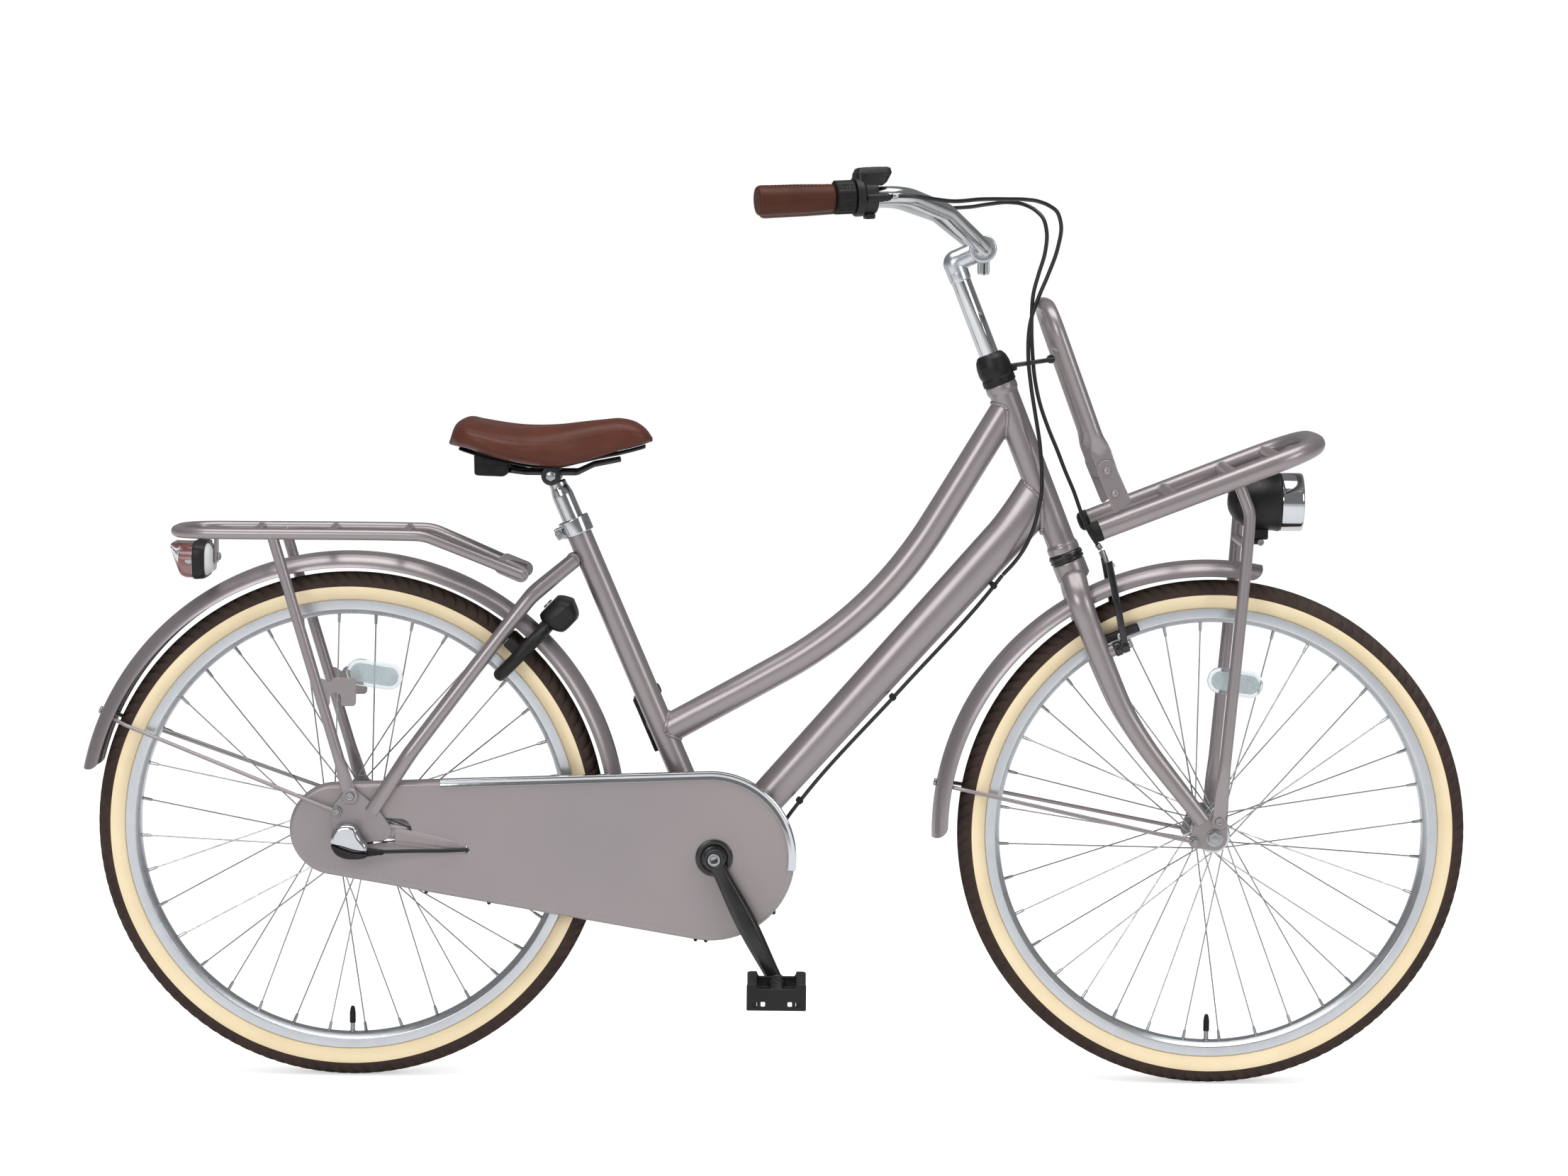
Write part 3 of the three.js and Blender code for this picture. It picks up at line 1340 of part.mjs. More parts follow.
// The chain as one closed channel: side plates straddle the teeth, rollers run over their tips.
function chain() {
  const tip = toothHeight / 2 + fit * 4;
  const ringRadius = pitchRadius(ringTeeth) + tip;
  const sprocketRadius = pitchRadius(sprocketTeeth) + tip;
  const run = belt([0, tyreRadius, sprocketRadius], [bracketX, bracketZ, ringRadius], 12);
  const half = toothThickness / 2 + fit * 2;
  const wide = half + chainPlateThickness;
  const depth = -tip * 2;
  const high = chainPlateHeight + depth;
  const section = [
    [0, -half], [0, half], [depth, half], [depth, wide], [high, wide], [high, -wide], [depth, -wide], [depth, -half],
  ];
  const rings = run.map(([x, z], i) => {
    const [px, pz] = run[(i + run.length - 1) % run.length];
    const [nx, nz] = run[(i + 1) % run.length];
    const before = point(x - px, 0, z - pz).normalize();
    const after = point(nx - x, 0, nz - z).normalize();
    const ahead = before.add(after).normalize();
    const out = point(ahead.z, 0, -ahead.x);
    return section.map(([r, y]) => point(x, y - chainLineY, z).addScaledVector(out, r));
  });
  return skin(rings, true);
}

// A crank from its boss to the pedal axle, pointing down from its own centre.
function crankArm(side) {
  const innerTop = side * crankInnerY;
  const boss = rod(point(0, innerTop, 0), point(0, side * crankOuterY, 0), crankBossRadius, 10);
  const rings = crankShares.map((share) => {
    const z = -crankLength * share;
    const step = min(share / crankStepShare, 1);
    const inner = side * mix(crankInnerY + fit, crankFootInnerY, step);
    const outer = side * mix(crankOuterY, crankFootOuterY, step);
    const waist = share > 0 && share < 1 ? crankWaistShare : 1;
    const half = mix(crankHalfWidthTop, crankHalfWidthFoot, share) * waist;
    const bevel = half * crankBevelShare;
    const brow = mix(inner, outer, crankBevelShare);
    return [point(-half, inner, z), point(-half, brow, z), point(-bevel, outer, z),
      point(bevel, outer, z), point(half, brow, z), point(half, inner, z)];
  });
  const foot = rod(point(0, side * crankFootInnerY, -crankLength), point(0, side * crankFootOuterY, -crankLength),
    crankEyeRadius, 8);
  const stub = rod(point(0, side * crankFootInnerY, -crankLength),
    point(0, side * (pedalInnerY + pedalLength - pedalSidePlate / 2), -crankLength), pedalAxleRadius, 6);
  return join(boss, skin(rings), foot, stub);
}

const crankBore = (side) => rod(point(0, 0, 0), point(0, side * (crankOuterY - bossCapThickness), 0),
  crankAxleRadius + fit * 2, 10);

function rightCrank() {
  const hubSleeve = rod(point(0, -chainLineY + toothThickness / 2, 0), point(0, -crankInnerY - fit, 0),
    crankBossRadius, 10);
  const cap = rod(point(0, -caseOuterY - fit * 2, 0), point(0, -caseOuterY - fit * 2 - bossCapThickness, 0),
    bossCapRadius, 14);
  const arm = crankArm(right).rotateY(-crankAngle);
  return cut(join(toothed(ringTeeth, -chainLineY), hubSleeve, cap, arm), crankBore(right));
}

const leftCrank = () => cut(crankArm(left).rotateY(PI - crankAngle), crankBore(left));

function crankAxle() {
  const reach = crankOuterY - bossCapThickness - fit;
  return rod(point(0, -reach, 0), point(0, reach, 0), crankAxleRadius, 12);
}

function sprocket() {
  const sleeve = rod(point(0, -chainLineY - toothThickness / 2 - overrun, 0),
    point(0, -rearHubHalfLength - running, 0), hubEndRadius, 12);
  const bore = rod(point(0, -caseOuterY, 0), point(0, -rearHubHalfLength + overrun, 0), axleRadius + running, 12);
  return cut(join(toothed(sprocketTeeth, -chainLineY), sleeve), bore);
}

// A resin pedal: a barrel on the axle, a bar with raised ends in front and behind, and side plates.
function pedal(side) {
  const half = pedalDepth / 2;
  const low = pedalHeight / 2;
  const notch = pedalHeight / 5;
  const mid = half - pedalBarDepth;
  const outline = [
    [-half, -low], [-mid, -low], [-mid + notch, -low + notch], [mid - notch, -low + notch], [mid, -low], [half, -low],
    [half, low], [mid, low], [mid - notch, low - notch], [-mid + notch, low - notch], [-mid, low], [-half, low],
  ];
  const inner = side * pedalInnerY;
  const outer = side * (pedalInnerY + pedalLength);
  const solid = plate(outline, inner, outer);
  const tools = [-1, 1].map((way) => block(way * pedalBarrelHalfDepth, way * mid,
    inner + side * pedalSidePlate, outer - side * pedalSidePlate, -pedalHeight, pedalHeight));
  const bore = rod(point(0, inner - side * overrun, 0), point(0, outer + side * overrun, 0),
    pedalAxleRadius + running, 10);
  return cut(solid, ...tools, bore);
}

function gearSelectorBox() {
  const inner = -(dropoutInner + dropoutThickness + fit * 2 + nutThickness + fit);
  const outer = inner - gearBoxDepth;
  const round = gearBoxCornerRadius;
  const x = gearBoxX;
  const [w, h] = [gearBoxLength / 2 - round, gearBoxHeight / 2 - round];
  const corner = (dx, dz, from) => arc(x + dx, gearBoxZ + dz, round, from, from + PI / 2, 3);
  const outline = [...corner(w, h, 0), ...corner(-w, h, PI / 2), ...corner(-w, -h, PI), ...corner(w, -h, -PI / 2)];
  return plate(outline, outer, inner);
}

// Kickstand, folded back along the left chain stay; its own centre is the pivot.
function kickstand() {
  const back = point(-cos(standSplay), sin(standSplay), 0);
  const foot = back.clone().multiplyScalar(standLength);
  const eye = rod(point(0, -standEyeHalfLength, 0), point(0, standEyeHalfLength, 0), standEyeRadius, 12);
  const leg = rod(back.clone().multiplyScalar(standEyeRadius / 2), foot, standRadius, 10);
  const shoe = rod(back.clone().multiplyScalar(standLength - standFootLength), back.clone()
    .multiplyScalar(standLength + standFootLength / 4), standFootRadius, 10);
  const pin = rod(point(0, -standEyeHalfLength - standCheekThickness - fit, 0),
    point(0, standEyeHalfLength + standCheekThickness + fit, 0), standPinRadius, 10);
  return join(eye, leg, shoe, pin);
}

// Rear carrier and lamp

function rearCarrier() {
  const z = rearRackZ;
  const side = rearRackHalfWidth;
  const half = [point(rearRackRearX, 0, z), point(rearRackRearX, side, z), point(rearRackBendX, side, z),
    point(rearRackFootX, rearRackFootY, rearRackFootZ)];
  const loop = tube(bend([...mirrored(half).reverse().slice(0, -1), ...half.slice(1)], rearRackCornerRadius, 3),
    rearRackRadius, 8);
  const pieces = [loop];
  const span = rearRackBendX - rearRackRearX;
  for (const share of rearRackBarShares) {
    const x = rearRackRearX + span * share;
    pieces.push(rod(point(x, -side, z), point(x, side, z), rearRackBarRadius, 6));
  }
  for (const way of [right, left]) pieces.push(...rackStrut(way));
  const lampFace = tailLampFrontX + fit;
  pieces.push(block(lampFace, lampFace + tailBracketThickness, -tailBracketHalfWidth, tailBracketHalfWidth,
    z - tailBracketLength, z));
  pieces.push(block(rearRackRearX, lampFace + tailBracketThickness, -tailBracketHalfWidth, tailBracketHalfWidth,
    z - tailBracketDrop, z - tailBracketDrop + tailBracketThickness));
  return join(...pieces);
}

// Shares of the bag hook plate's length and height, from the leg round its notch.
const bagHookShares = [
  [0, -0.5], [1, -0.5], [1, 0], [0.7, 0], [0.7, -0.2], [0.35, -0.2], [0.35, 0.3], [1, 0.3], [1, 0.5], [0, 0.5],
];

// A carrier leg from the rail to the dropout bolt, with a bag hook plate half way down.
function rackStrut(side) {
  const face = dropoutInner + dropoutThickness + fit * 2;
  const footY = side * (face + strutFlatHalf);
  const top = point(strutTopX, side * rearRackHalfWidth, rearRackZ);
  const bottom = point(strutBoltX, footY, strutBoltZ);
  const flat = (share) => oval(share > 1 / 2 ? strutFlatHalf : strutRadius, strutRadius, 6);
  const knee = top.clone().lerp(bottom, strutKneeShare).setY(footY + side * strutKneeOut);
  const leg = sweep([top, knee, bottom], flat, point(0, 1, 0));
  const eye = rod(point(strutBoltX, side * face, strutBoltZ),
    point(strutBoltX, side * (face + strutFlatHalf * 2), strutBoltZ), strutBoltBoss, 8);
  const { x, y, z } = top.clone().lerp(bottom, bagHookShare);
  const outline = bagHookShares.map(([along, up]) => [x + bagHookLength * along, z + bagHookHeight * up]);
  return [leg, eye, plate(outline, y - bagHookThickness / 2, y + bagHookThickness / 2)];
}

function tailLamp() {
  const seamX = tailLampRearX + tailLampLensDepth;
  const rim = [tailLampHalfWidth, tailLampBottomZ, tailLampTopZ + tailLampSeamRise];
  return lampLoft([
    [seamX, ...rim],
    [mix(seamX, tailLampFrontX, tailLampMiddleShare), ...rim],
    [tailLampFrontX, tailLampHalfWidth * tailLampBackShare, tailLampBottomZ + tailLampBackRise,
      tailLampTopZ - tailLampBackDrop],
  ]);
}

function tailLampLens() {
  const seamX = tailLampRearX + tailLampLensDepth - fit;
  const bulgeX = tailLampRearX + tailLampLensDepth * tailLampBulgeShare;
  return lampLoft([
    [tailLampRearX, tailLampHalfWidth * tailLampEdgeShare, tailLampTopZ - tailLampEdgeHeight,
      tailLampTopZ - tailLampEdgeDrop],
    [bulgeX, tailLampHalfWidth * tailLampBulgeWidthShare, tailLampBottomZ + tailLampBulgeRise, tailLampTopZ],
    [seamX, tailLampHalfWidth, tailLampBottomZ, tailLampTopZ],
  ]);
}

// A lamp body from upright rounded stations of [x, half width, bottom, top].
function lampLoft(stations) {
  const sides = 12;
  return skin(stations.map(([x, half, low, high]) => Array.from({ length: sides }, (_, i) => {
    const turn = ((i + 1 / 2) / sides) * 2 * PI;
    const [c, s] = [cos(turn), sin(turn)];
    const y = half * Math.sign(c) * abs(c) ** lampCornerPower;
    return point(x, y, (low + high) / 2 + ((high - low) / 2) * Math.sign(s) * abs(s) ** lampCornerPower);
  })));
}

// Ring lock: made about its own centre with the wheel's radius along Z, then set on the stays.

function lockArc(from, to, steps, section) {
  const path = Array.from({ length: steps + 1 }, (_, i) => {
    const turn = mix(from, to, i / steps);
    return point(0, lockRingRadius * sin(turn), lockRingRadius * cos(turn));
  });
  return sweep(path, section, point(1, 0, 0));
}

function ringLock() {
  const open = lockOpenAngle;
  const shell = lockArc(-open, open, 14, oval(lockHalfSection, lockHalfSection, 8));
  const inside = lockRingRadius - lockHalfSection;
  const edge = lockRingRadius + lockHeadHeight * lockHeadEdgeShare;
  const head = lampLoft([
    [-lockHeadBack, lockHeadHalfWidth * lockHeadBackShare, inside + lockHeadLowBack, edge],
    [0, lockHeadHalfWidth, inside + lockHeadLowMiddle, lockRingRadius + lockHeadHeight],
    [lockHeadFront, lockHeadHalfWidth * lockHeadFrontShare, lockRingRadius, edge],
  ]);
  const channel = lockArc(lockBoltStart - lockBoltMargin, open + lockOverrun, 9, oval(lockChannel, lockChannel, 6));
  const catchHole = lockArc(-open - lockOverrun, -open + lockOverrun, 1, oval(lockChannel, lockChannel, 6));
  const slotSection = [[-lockSlotHalfWidth, 0], [lockSlotHalfWidth, 0],
    [lockSlotHalfWidth, -lockHeadHeight], [-lockSlotHalfWidth, -lockHeadHeight]];
  const slot = lockArc(lockLeverAngle - lockOverrun, open + lockSlotMargin, 6, slotSection);
  const lugs = [right, left].map((side) => block(-lockLugReach, 0, side * lockLugInnerY, side * lockLugOuterY,
    -lockLugHalfWidth, lockLugHalfWidth));
  return cut(join(shell, head, ...lugs), channel, catchHole, slot);
}

// The curved bolt with its thumb lever; it turns about the ring's centre.
function ringLockBolt() {
  const shaft = lockArc(lockBoltStart, lockBoltEnd, 12, oval(lockBoltRadius, lockBoltRadius, 6));
  const outer = lockRingRadius + lockHalfSection;
  const turn = lockLeverAngle;
  const lever = block(-lockLeverHalfWidth, lockLeverHalfWidth, -lockSlotHalfWidth * 2, lockSlotHalfWidth * 2,
    lockRingRadius, outer + lockLeverTop).rotateX(-turn);
  const knob = block(-lockLugHalfWidth, lockLugHalfWidth, -lockSlotHalfWidth * 3, lockSlotHalfWidth * 3,
    outer + lockKnobBottom, outer + lockKnobTop).rotateX(-turn);
  return join(shaft, lever, knob);
}

// Front end; pieces are made in bike places and moved into the steering group together.

const onSteering = (ahead, y, up) => headFoot.clone().addScaledVector(headForward, ahead).setY(y)
  .addScaledVector(headDirection, up);

const lowerHeadset = () => stand(turnedOnZ([
  [headBoreRadius, -lowerCupHeight + fit], [lowerCupRadius, -lowerCupHeight + fit], [lowerCupRadius, -fit * 3],
  [lowerCupTopRadius, -fit], [headBoreRadius, -fit],
], 14), headFoot, headDirection);

// The fork: steerer, crown and two blades that curve forward to the dropouts.
function fork() {
  const steerer = rod(onSteering(0, 0, -crownHeight), onSteering(0, 0, headTubeLength + capHeight / 2),
    steererRadius, 12);
  const crown = rod(onSteering(0, 0, -lowerCupHeight - crownHeight), onSteering(0, 0, -lowerCupHeight),
    crownRadius, 12);
  const down = frontAxleAt.clone().sub(headFoot).dot(headDirection);
  const rake = frontAxleAt.clone().sub(headFoot).dot(headForward);
  const pieces = [crown];
  for (const side of [right, left]) {
    const knots = bladeShares.map(([drop, forward, spread]) => onSteering(
      rake * forward, side * bladeSpread * spread, down * drop));
    const path = new THREE.CatmullRomCurve3(knots).getPoints(9);
    const section = (share) => oval(mix(bladeTopHalfWidth, bladeFootHalfWidth, share ** bladeTaperPower),
      mix(bladeTopHalfDepth, bladeFootHalfDepth, share), 8);
    pieces.push(sweep(path, section, point(0, 1, 0)));
    const [inner, outer] = [side * forkDropoutInner, side * (forkDropoutInner + forkDropoutThickness)];
    const tip = path.at(-1);
    const axleEnd = [wheelBase, tyreRadius, forkDropoutRadius];
    const outline = around([axleEnd, [tip.x, tip.z, bladeFootHalfDepth],
      [frontStrutBoltX, frontStrutBoltZ, strutBoltBoss], [frontGuardBoltX, frontGuardBoltZ, guardBoltBoss]], 8);
    pieces.push(plate(outline, inner, outer));
    pieces.push(brakeBoss(side));
  }
  const solid = join(...pieces);
  const bore = rod(point(wheelBase, -bladeSpread * 2, tyreRadius), point(wheelBase, bladeSpread * 2, tyreRadius),
    axleRadius + fit, 10);
  const quillBore = rod(onSteering(0, 0, headTubeLength - quillLength), onSteering(0, 0, headTubeLength * 2),
    quillRadius + fit * 2, 12);
  return cut(join(solid, steerer), bore, quillBore);
}

// The boss on a blade and the pin that a brake arm turns on.
function brakeBoss(side) {
  const pivot = point(brakePivotX, side * brakePivotY, brakePivotZ);
  const ahead = pivot.clone().sub(headFoot).dot(headForward);
  const back = pivot.clone().addScaledVector(headForward, -ahead);
  const seat = pivot.clone().addScaledVector(headForward, -brakeArmThickness / 2 - fit);
  const tip = pivot.clone().addScaledVector(headForward, brakeArmThickness / 2 + fit * 2);
  return join(rod(back, seat, brakeBossRadius, 8), rod(back, tip, brakePivotRadius, 8));
}

function headsetCap() {
  const foot = onSteering(0, 0, headTubeLength + fit);
  const cone = stand(turnedOnZ([
    [steererRadius + fit * 2, 0], [capBottomRadius, 0], [capBottomRadius, capHeight * capShoulderShare],
    [capTopRadius, capHeight], [quillRadius + fit * 2, capHeight], [quillRadius + fit * 2, capHeight * capSeatShare],
    [steererRadius + fit * 2, capHeight * capSeatShare],
  ], 12), foot, headDirection);
  const up = headTubeLength + braceUp;
  const lug = rod(onSteering(braceLugStart, 0, up), onSteering(braceLugEnd, 0, up), braceRadius * 2, 8);
  const end = backrestPoint(braceShare).add(point(-backrestRadius / 2, 0, 0));
  const brace = rod(onSteering(capBottomRadius, 0, up), end, braceRadius, 8);
  return join(cone, lug, brace);
}

// A place on the backrest's middle line, by its share of the height.
const backrestPoint = (share) => point(mix(backrestFootX, backrestTopX, share), 0,
  mix(backrestFootZ, backrestTopZ, share));

// Quill, forged neck and the clamp round the bar.
function stem() {
  const quillTop = onSteering(0, 0, quillTopHeight);
  const quill = rod(quillTop.clone().addScaledVector(headDirection, -quillLength + overrun), quillTop, quillRadius, 10);
  const barAt = point(barCentreX, 0, barCentreZ);
  const knee = quillTop.clone().addScaledVector(headDirection, neckKneeRise);
  const neckPath = [quillTop.clone().addScaledVector(headDirection, -quillRadius), knee, barAt];
  const section = (share) => oval(mix(neckFootHalfWidth, neckTopHalfWidth, share), neckHalfHeight, 10);
  const neck = sweep(bend(neckPath, neckBendRadius, 3), section, point(0, 1, 0));
  const clamp = rod(point(barCentreX, -barClampHalfWidth, barCentreZ), point(barCentreX, barClampHalfWidth, barCentreZ),
    barClampRadius, 12);
  const lug = block(barCentreX - clampLugBack, barCentreX + clampLugFront, -barClampHalfWidth / 2,
    barClampHalfWidth / 2, barCentreZ - clampLugDrop, barCentreZ);
  const bore = rod(point(barCentreX, -barClampHalfWidth * 2, barCentreZ),
    point(barCentreX, barClampHalfWidth * 2, barCentreZ), barRadius + fit * 2, 10);
  return cut(join(quill, neck, clamp, lug), bore);
}

function barCorners(side) {
  return [point(barCentreX, 0, barCentreZ), point(barCentreX, side * barRiseStartY, barCentreZ),
    point(barShoulderX, side * barShoulderY, barShoulderZ), point(barElbowX, side * barElbowY, barElbowZ),
    point(barEndX, side * barEndY, barEndZ)];
}

function handlebar() {
  const corners = [...barCorners(right).slice(1).reverse(), ...barCorners(left).slice(1)];
  return tube(bend(corners, barBendRadius, 3), barRadius, 8);
}

// Places along a grip, measured from the end of the bar towards the stem.
function gripLine(side) {
  const [, , , elbow, end] = barCorners(side);
  const inward = elbow.clone().sub(end).normalize();
  return { end, inward, at: (length) => end.clone().addScaledVector(inward, length) };
}

function grip(side, length) {
  const bore = barRadius + fit * 2;
  const { end, inward } = gripLine(side);
  const lip = gripWall;
  return stand(turnedOnZ([
    [0, -lip], [gripEndRadius - lip, -lip], [gripEndRadius, lip], [gripEndRadius * 0.97, length * 0.5],
    [gripFrontRadius, length - lip], [gripFrontRadius - lip / 2, length - fit], [bore, length - fit],
    [bore, -fit], [0, -fit],
  ], 14), end, inward);
}

// The ribbed sleeve of the twist shifter, placed at the middle of its own length.
function shiftGrip() {
  const bore = barRadius + running;
  const sleeve = turnedOnZ([[bore, fit], [sleeveRadius, fit], [sleeveRadius, sleeveLength - fit],
    [bore, sleeveLength - fit]], 14);
  const ribs = Array.from({ length: sleeveRibCount }, (_, i) => {
    const half = sleeveRibHeight;
    return block(sleeveRadius - half, sleeveRadius + half, -half, half, fit * 4, sleeveLength - fit * 4)
      .rotateZ((i / sleeveRibCount) * 2 * PI);
  });
  return join(sleeve, ...ribs);
}

// Drum and top housing of the shifter, made along the bar with Y turned upward.
function shifterHousing() {
  const bore = barRadius + fit * 2;
  const drum = turnedOnZ([[bore, fit], [shifterRadius, fit], [shifterRadius, shifterShoulder],
    [shifterNeckRadius, shifterLength], [bore, shifterLength]], 14);
  const top = lampLoft(shifterTopShares.map(([up, wide, from, to]) => [shifterTopHeight * up,
    shifterRadius * wide, shifterLength * from, shifterLength * to]));
  const outlet = rod(point(-cableOutletDrop, cableOutletOut, shifterLength / 2),
    point(-cableOutletDrop, cableOutletOut, cableOutletTip), cableOutletRadius, 8);
  const barTool = rod(point(0, 0, -overrun), point(0, 0, shifterLength * 2), bore, 10);
  return cut(join(drum, top, outlet), barTool);
}

// A frame on the bar: Z runs inward along it and X points up and square to it.
function setOnBar(piece, side, length) {
  const { inward, at } = gripLine(side);
  const up = point(0, 0, 1).addScaledVector(inward, -inward.z).normalize();
  const across = inward.clone().cross(up);
  const frame = new THREE.Matrix4()
    .makeBasis(up.multiplyScalar(-side), across.multiplyScalar(-side), inward).setPosition(at(length));
  piece.applyMatrix4(frame);
  return piece;
}

// Clamp ring and the two cheeks that hold the lever's pin, outward of the bar.
function leverBracket() {
  const bore = barRadius + fit * 2;
  const ring = turnedOnZ([[bore, 0], [leverBracketRadius, 0], [leverBracketRadius, leverBracketLength],
    [bore, leverBracketLength]], 10);
  const along = leverPivotAlong;
  const cheekHalf = leverPivotRadius + leverPinRadius;
  const cheek = (from) => block(from, from + leverThickness / 2, leverBracketRadius / 2,
    leverPivotReach + leverPivotRadius, along - cheekHalf, along + cheekHalf);
  const half = leverHalfHeight + fit;
  const barrel = rod(point(0, leverBarrelReach, leverBarrelStart), point(0, leverBarrelReach, leverBarrelEnd),
    cableRadius * 2, 6);
  const pinHole = rod(point(-leverReach, leverPivotReach, along), point(leverReach, leverPivotReach, along),
    leverPinRadius + fit, 8);
  const web = block(-half, half, leverWebFoot, leverBracketRadius + fit, 0, leverBracketLength);
  const barTool = rod(point(0, 0, -overrun), point(0, 0, leverBracketLength * 2), bore, 10);
  const pieces = [ring, web, cheek(half), cheek(-half - leverThickness / 2), barrel];
  return cut(join(...pieces), pinHole, barTool);
}

// Shares of the lever's length, of its reach past the pin and of its section.
const leverShares = [
  [0, 0, 0.9],
  [0.1, 0.16, 0.95],
  [0.3, 0.36, 1],
  [0.55, 0.44, 0.95],
  [0.8, 0.5, 0.9],
  [1, 0.62, 0.8],
];

// The brake lever about its own pin; it lies beside the grip and bows outward at its tip.
function brakeLever() {
  const rings = leverShares.map(([along, out, size]) => {
    const at = point(0, leverReach * out, -leverLength * along);
    const [h, t] = [leverHalfHeight * size, (leverThickness / 2) * size];
    const [hb, tb] = [h * leverBevelShare, t * leverBevelShare];
    return [[-h, -tb], [-h, tb], [-hb, t], [hb, t], [h, tb], [h, -tb], [hb, -t], [-hb, -t]]
      .map(([x, y]) => at.clone().add(point(x, y, 0)));
  });
  const eyeHalf = leverHalfHeight - running;
  const eye = rod(point(-eyeHalf, 0, 0), point(eyeHalf, 0, 0), leverEyeRadius, 10);
  const pin = rod(point(-leverHalfHeight - leverThickness / 2, 0, 0), point(leverHalfHeight + leverThickness / 2, 0, 0),
    leverPinRadius, 8);
  return join(skin(rings), eye, pin);
}

// Shares of the arm's length, of its bow past the pad and of its width.
const brakeArmShares = [
  [0, 0, 0.8],
  [0.25, 0.5, 0.8],
  [0.5, 0.7, 0.68],
  [0.8, 0.3, 0.56],
  [1, 0, 0.48],
];

// A brake arm about its own pin: Z runs up along the fork, X forward, Y across.
function brakeArm(side) {
  const half = brakeArmThickness / 2;
  const out = side * brakeArmHalfWidth;
  const eye = rod(point(-half, 0, 0), point(half, 0, 0), brakeEyeRadius, 12);
  const rings = brakeArmShares.map(([up, bow, wide]) => {
    const [x, y, z] = [brakeArmAhead * up, out * bow, brakeArmLength * up];
    const w = brakeArmHalfWidth * wide;
    return [point(x - half, y - w, z), point(x - half, y + w, z), point(x + half, y + w, z), point(x + half, y - w, z)];
  });
  const padFace = side * (rimHalfWidth + padGap - brakePivotY);
  const padBack = padFace + side * padDepth;
  const pad = block(-padLength / 2, padLength / 2, padFace, padBack, padPlace - padHalfHeight,
    padPlace + padHalfHeight);
  const post = rod(point(0, padBack - side * brakePostRadius / 2, padPlace),
    point(0, side * brakePostRadius, padPlace), brakePostRadius, 8);
  const noodle = rod(point(brakeArmAhead, 0, brakeArmLength - brakeArmHalfWidth),
    point(brakeArmAhead, 0, brakeArmLength + brakeArmHalfWidth), noodleRadius, 8);
  const bore = rod(point(-half - overrun, 0, 0), point(half + overrun, 0, 0), brakePivotRadius + fit, 10);
  const pieces = [eye, skin(rings), pad, post];
  if (side === left) pieces.push(noodle);
  return cut(join(...pieces), bore);
}

// Front carrier: a sloping loop of tube with cross bars, its two legs and the lamp's bar.
const rackRail = (x) => rackRearZ + (x - rackRearX) * tan(rackSlope);
const lampBarX = mix(frontStrutTopX, frontStrutBoltX,
  (frontStrutTopZ - lampBarZ) / (frontStrutTopZ - frontStrutBoltZ));

function frontCarrier() {
  const y = rackHalfWidth;
  const half = [point(rackFrontX, 0, rackRail(rackFrontX)), point(rackFrontX, y, rackRail(rackFrontX)),
    point(rackRearX, y, rackRearZ)];
  const loop = tube(bend([...mirrored(half).reverse().slice(0, -1), ...half.slice(1)], rackCornerRadius, 4),
    rackRadius, 10);
  const pieces = [loop];
  const span = rackFrontX - rackRearX;
  for (const share of rackBarShares) {
    const x = rackRearX + span * share;
    pieces.push(rod(point(x, -y, rackRail(x)), point(x, y, rackRail(x)), rackBarRadius, 8));
  }
  for (const side of [right, left]) {
    const face = forkDropoutInner + forkDropoutThickness + fit * 2;
    const flat = frontStrutFlatHalf;
    const barX = rackRearX + span * rackBarShares[rackLegBar];
    const path = [
      point(barX, side * frontStrutHalfSpacing, rackRail(barX)),
      point(frontStrutTopX, side * frontStrutHalfSpacing, frontStrutTopZ),
      point(mix(frontStrutTopX, frontStrutBoltX, frontStrutKneeShare), side * (face + flat + frontStrutKneeOut),
        mix(frontStrutTopZ, frontStrutBoltZ, frontStrutKneeShare)),
      point(frontStrutBoltX, side * (face + flat), frontStrutBoltZ),
    ];
    const section = (share) => oval(share > frontStrutFlatShare ? flat : frontStrutRadius, frontStrutRadius, 8);
    pieces.push(sweep(path, section, point(0, 1, 0)));
    pieces.push(rod(point(frontStrutBoltX, side * face, frontStrutBoltZ),
      point(frontStrutBoltX, side * (face + flat * 2), frontStrutBoltZ), strutBoltBoss, 8));
  }
  pieces.push(rod(point(lampBarX, -frontStrutHalfSpacing, lampBarZ), point(lampBarX, frontStrutHalfSpacing, lampBarZ),
    lampBarRadius, 8));
  return join(...pieces);
}

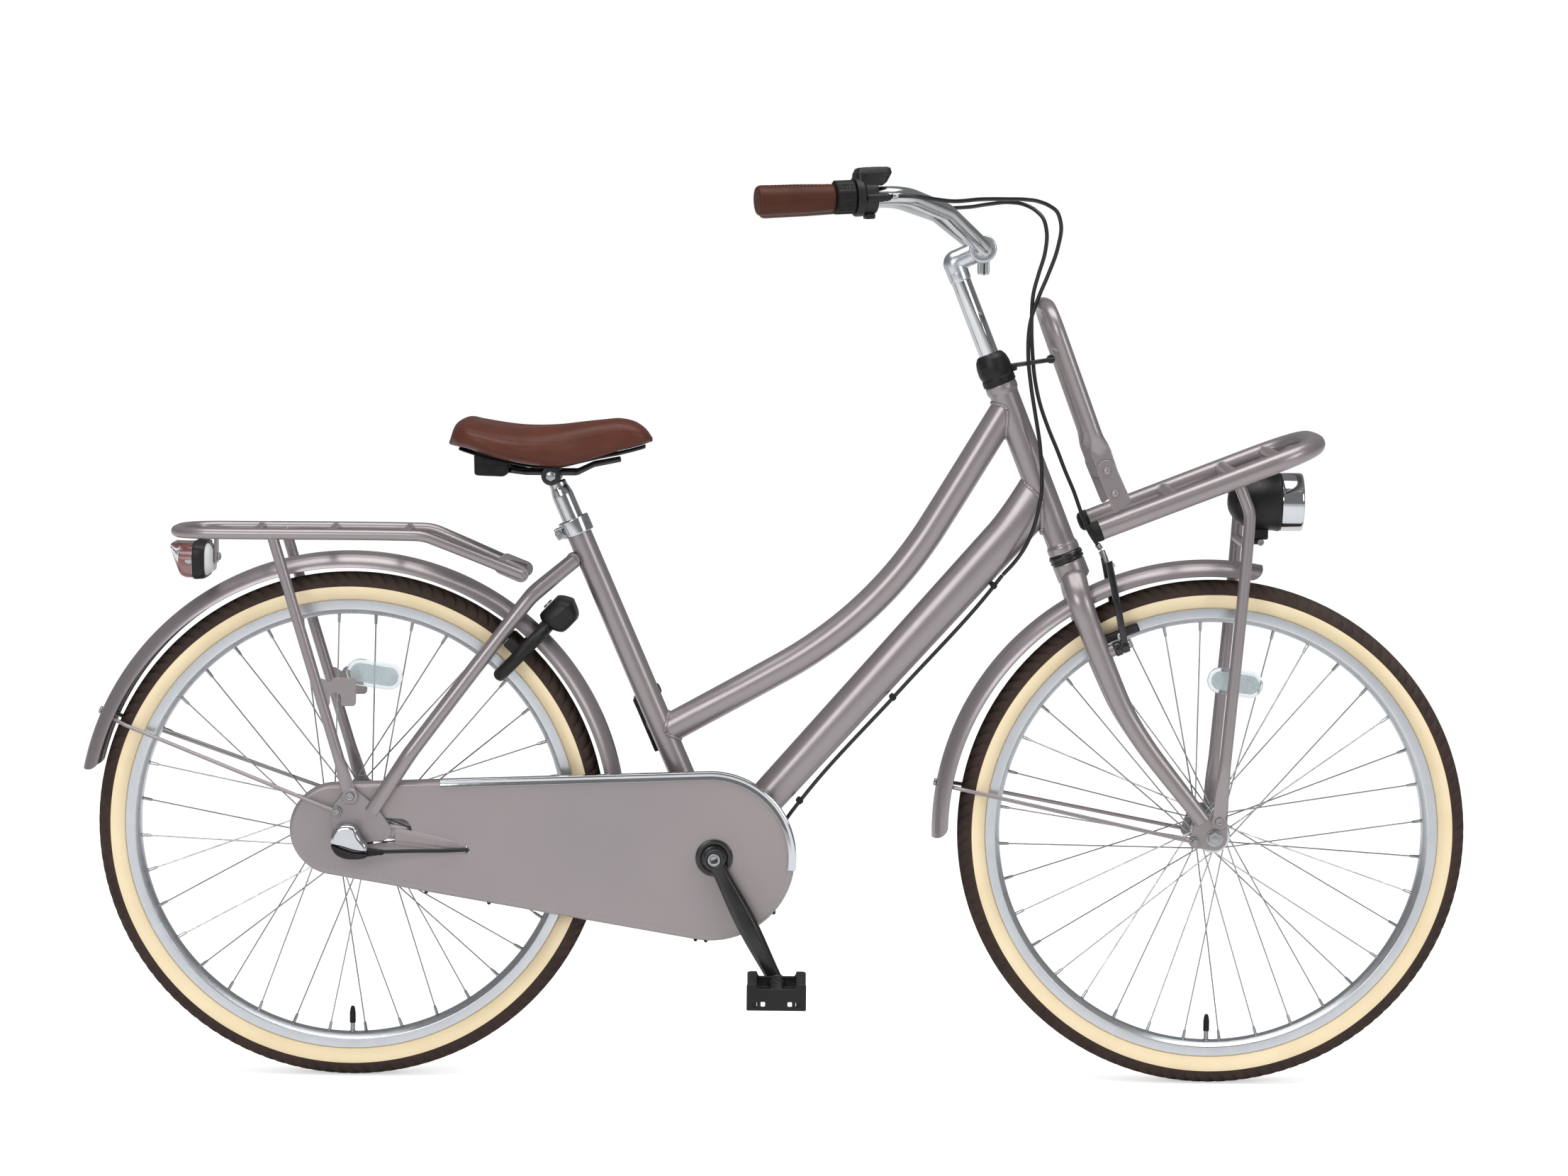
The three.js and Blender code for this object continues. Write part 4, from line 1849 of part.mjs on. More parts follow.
// The backrest: a loop of tube with a cross bar, and the hinge plates that stand on the rails.
function carrierBackrest() {
  const y = rackHalfWidth - hingePlateThickness;
  const foot = point(backrestFootX, y, backrestFootZ + backrestRadius);
  const half = [point(backrestTopX, 0, backrestTopZ), point(backrestTopX, y, backrestTopZ), foot];
  const loop = tube(bend([...mirrored(half).reverse().slice(0, -1), ...half.slice(1)], backrestCornerRadius, 3),
    backrestRadius, 8);
  const bar = backrestPoint(braceShare);
  const pieces = [loop, rod(point(bar.x, -y, bar.z), point(bar.x, y, bar.z), backrestRadius / 2, 6)];
  const lean = atan2(backrestFootX - backrestTopX, backrestTopZ - backrestFootZ);
  for (const side of [right, left]) {
    const outer = side * (y + backrestRadius / 2);
    const low = backrestFootZ - rackRadius / 2;
    const slab = plate(belt([0, 0, hingePlateWidth / 2], [0, hingePlateLength, hingePlateWidth / 2], 4),
      outer, outer + side * hingePlateThickness);
    pieces.push(slab.rotateY(-lean).translate(backrestFootX + hingePlateShift, 0, low));
  }
  const shape = join(...pieces);
  const railTools = [right, left].map((side) => {
    const rear = point(rackRearX - overrun, side * rackHalfWidth, rackRail(rackRearX - overrun));
    const tip = point(rackFrontX, side * rackHalfWidth, rackRail(rackFrontX));
    return rod(rear, tip, rackRadius + fit * 2, 12);
  });
  return cut(shape, ...railTools);
}

function headlamp() {
  const span = lampRingX - lampRearX;
  const shell = turnedOnX([
    [0, lampRearX], ...lampShellShares.map(([out, along]) => [lampRadius * out, lampRearX + span * along]),
    [lampRadius, lampRingX], [lampRadius, lampFrontX],
    [lampRadius - lampWall, lampFrontX], [lampRadius - lampWall, lampRingX], [0, lampRingX],
  ], 14).translate(0, 0, lampZ);
  const low = lampZ - lampRadius;
  const middle = mix(lampRearX, lampRingX, lampNeckShare);
  const neck = block(middle - lampBracketHalfWidth, middle + lampNeckFront, -lampBracketHalfWidth,
    lampBracketHalfWidth, low - lampNeckDrop, low + lampWall * 2);
  const arm = block(lampBarX + lampBarRadius + fit, middle, -lampBracketHalfWidth, lampBracketHalfWidth,
    lampBarZ - lampBarRadius / 2, lampBarZ + lampBarRadius / 2);
  return join(shell, neck, arm);
}

function headlampLens() {
  const radius = lampRadius - lampWall - fit * 2;
  const back = lampRingX + fit * 2;
  return turnedOnX([[0, back], [radius, back], [radius, lampFrontX - lampWall], [radius * lensFaceShare, lampFrontX],
    [0, lampFrontX + fit]], 14).translate(0, 0, lampZ);
}

const cord = (places) => tube(places.map((place) => point(...place)), cableRadius, 8);

// The rear length of gear cable with the clips that hold it under the down tube.
function rearShiftCable() {
  const start = point(downTubeStartX, 0, downTubeStartZ);
  const finish = point(downTubeEndX, 0, downTubeEndZ);
  const along = finish.clone().sub(start).normalize();
  const out = point(along.z, 0, -along.x);
  const clips = cableClipShares.map((share) => {
    const half = mix(downTubeStartRadius, downTubeEndHeight, share);
    const at = start.clone().lerp(finish, share).addScaledVector(out, half + fit * 3);
    const clip = block(-cableClipLength / 2, cableClipLength / 2, -cableClipWidth / 2, cableClipWidth / 2,
      0, cableClipHeight);
    const frame = new THREE.Matrix4().makeBasis(along, out.clone().cross(along), out).setPosition(at);
    return clip.applyMatrix4(frame);
  });
  return join(cord(shiftCableRear), ...clips);
}

// Assembly

const bike = new THREE.Group();
bike.name = 'dutch_city_bike';

function group(parent, x, y, z) {
  const child = new THREE.Group();
  child.position.set(x, y, z);
  parent.add(child);
  return child;
}

const frame = group(bike, 0, 0, 0);
add(frame, 'head_tube', headTube(), paint);
add(frame, 'top_tube', topTube(), paint);
add(frame, 'down_tube', downTube(), paint);
add(frame, 'seat_tube', seatTube(), paint);
add(frame, 'chainstays', chainStays(), paint);
add(frame, 'seatstays', seatStays(), paint);
add(frame, 'seat_clamp', seatClamp(), steel);
add(frame, 'lower_headset', lowerHeadset(), black);
const rearEnd = group(frame, 0, 0, tyreRadius);
add(rearEnd, 'rear_axle', axle(dropoutInner + dropoutThickness), steel);
add(rearEnd, 'rear_mudguard', cut(guard(rearGuardRadius, rearGuardStart, rearGuardEnd, 23),
  guardHole(rearGuardRadius, rearGuardStayPlace)), paint);
add(rearEnd, 'rear_mudguard_stay', guardStay(rearGuardRadius, rearGuardStayPlace, guardBoltX,
  guardBoltZ - tyreRadius, dropoutInner + dropoutThickness), paint);
add(frame, 'rear_carrier', rearCarrier(), paint);
add(frame, 'tail_lamp', tailLamp(), black);
add(frame, 'tail_lamp_lens', tailLampLens(), redLens);
add(frame, 'chain_case', chainCase(), casePaint);
add(frame, 'chain_case_back', chainCaseBack(), casePaint);
add(frame, 'chain_case_trim', chainCaseTrim(), chrome);
add(frame, 'chain', chain(), steel);
add(frame, 'gear_selector_box', gearSelectorBox(), steel);
add(frame, 'rear_shift_cable', rearShiftCable(), black);

const lock = group(frame, lockPlaceRadius * cos(lockAngle), 0, tyreRadius + lockPlaceRadius * sin(lockAngle));
lock.rotation.y = PI / 2 - lockAngle;
add(lock, 'ring_lock', ringLock(), black);
add(lock, 'ring_lock_bolt', ringLockBolt(), steel);

const seat = group(frame, 0, 0, 0);
add(seat, 'seat_post', seatPost(), chrome);
add(seat, 'saddle_rails', saddleRails(), black);
add(seat, 'saddle_base', saddleBase(), black);
add(seat, 'saddle', saddle(), brown);

const crank = group(frame, bracketX, 0, bracketZ);
add(crank, 'crank_axle', crankAxle(), steel);
add(crank, 'right_crank', rightCrank(), black);
add(crank, 'left_crank', leftCrank(), black);
const pedalX = crankLength * sin(crankAngle);
const pedalZ = -crankLength * cos(crankAngle);
add(group(crank, pedalX, 0, pedalZ), 'right_pedal', pedal(right), black);
const leftPedalHolder = group(crank, -pedalX, 0, -pedalZ);
leftPedalHolder.rotation.y = atan2(seatDirection.z, -seatDirection.x);
add(leftPedalHolder, 'left_pedal', pedal(left), black);

const rearHub = group(frame, 0, 0, tyreRadius);
add(rearHub, 'rear_sprocket', sprocket(), steel);
const rearWheel = group(frame, 0, 0, tyreRadius);
addWheel(rearWheel, 'rear', [rearHubHalfLength, rearFlangePlace, rearFlangeRadius, rearShellRadius],
  rearReflectorTurn);

const sideStand = group(frame, standPivotX, standPivotY, standPivotZ);
add(sideStand, 'kickstand', kickstand(), black);

const steering = group(bike, headFootX, 0, headFootZ);
const front = group(steering, -headFootX, 0, -headFootZ);
add(front, 'fork', fork(), paint);
add(front, 'headset_cap', headsetCap(), black);
add(front, 'stem', stem(), chrome);
add(front, 'handlebar', handlebar(), chrome);
add(front, 'right_grip', grip(right, rightGripLength), brown);
add(front, 'left_grip', grip(left, leftGripLength), brown);
add(front, 'shifter_housing', setOnBar(shifterHousing(), right, rightGripLength + sleeveLength), black);
add(front, 'brake_lever_bracket', setOnBar(leverBracket(), left, leftGripLength + overrun), black);
add(front, 'front_brake_cable', cord(brakeCableFront), black);
add(front, 'front_shift_cable', cord(shiftCableFront), black);
add(front, 'front_carrier', frontCarrier(), paint);
add(front, 'carrier_backrest', carrierBackrest(), paint);
add(front, 'headlamp', headlamp(), black);
add(front, 'headlamp_lens', headlampLens(), clearLens);
add(group(front, wheelBase, 0, tyreRadius), 'front_axle', axle(forkDropoutInner + forkDropoutThickness), steel);
const frontGuard = group(front, wheelBase - frontGuardShift, 0, tyreRadius);
add(frontGuard, 'front_mudguard', cut(join(guard(frontGuardRadius, frontGuardStart, frontGuardEnd, 15),
  guardBracket()), guardHole(frontGuardRadius, frontGuardStayPlace)), paint);
add(frontGuard, 'front_mudguard_stay', guardStay(frontGuardRadius, frontGuardStayPlace,
  frontGuardBoltX - wheelBase + frontGuardShift, frontGuardBoltZ - tyreRadius,
  forkDropoutInner + forkDropoutThickness), paint);
const sleeve = group(front, 0, 0, 0);
add(sleeve, 'shift_grip', setOnBar(shiftGrip(), right, rightGripLength), rubber);
const lever = group(front, 0, 0, 0);
add(lever, 'brake_lever', setOnBar(brakeLever().translate(0, leverPivotReach, leverPivotAlong), left,
  leftGripLength + overrun), steel);
for (const side of [right, left]) {
  const arm = group(front, brakePivotX, side * brakePivotY, brakePivotZ);
  arm.rotation.y = headAngle - PI / 2;
  add(arm, side === left ? 'left_brake_arm' : 'right_brake_arm', brakeArm(side), black);
}
const frontWheel = group(front, wheelBase, 0, tyreRadius);
addWheel(frontWheel, 'front', [frontHubHalfLength, frontFlangePlace, frontFlangeRadius, frontShellRadius],
  frontReflectorTurn);

bike.updateMatrixWorld(true);
const bounds = new THREE.Box3().setFromObject(bike, true);
const middle = bounds.getCenter(new THREE.Vector3());
bike.position.set(-middle.x, -middle.y, -bounds.min.z);

export default bike;
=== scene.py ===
from math import atan2, cos, hypot, pi, radians, sin, tan

import bmesh
import bpy
import numpy as np
from mathutils import Matrix, Vector, geometry


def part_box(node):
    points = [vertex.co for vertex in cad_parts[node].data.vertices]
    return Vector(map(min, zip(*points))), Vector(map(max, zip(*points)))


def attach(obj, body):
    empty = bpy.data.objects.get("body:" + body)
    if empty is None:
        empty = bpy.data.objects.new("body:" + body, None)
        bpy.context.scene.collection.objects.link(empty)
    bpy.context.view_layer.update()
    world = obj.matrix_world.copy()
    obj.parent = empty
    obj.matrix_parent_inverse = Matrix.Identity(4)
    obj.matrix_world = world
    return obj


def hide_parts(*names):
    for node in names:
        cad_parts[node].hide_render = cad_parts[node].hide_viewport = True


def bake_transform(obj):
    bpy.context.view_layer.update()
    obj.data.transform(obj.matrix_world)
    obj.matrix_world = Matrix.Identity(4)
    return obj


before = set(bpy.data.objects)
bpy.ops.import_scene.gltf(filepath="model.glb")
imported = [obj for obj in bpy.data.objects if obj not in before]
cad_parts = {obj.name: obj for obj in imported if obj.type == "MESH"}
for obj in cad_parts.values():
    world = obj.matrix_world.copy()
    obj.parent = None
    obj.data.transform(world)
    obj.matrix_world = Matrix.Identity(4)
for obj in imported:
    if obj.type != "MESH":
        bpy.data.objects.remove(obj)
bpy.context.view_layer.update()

# Lengths below are in millimetres from the ground under the rear axle: X forward, Y to the rider's left, Z up.
axleHeight, wheelBase = 326.0, 1100
tyreLow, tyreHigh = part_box("rear_tyre")
origin = (np.array(tyreLow) + np.array(tyreHigh)) / 2 - [0, 0, axleHeight / 1000]
print("frame loaded")

left, right = 1, -1
sides = (right, left)
axisX, axisY, axisZ = np.eye(3)


def unit(v):  # each direction divided by its own length
    v = np.asarray(v, float)
    return v / np.linalg.norm(v, axis=-1, keepdims=True)


def at(*place):  # a point, or a table of rows
    return np.array(place, float)


def mix(a, b, share):  # a, plus the share of the way to b
    return a + (b - a) * share


# A slope from 0 to 1 that starts at `start`, takes `width` and is flat at both ends: 3 x^2 - 2 x^3.
def eased(value, start, width):
    x = np.clip((value - start) / width, 0, 1)
    return x * x * (3 - 2 * x)


# The value's size to a power, with its sign kept; on a sine and a cosine this squares up a circle.
def powered(value, power):
    return np.sign(value) * np.abs(value) ** power


# Each value becomes the mean of itself and `reach` neighbours to each side.
def averaged(values, reach=4):
    span = 2 * reach + 1
    return np.convolve(np.pad(values, reach, mode="edge"), np.ones(span) / span, "valid")


def distances(path):  # from the first point along the path to each point
    return np.r_[0, np.cumsum(np.linalg.norm(np.diff(path, axis=0), axis=1))]


def joinedUp(outline):  # the first point again at the end
    return np.vstack([outline, outline[:1]])


def shares(path):  # 0 to 1 over the path's points
    return np.linspace(0, 1, len(path))


def placeAt(distance, along, path):  # a path's points at the given distances, by straight lines
    return np.stack([np.interp(distance, along, column) for column in path.T], -1)


def gridOf(*values):  # arrays of one coordinate each, stretched to one grid of points
    return np.stack(np.broadcast_arrays(*values), -1)


def addObject(name, data):  # a new object, linked into the scene
    made = bpy.data.objects.new(name, data)
    bpy.context.collection.objects.link(made)
    return made


# A shape is a pair of an array of points and a list of faces.

def squareTo(along):  # a direction well away from `along`
    return axisX if abs(along[0]) < 0.7 else axisZ


# Neighbouring rings of points are joined by four-sided faces; open ends get one face each.
def ringShape(rings, looped=False):
    n, m = rings.shape[:2]
    i = np.arange(n if looped else n - 1)[:, None] * np.ones((1, m), int)
    j = np.arange(m)[None, :]
    k, l = (i + 1) % n, (j + 1) % m
    faces = np.stack([i * m + j, k * m + j, k * m + l, i * m + l], -1).reshape(-1, 4).tolist()
    if not looped:
        faces += [list(range(m))[::-1], list(range((n - 1) * m, n * m))]
    return rings.reshape(-1, 3), faces


# An outline of (across, up) pairs is carried along a path; across is `side` made square to the path.
def carry(path, outline, side, looped=False):
    path = np.asarray(path, float)
    if looped:
        ahead = unit(np.roll(path, -1, 0) - np.roll(path, 1, 0))
    else:
        ahead = unit(np.gradient(path, axis=0))
    side = np.asarray(side, float)
    across = unit(side - (ahead @ side)[:, None] * ahead)
    up = np.cross(ahead, across)
    outline = np.broadcast_to(outline, (len(path), *np.shape(outline)[-2:]))
    rings = path[:, None] + across[:, None] * outline[..., :1] + up[:, None] * outline[..., 1:]
    return ringShape(rings, looped)


# Points round an ellipse; the half sizes may be one value for each station of a path.
def oval(halfWidth, halfHeight, count=32):
    turn = np.arange(count) / count * 2 * pi
    width, height = np.atleast_1d(halfWidth)[:, None], np.atleast_1d(halfHeight)[:, None]
    return gridOf(width * np.cos(turn), height * np.sin(turn))


# A round tube; `edge` rounds its two ends by a quarter circle of that radius.
def tube(path, radius, side=axisY, count=28, edge=0.0, looped=False):
    path = np.asarray(path, float)
    radius = np.broadcast_to(np.asarray(radius, float), len(path)).copy()
    if edge and not looped:
        turn = np.linspace(0, pi / 2, 5)
        inset, grow = edge * (1 - np.cos(turn)), edge * np.sin(turn)
        for _ in range(2):
            ahead = unit(path[1] - path[0])
            path = np.vstack([path[0] + inset[:, None] * ahead, path[1:]])
            radius = np.r_[radius[0] - edge + grow, radius[1:]]
            path, radius = path[::-1], radius[::-1]
    return carry(path, oval(radius, radius, count), side, looped)


def rod(foot, tip, radius, count=20, edge=0.6):  # a straight tube between two points
    foot, tip = np.asarray(foot, float), np.asarray(tip, float)
    return tube([foot, tip], radius, squareTo(unit(tip - foot)), count, edge)


# A path through corners, each rounded by a curve that starts and ends radius x tan(half the turn) away.
def bent(corners, radius, steps=12):
    corners = [np.asarray(c, float) for c in corners]
    path = [corners[0][None]]
    share = np.linspace(0, 1, steps + 1)[:, None]
    for before, here, after in zip(corners, corners[1:], corners[2:]):
        back, on = before - here, after - here
        turn = pi - np.arccos(np.clip(unit(back) @ unit(on), -1, 1))
        reach = min(radius * tan(turn / 2), np.linalg.norm(back) / 2, np.linalg.norm(on) / 2)
        start, finish = here + unit(back) * reach, here + unit(on) * reach
        path.append((1 - share) ** 2 * start + 2 * share * (1 - share) * here + share ** 2 * finish)
    path = np.vstack([*path, corners[-1][None]])
    far = np.linalg.norm(np.diff(path, axis=0), axis=1) > 0.3
    return path[np.r_[True, far]]


# A smooth line through given points: cubic pieces whose slopes follow the neighbours.
def through(points, step):
    p = np.asarray(points, float)
    t = distances(p)
    slope = np.gradient(p, t, axis=0)
    s = np.linspace(0, t[-1], max(int(t[-1] / step), 2) + 1)
    k = np.clip(np.searchsorted(t, s, side="right") - 1, 0, len(t) - 2)
    h = (t[k + 1] - t[k])[:, None]
    u = (s - t[k])[:, None] / h
    return ((2 * u ** 3 - 3 * u ** 2 + 1) * p[k] + (u ** 3 - 2 * u ** 2 + u) * h * slope[k]
            + (3 * u ** 2 - 2 * u ** 3) * p[k + 1] + (u ** 3 - u ** 2) * h * slope[k + 1])


# A flat outline whose corners are rounded by short curves that start `edge` before each corner.
def softened(profile, edge, steps=3, closed=False):
    p = np.asarray(profile, float)
    before, after = np.roll(p, 1, 0), np.roll(p, -1, 0)
    toBefore, toAfter = before - p, after - p
    reachBefore = np.minimum(edge, np.linalg.norm(toBefore, axis=1) / 2.2)[:, None]
    reachAfter = np.minimum(edge, np.linalg.norm(toAfter, axis=1) / 2.2)[:, None]
    start = p + toBefore / np.maximum(np.linalg.norm(toBefore, axis=1), 1e-6)[:, None] * reachBefore
    finish = p + toAfter / np.maximum(np.linalg.norm(toAfter, axis=1), 1e-6)[:, None] * reachAfter
    u = np.linspace(0, 1, steps + 1)[None, :, None]
    rounded = (1 - u) ** 2 * start[:, None] + 2 * u * (1 - u) * p[:, None] + u ** 2 * finish[:, None]
    if closed:
        return rounded.reshape(-1, 2)
    return np.vstack([p[:1], rounded[1:-1].reshape(-1, 2), p[-1:]])


# (radius, height) pairs are turned about an axis; a hollow one closes on itself, a full one on the axis.
def turned(profile, foot, along, count=48, hollow=False):
    profile = np.asarray(profile, float)
    along = unit(along)
    across = unit(np.cross(along, squareTo(along)))
    other = np.cross(along, across)
    turn = np.arange(count)[:, None] / count * 2 * pi
    spoke = np.cos(turn) * across + np.sin(turn) * other
    rings = np.asarray(foot, float) + profile[:, 1, None, None] * along + profile[:, 0, None, None] * spoke
    return ringShape(rings, hollow)


# A softened outline of (radius, height) pairs is turned; a hollow one is closed before it is softened.
def lathe(outline, edge, steps, foot, along, count, hollow=True):
    return turned(softened(outline, edge, steps, hollow), foot, along, count, hollow)


# The closed profile of a ring from one height to another; its outer corners are cut by (radius, height).
def ringProfile(bore, radius, low, high, cutRadius, cutHeight):
    return [(bore, low), (radius - cutRadius, low), (radius, low + cutHeight), (radius, high - cutHeight),
            (radius - cutRadius, high), (bore, high)]


# A flat plate with rounded edges, from an outline of (x, z) pairs, between two places across the bike.
def slab(outline, fromY, toY, holes=(), edge=0.8):
    thickness = abs(toY - fromY)
    edge = min(edge, thickness * 0.45)
    curve = bpy.data.curves.new("outline", "CURVE")
    curve.dimensions = "2D"
    curve.fill_mode = "BOTH"
    curve.extrude = thickness / 2 - edge
    curve.bevel_depth = edge
    curve.bevel_resolution = 2
    curve.offset = -edge
    for line in (outline, *holes):
        line = np.asarray(line, float)
        spline = curve.splines.new("POLY")
        spline.points.add(len(line) - 1)
        spline.points.foreach_set("co", np.c_[line, line[:, 0] * 0, line[:, 0] * 0 + 1].ravel())
        spline.use_cyclic_u = True
    holder = addObject("outline", curve)
    mesh = bpy.data.meshes.new_from_object(holder.evaluated_get(bpy.context.evaluated_depsgraph_get()))
    points = np.zeros(len(mesh.vertices) * 3, np.float32)
    mesh.vertices.foreach_get("co", points)
    faces = [list(face.vertices) for face in mesh.polygons]
    bpy.data.objects.remove(holder)
    bpy.data.meshes.remove(mesh)
    x, y, z = points.reshape(-1, 3).astype(float).T
    return np.stack([x, (fromY + toY) / 2 - z, y], -1), faces


def arc(x, z, radius, start, end, steps):  # x + radius cos, z + radius sin
    turn = np.linspace(start, end, steps + 1)
    return np.stack([x + radius * np.cos(turn), z + radius * np.sin(turn)], -1)


def circle(x, z, radius, count=40):  # a whole turn of an arc, its last point left off
    return arc(x, z, radius, 0, 2 * pi, count)[:-1]


# The outline of a belt round two circles of (x, z, radius).
def belt(first, second, steps=24):
    (x1, z1, r1), (x2, z2, r2) = first, second
    line = atan2(z2 - z1, x2 - x1)
    touch = np.arccos((r1 - r2) / hypot(x2 - x1, z2 - z1))
    return np.vstack([arc(x2, z2, r2, line - touch, line + touch, steps),
                      arc(x1, z1, r1, line + touch, line + 2 * pi - touch, steps)])


# The outline drawn tight round several circles: the farthest point in each of many directions, hull order.
def around(circles, count=40):
    places = np.vstack([circle(*c, count) for c in circles])
    places = places[np.lexsort((places[:, 1], places[:, 0]))]
    turns = lambda a, b, c: (b[0] - a[0]) * (c[1] - a[1]) - (b[1] - a[1]) * (c[0] - a[0])

    def border(line):
        kept = []
        for place in line:
            while len(kept) > 1 and turns(kept[-2], kept[-1], place) <= 1e-9:
                kept.pop()
            kept.append(place)
        return kept[:-1]

    return np.array(border(places) + border(places[::-1]))


# A block with rounded edges: a slab across Y whose outline is a softened rectangle.
def box(low, high, edge=0.8):
    (x1, y1, z1), (x2, y2, z2) = low, high
    outline = softened([(x1, z1), (x2, z1), (x2, z2), (x1, z2)], edge * 1.4, closed=True)
    return slab(outline, y1, y2, edge=edge)


def moved(shape, matrix=None, shift=(0, 0, 0)):  # turned by the matrix, then shifted
    points, faces = shape
    if matrix is not None:
        points = points @ np.asarray(matrix, float).T
    return points + np.asarray(shift, float), faces


def mirrored(shape):  # to the bike's other side
    return shape[0] * [1, -1, 1], shape[1]


def turnAbout(axis, angle):  # a turn as a 3 x 3 array
    return np.array(Matrix.Rotation(angle, 3, axis))


# A turn that lays local Z and X on two directions; X is made square to Z first.
def basis(alongZ, alongX):
    z = unit(alongZ)
    x = unit(np.asarray(alongX, float) - (np.asarray(alongX, float) @ z) * z)
    return np.stack([x, np.cross(z, x), z], -1)


# Upright rings at each x: half width x cosine and middle + tall x sine, both raised to a power.
def squareRings(x, half, middle, tall, power, count, offset=0.0):
    turn = (np.arange(count) + offset) / count * 2 * pi
    x, half, middle, tall = (v[:, None] for v in (x, half, middle, tall))
    y, z = half * powered(np.cos(turn), power), middle + tall * powered(np.sin(turn), power)
    return ringShape(gridOf(x, y, z))


# A six-sided nut with a round chamfer at both faces.
def hexNut(foot, along, radius, height):
    return turned([(radius * 0.86, 0), (radius, height * 0.12), (radius, height * 0.88), (radius * 0.86, height)],
                  foot, along, 6)


# A round cap screw: a domed head with a six-sided hollow in its face.
def bolt(foot, along, radius, height, recess=True):
    profile = [(radius * 0.94, 0), (radius, height * 0.1), (radius, height * 0.7), (radius * 0.86, height)]
    if recess:
        profile += [(radius * 0.56, height), (radius * 0.5, height * 0.94), (radius * 0.5, height * 0.45)]
    return turned(profile, foot, along, 24)


# A ripple of weld where a tube's skin meets a round tube: each line of the skin is followed from `foot`
# until its distance from the other tube's axis is that tube's radius.
def weldBead(foot, along, radii, axisPoint, axisAlong, axisRadius, bead=2.4, side=axisY):
    along, axisAlong = unit(along), unit(axisAlong)
    across = unit(np.asarray(side, float) - (np.asarray(side, float) @ along) * along)
    up = np.cross(along, across)
    turn = np.arange(120)[:, None] / 120 * 2 * pi
    start = foot + radii[0] * np.cos(turn) * across + radii[1] * np.sin(turn) * up - axisPoint
    flatStart = start - (start @ axisAlong)[:, None] * axisAlong
    flatAlong = along - (along @ axisAlong) * axisAlong
    a, b = flatAlong @ flatAlong, flatStart @ flatAlong
    c = (flatStart ** 2).sum(1) - axisRadius ** 2
    reach = (-b - np.sqrt(np.maximum(b * b - a * c, 0))) / a
    seam = start + axisPoint + reach[:, None] * along
    ripple = bead * (1 + 0.1 * np.cos(turn[:, 0] * 40))
    return carry(seam, oval(ripple, ripple, 10), unit(axisAlong + along * 0.01), looped=True)


# One mesh from pairs of a shape, or a list of shapes, and a finish, set in the row frame on its CAD body.
def addPiece(name, body, replaces, parts, smooth=32):
    points, faces, owners, materials = [], [], [], []
    start = 0
    for shapes, material in parts:
        if material not in materials:
            materials.append(material)
        for shapePoints, shapeFaces in shapes if isinstance(shapes, list) else [shapes]:
            points.append(shapePoints)
            faces += [[v + start for v in face] for face in shapeFaces]
            owners += [materials.index(material)] * len(shapeFaces)
            start += len(shapePoints)
    mesh = bpy.data.meshes.new(name)
    mesh.from_pydata(np.vstack(points) / 1000 + origin, [], faces)
    for material in materials:
        mesh.materials.append(material)
    mesh.polygons.foreach_set("material_index", owners)
    tidy = bmesh.new()
    tidy.from_mesh(mesh)
    bmesh.ops.recalc_face_normals(tidy, faces=tidy.faces)
    tidy.to_mesh(mesh)
    tidy.free()
    mesh.shade_smooth()
    mesh.set_sharp_from_angle(angle=radians(smooth))
    piece = addObject(name, mesh)
    if body:
        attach(piece, body)
    if replaces:
        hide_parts(*replaces)
    return piece


# Finishes. Each effect that several finishes share is one group that puts out a value or a normal's height.

numberSocket, placeSocket = "NodeSocketFloat", "NodeSocketVector"


# A new shader node whose inputs are linked to sockets or set to values; one of its outputs comes back.
def node(tree, kind, inputs=None, output=0, **settings):
    made = tree.nodes.new("ShaderNode" + kind)
    for key, value in settings.items():
        setattr(made, key, value)
    for key, value in (inputs or {}).items():
        if isinstance(value, bpy.types.NodeSocket):
            tree.links.new(value, made.inputs[key])
        else:
            made.inputs[key].default_value = value
    return made.outputs[output]


# A node group with its inputs and one output; `close` links the output and gives the group back.
def newGroup(name, inputs, output):
    group = bpy.data.node_groups.new(name, "ShaderNodeTree")
    for key, kind, value in inputs:
        socket = group.interface.new_socket(key, in_out="INPUT", socket_type=kind)
        if value is not None:
            socket.default_value = value
    group.interface.new_socket(output, in_out="OUTPUT", socket_type=numberSocket)
    given, result = group.nodes.new("NodeGroupInput"), group.nodes.new("NodeGroupOutput")

    def close(value):
        group.links.new(value, result.inputs[0])
        return group

    return group, given.outputs, close


def makeCloudGroup():  # soft patches: noise stretched to the full range
    group, given, close = newGroup("cloud", [("Place", placeSocket, None), ("Scale", numberSocket, 8.0)], "Value")
    coarse = node(group, "TexNoise", {"Vector": given[0], "Scale": given[1], "Detail": 6.0})
    return close(node(group, "MapRange", {0: coarse, 1: 0.32, 2: 0.68}))


def makeGrainGroup():  # fine pits: noise mixed with small cells
    group, given, close = newGroup("grain", [("Place", placeSocket, None), ("Scale", numberSocket, 900.0),
                                             ("Cells", numberSocket, 0.5)], "Value")
    noise = node(group, "TexNoise", {"Vector": given[0], "Scale": given[1], "Detail": 3.0})
    cells = node(group, "TexVoronoi", {"Vector": given[0], "Scale": given[1]})
    return close(node(group, "Mix", {0: given[2], 2: noise, 3: cells}))


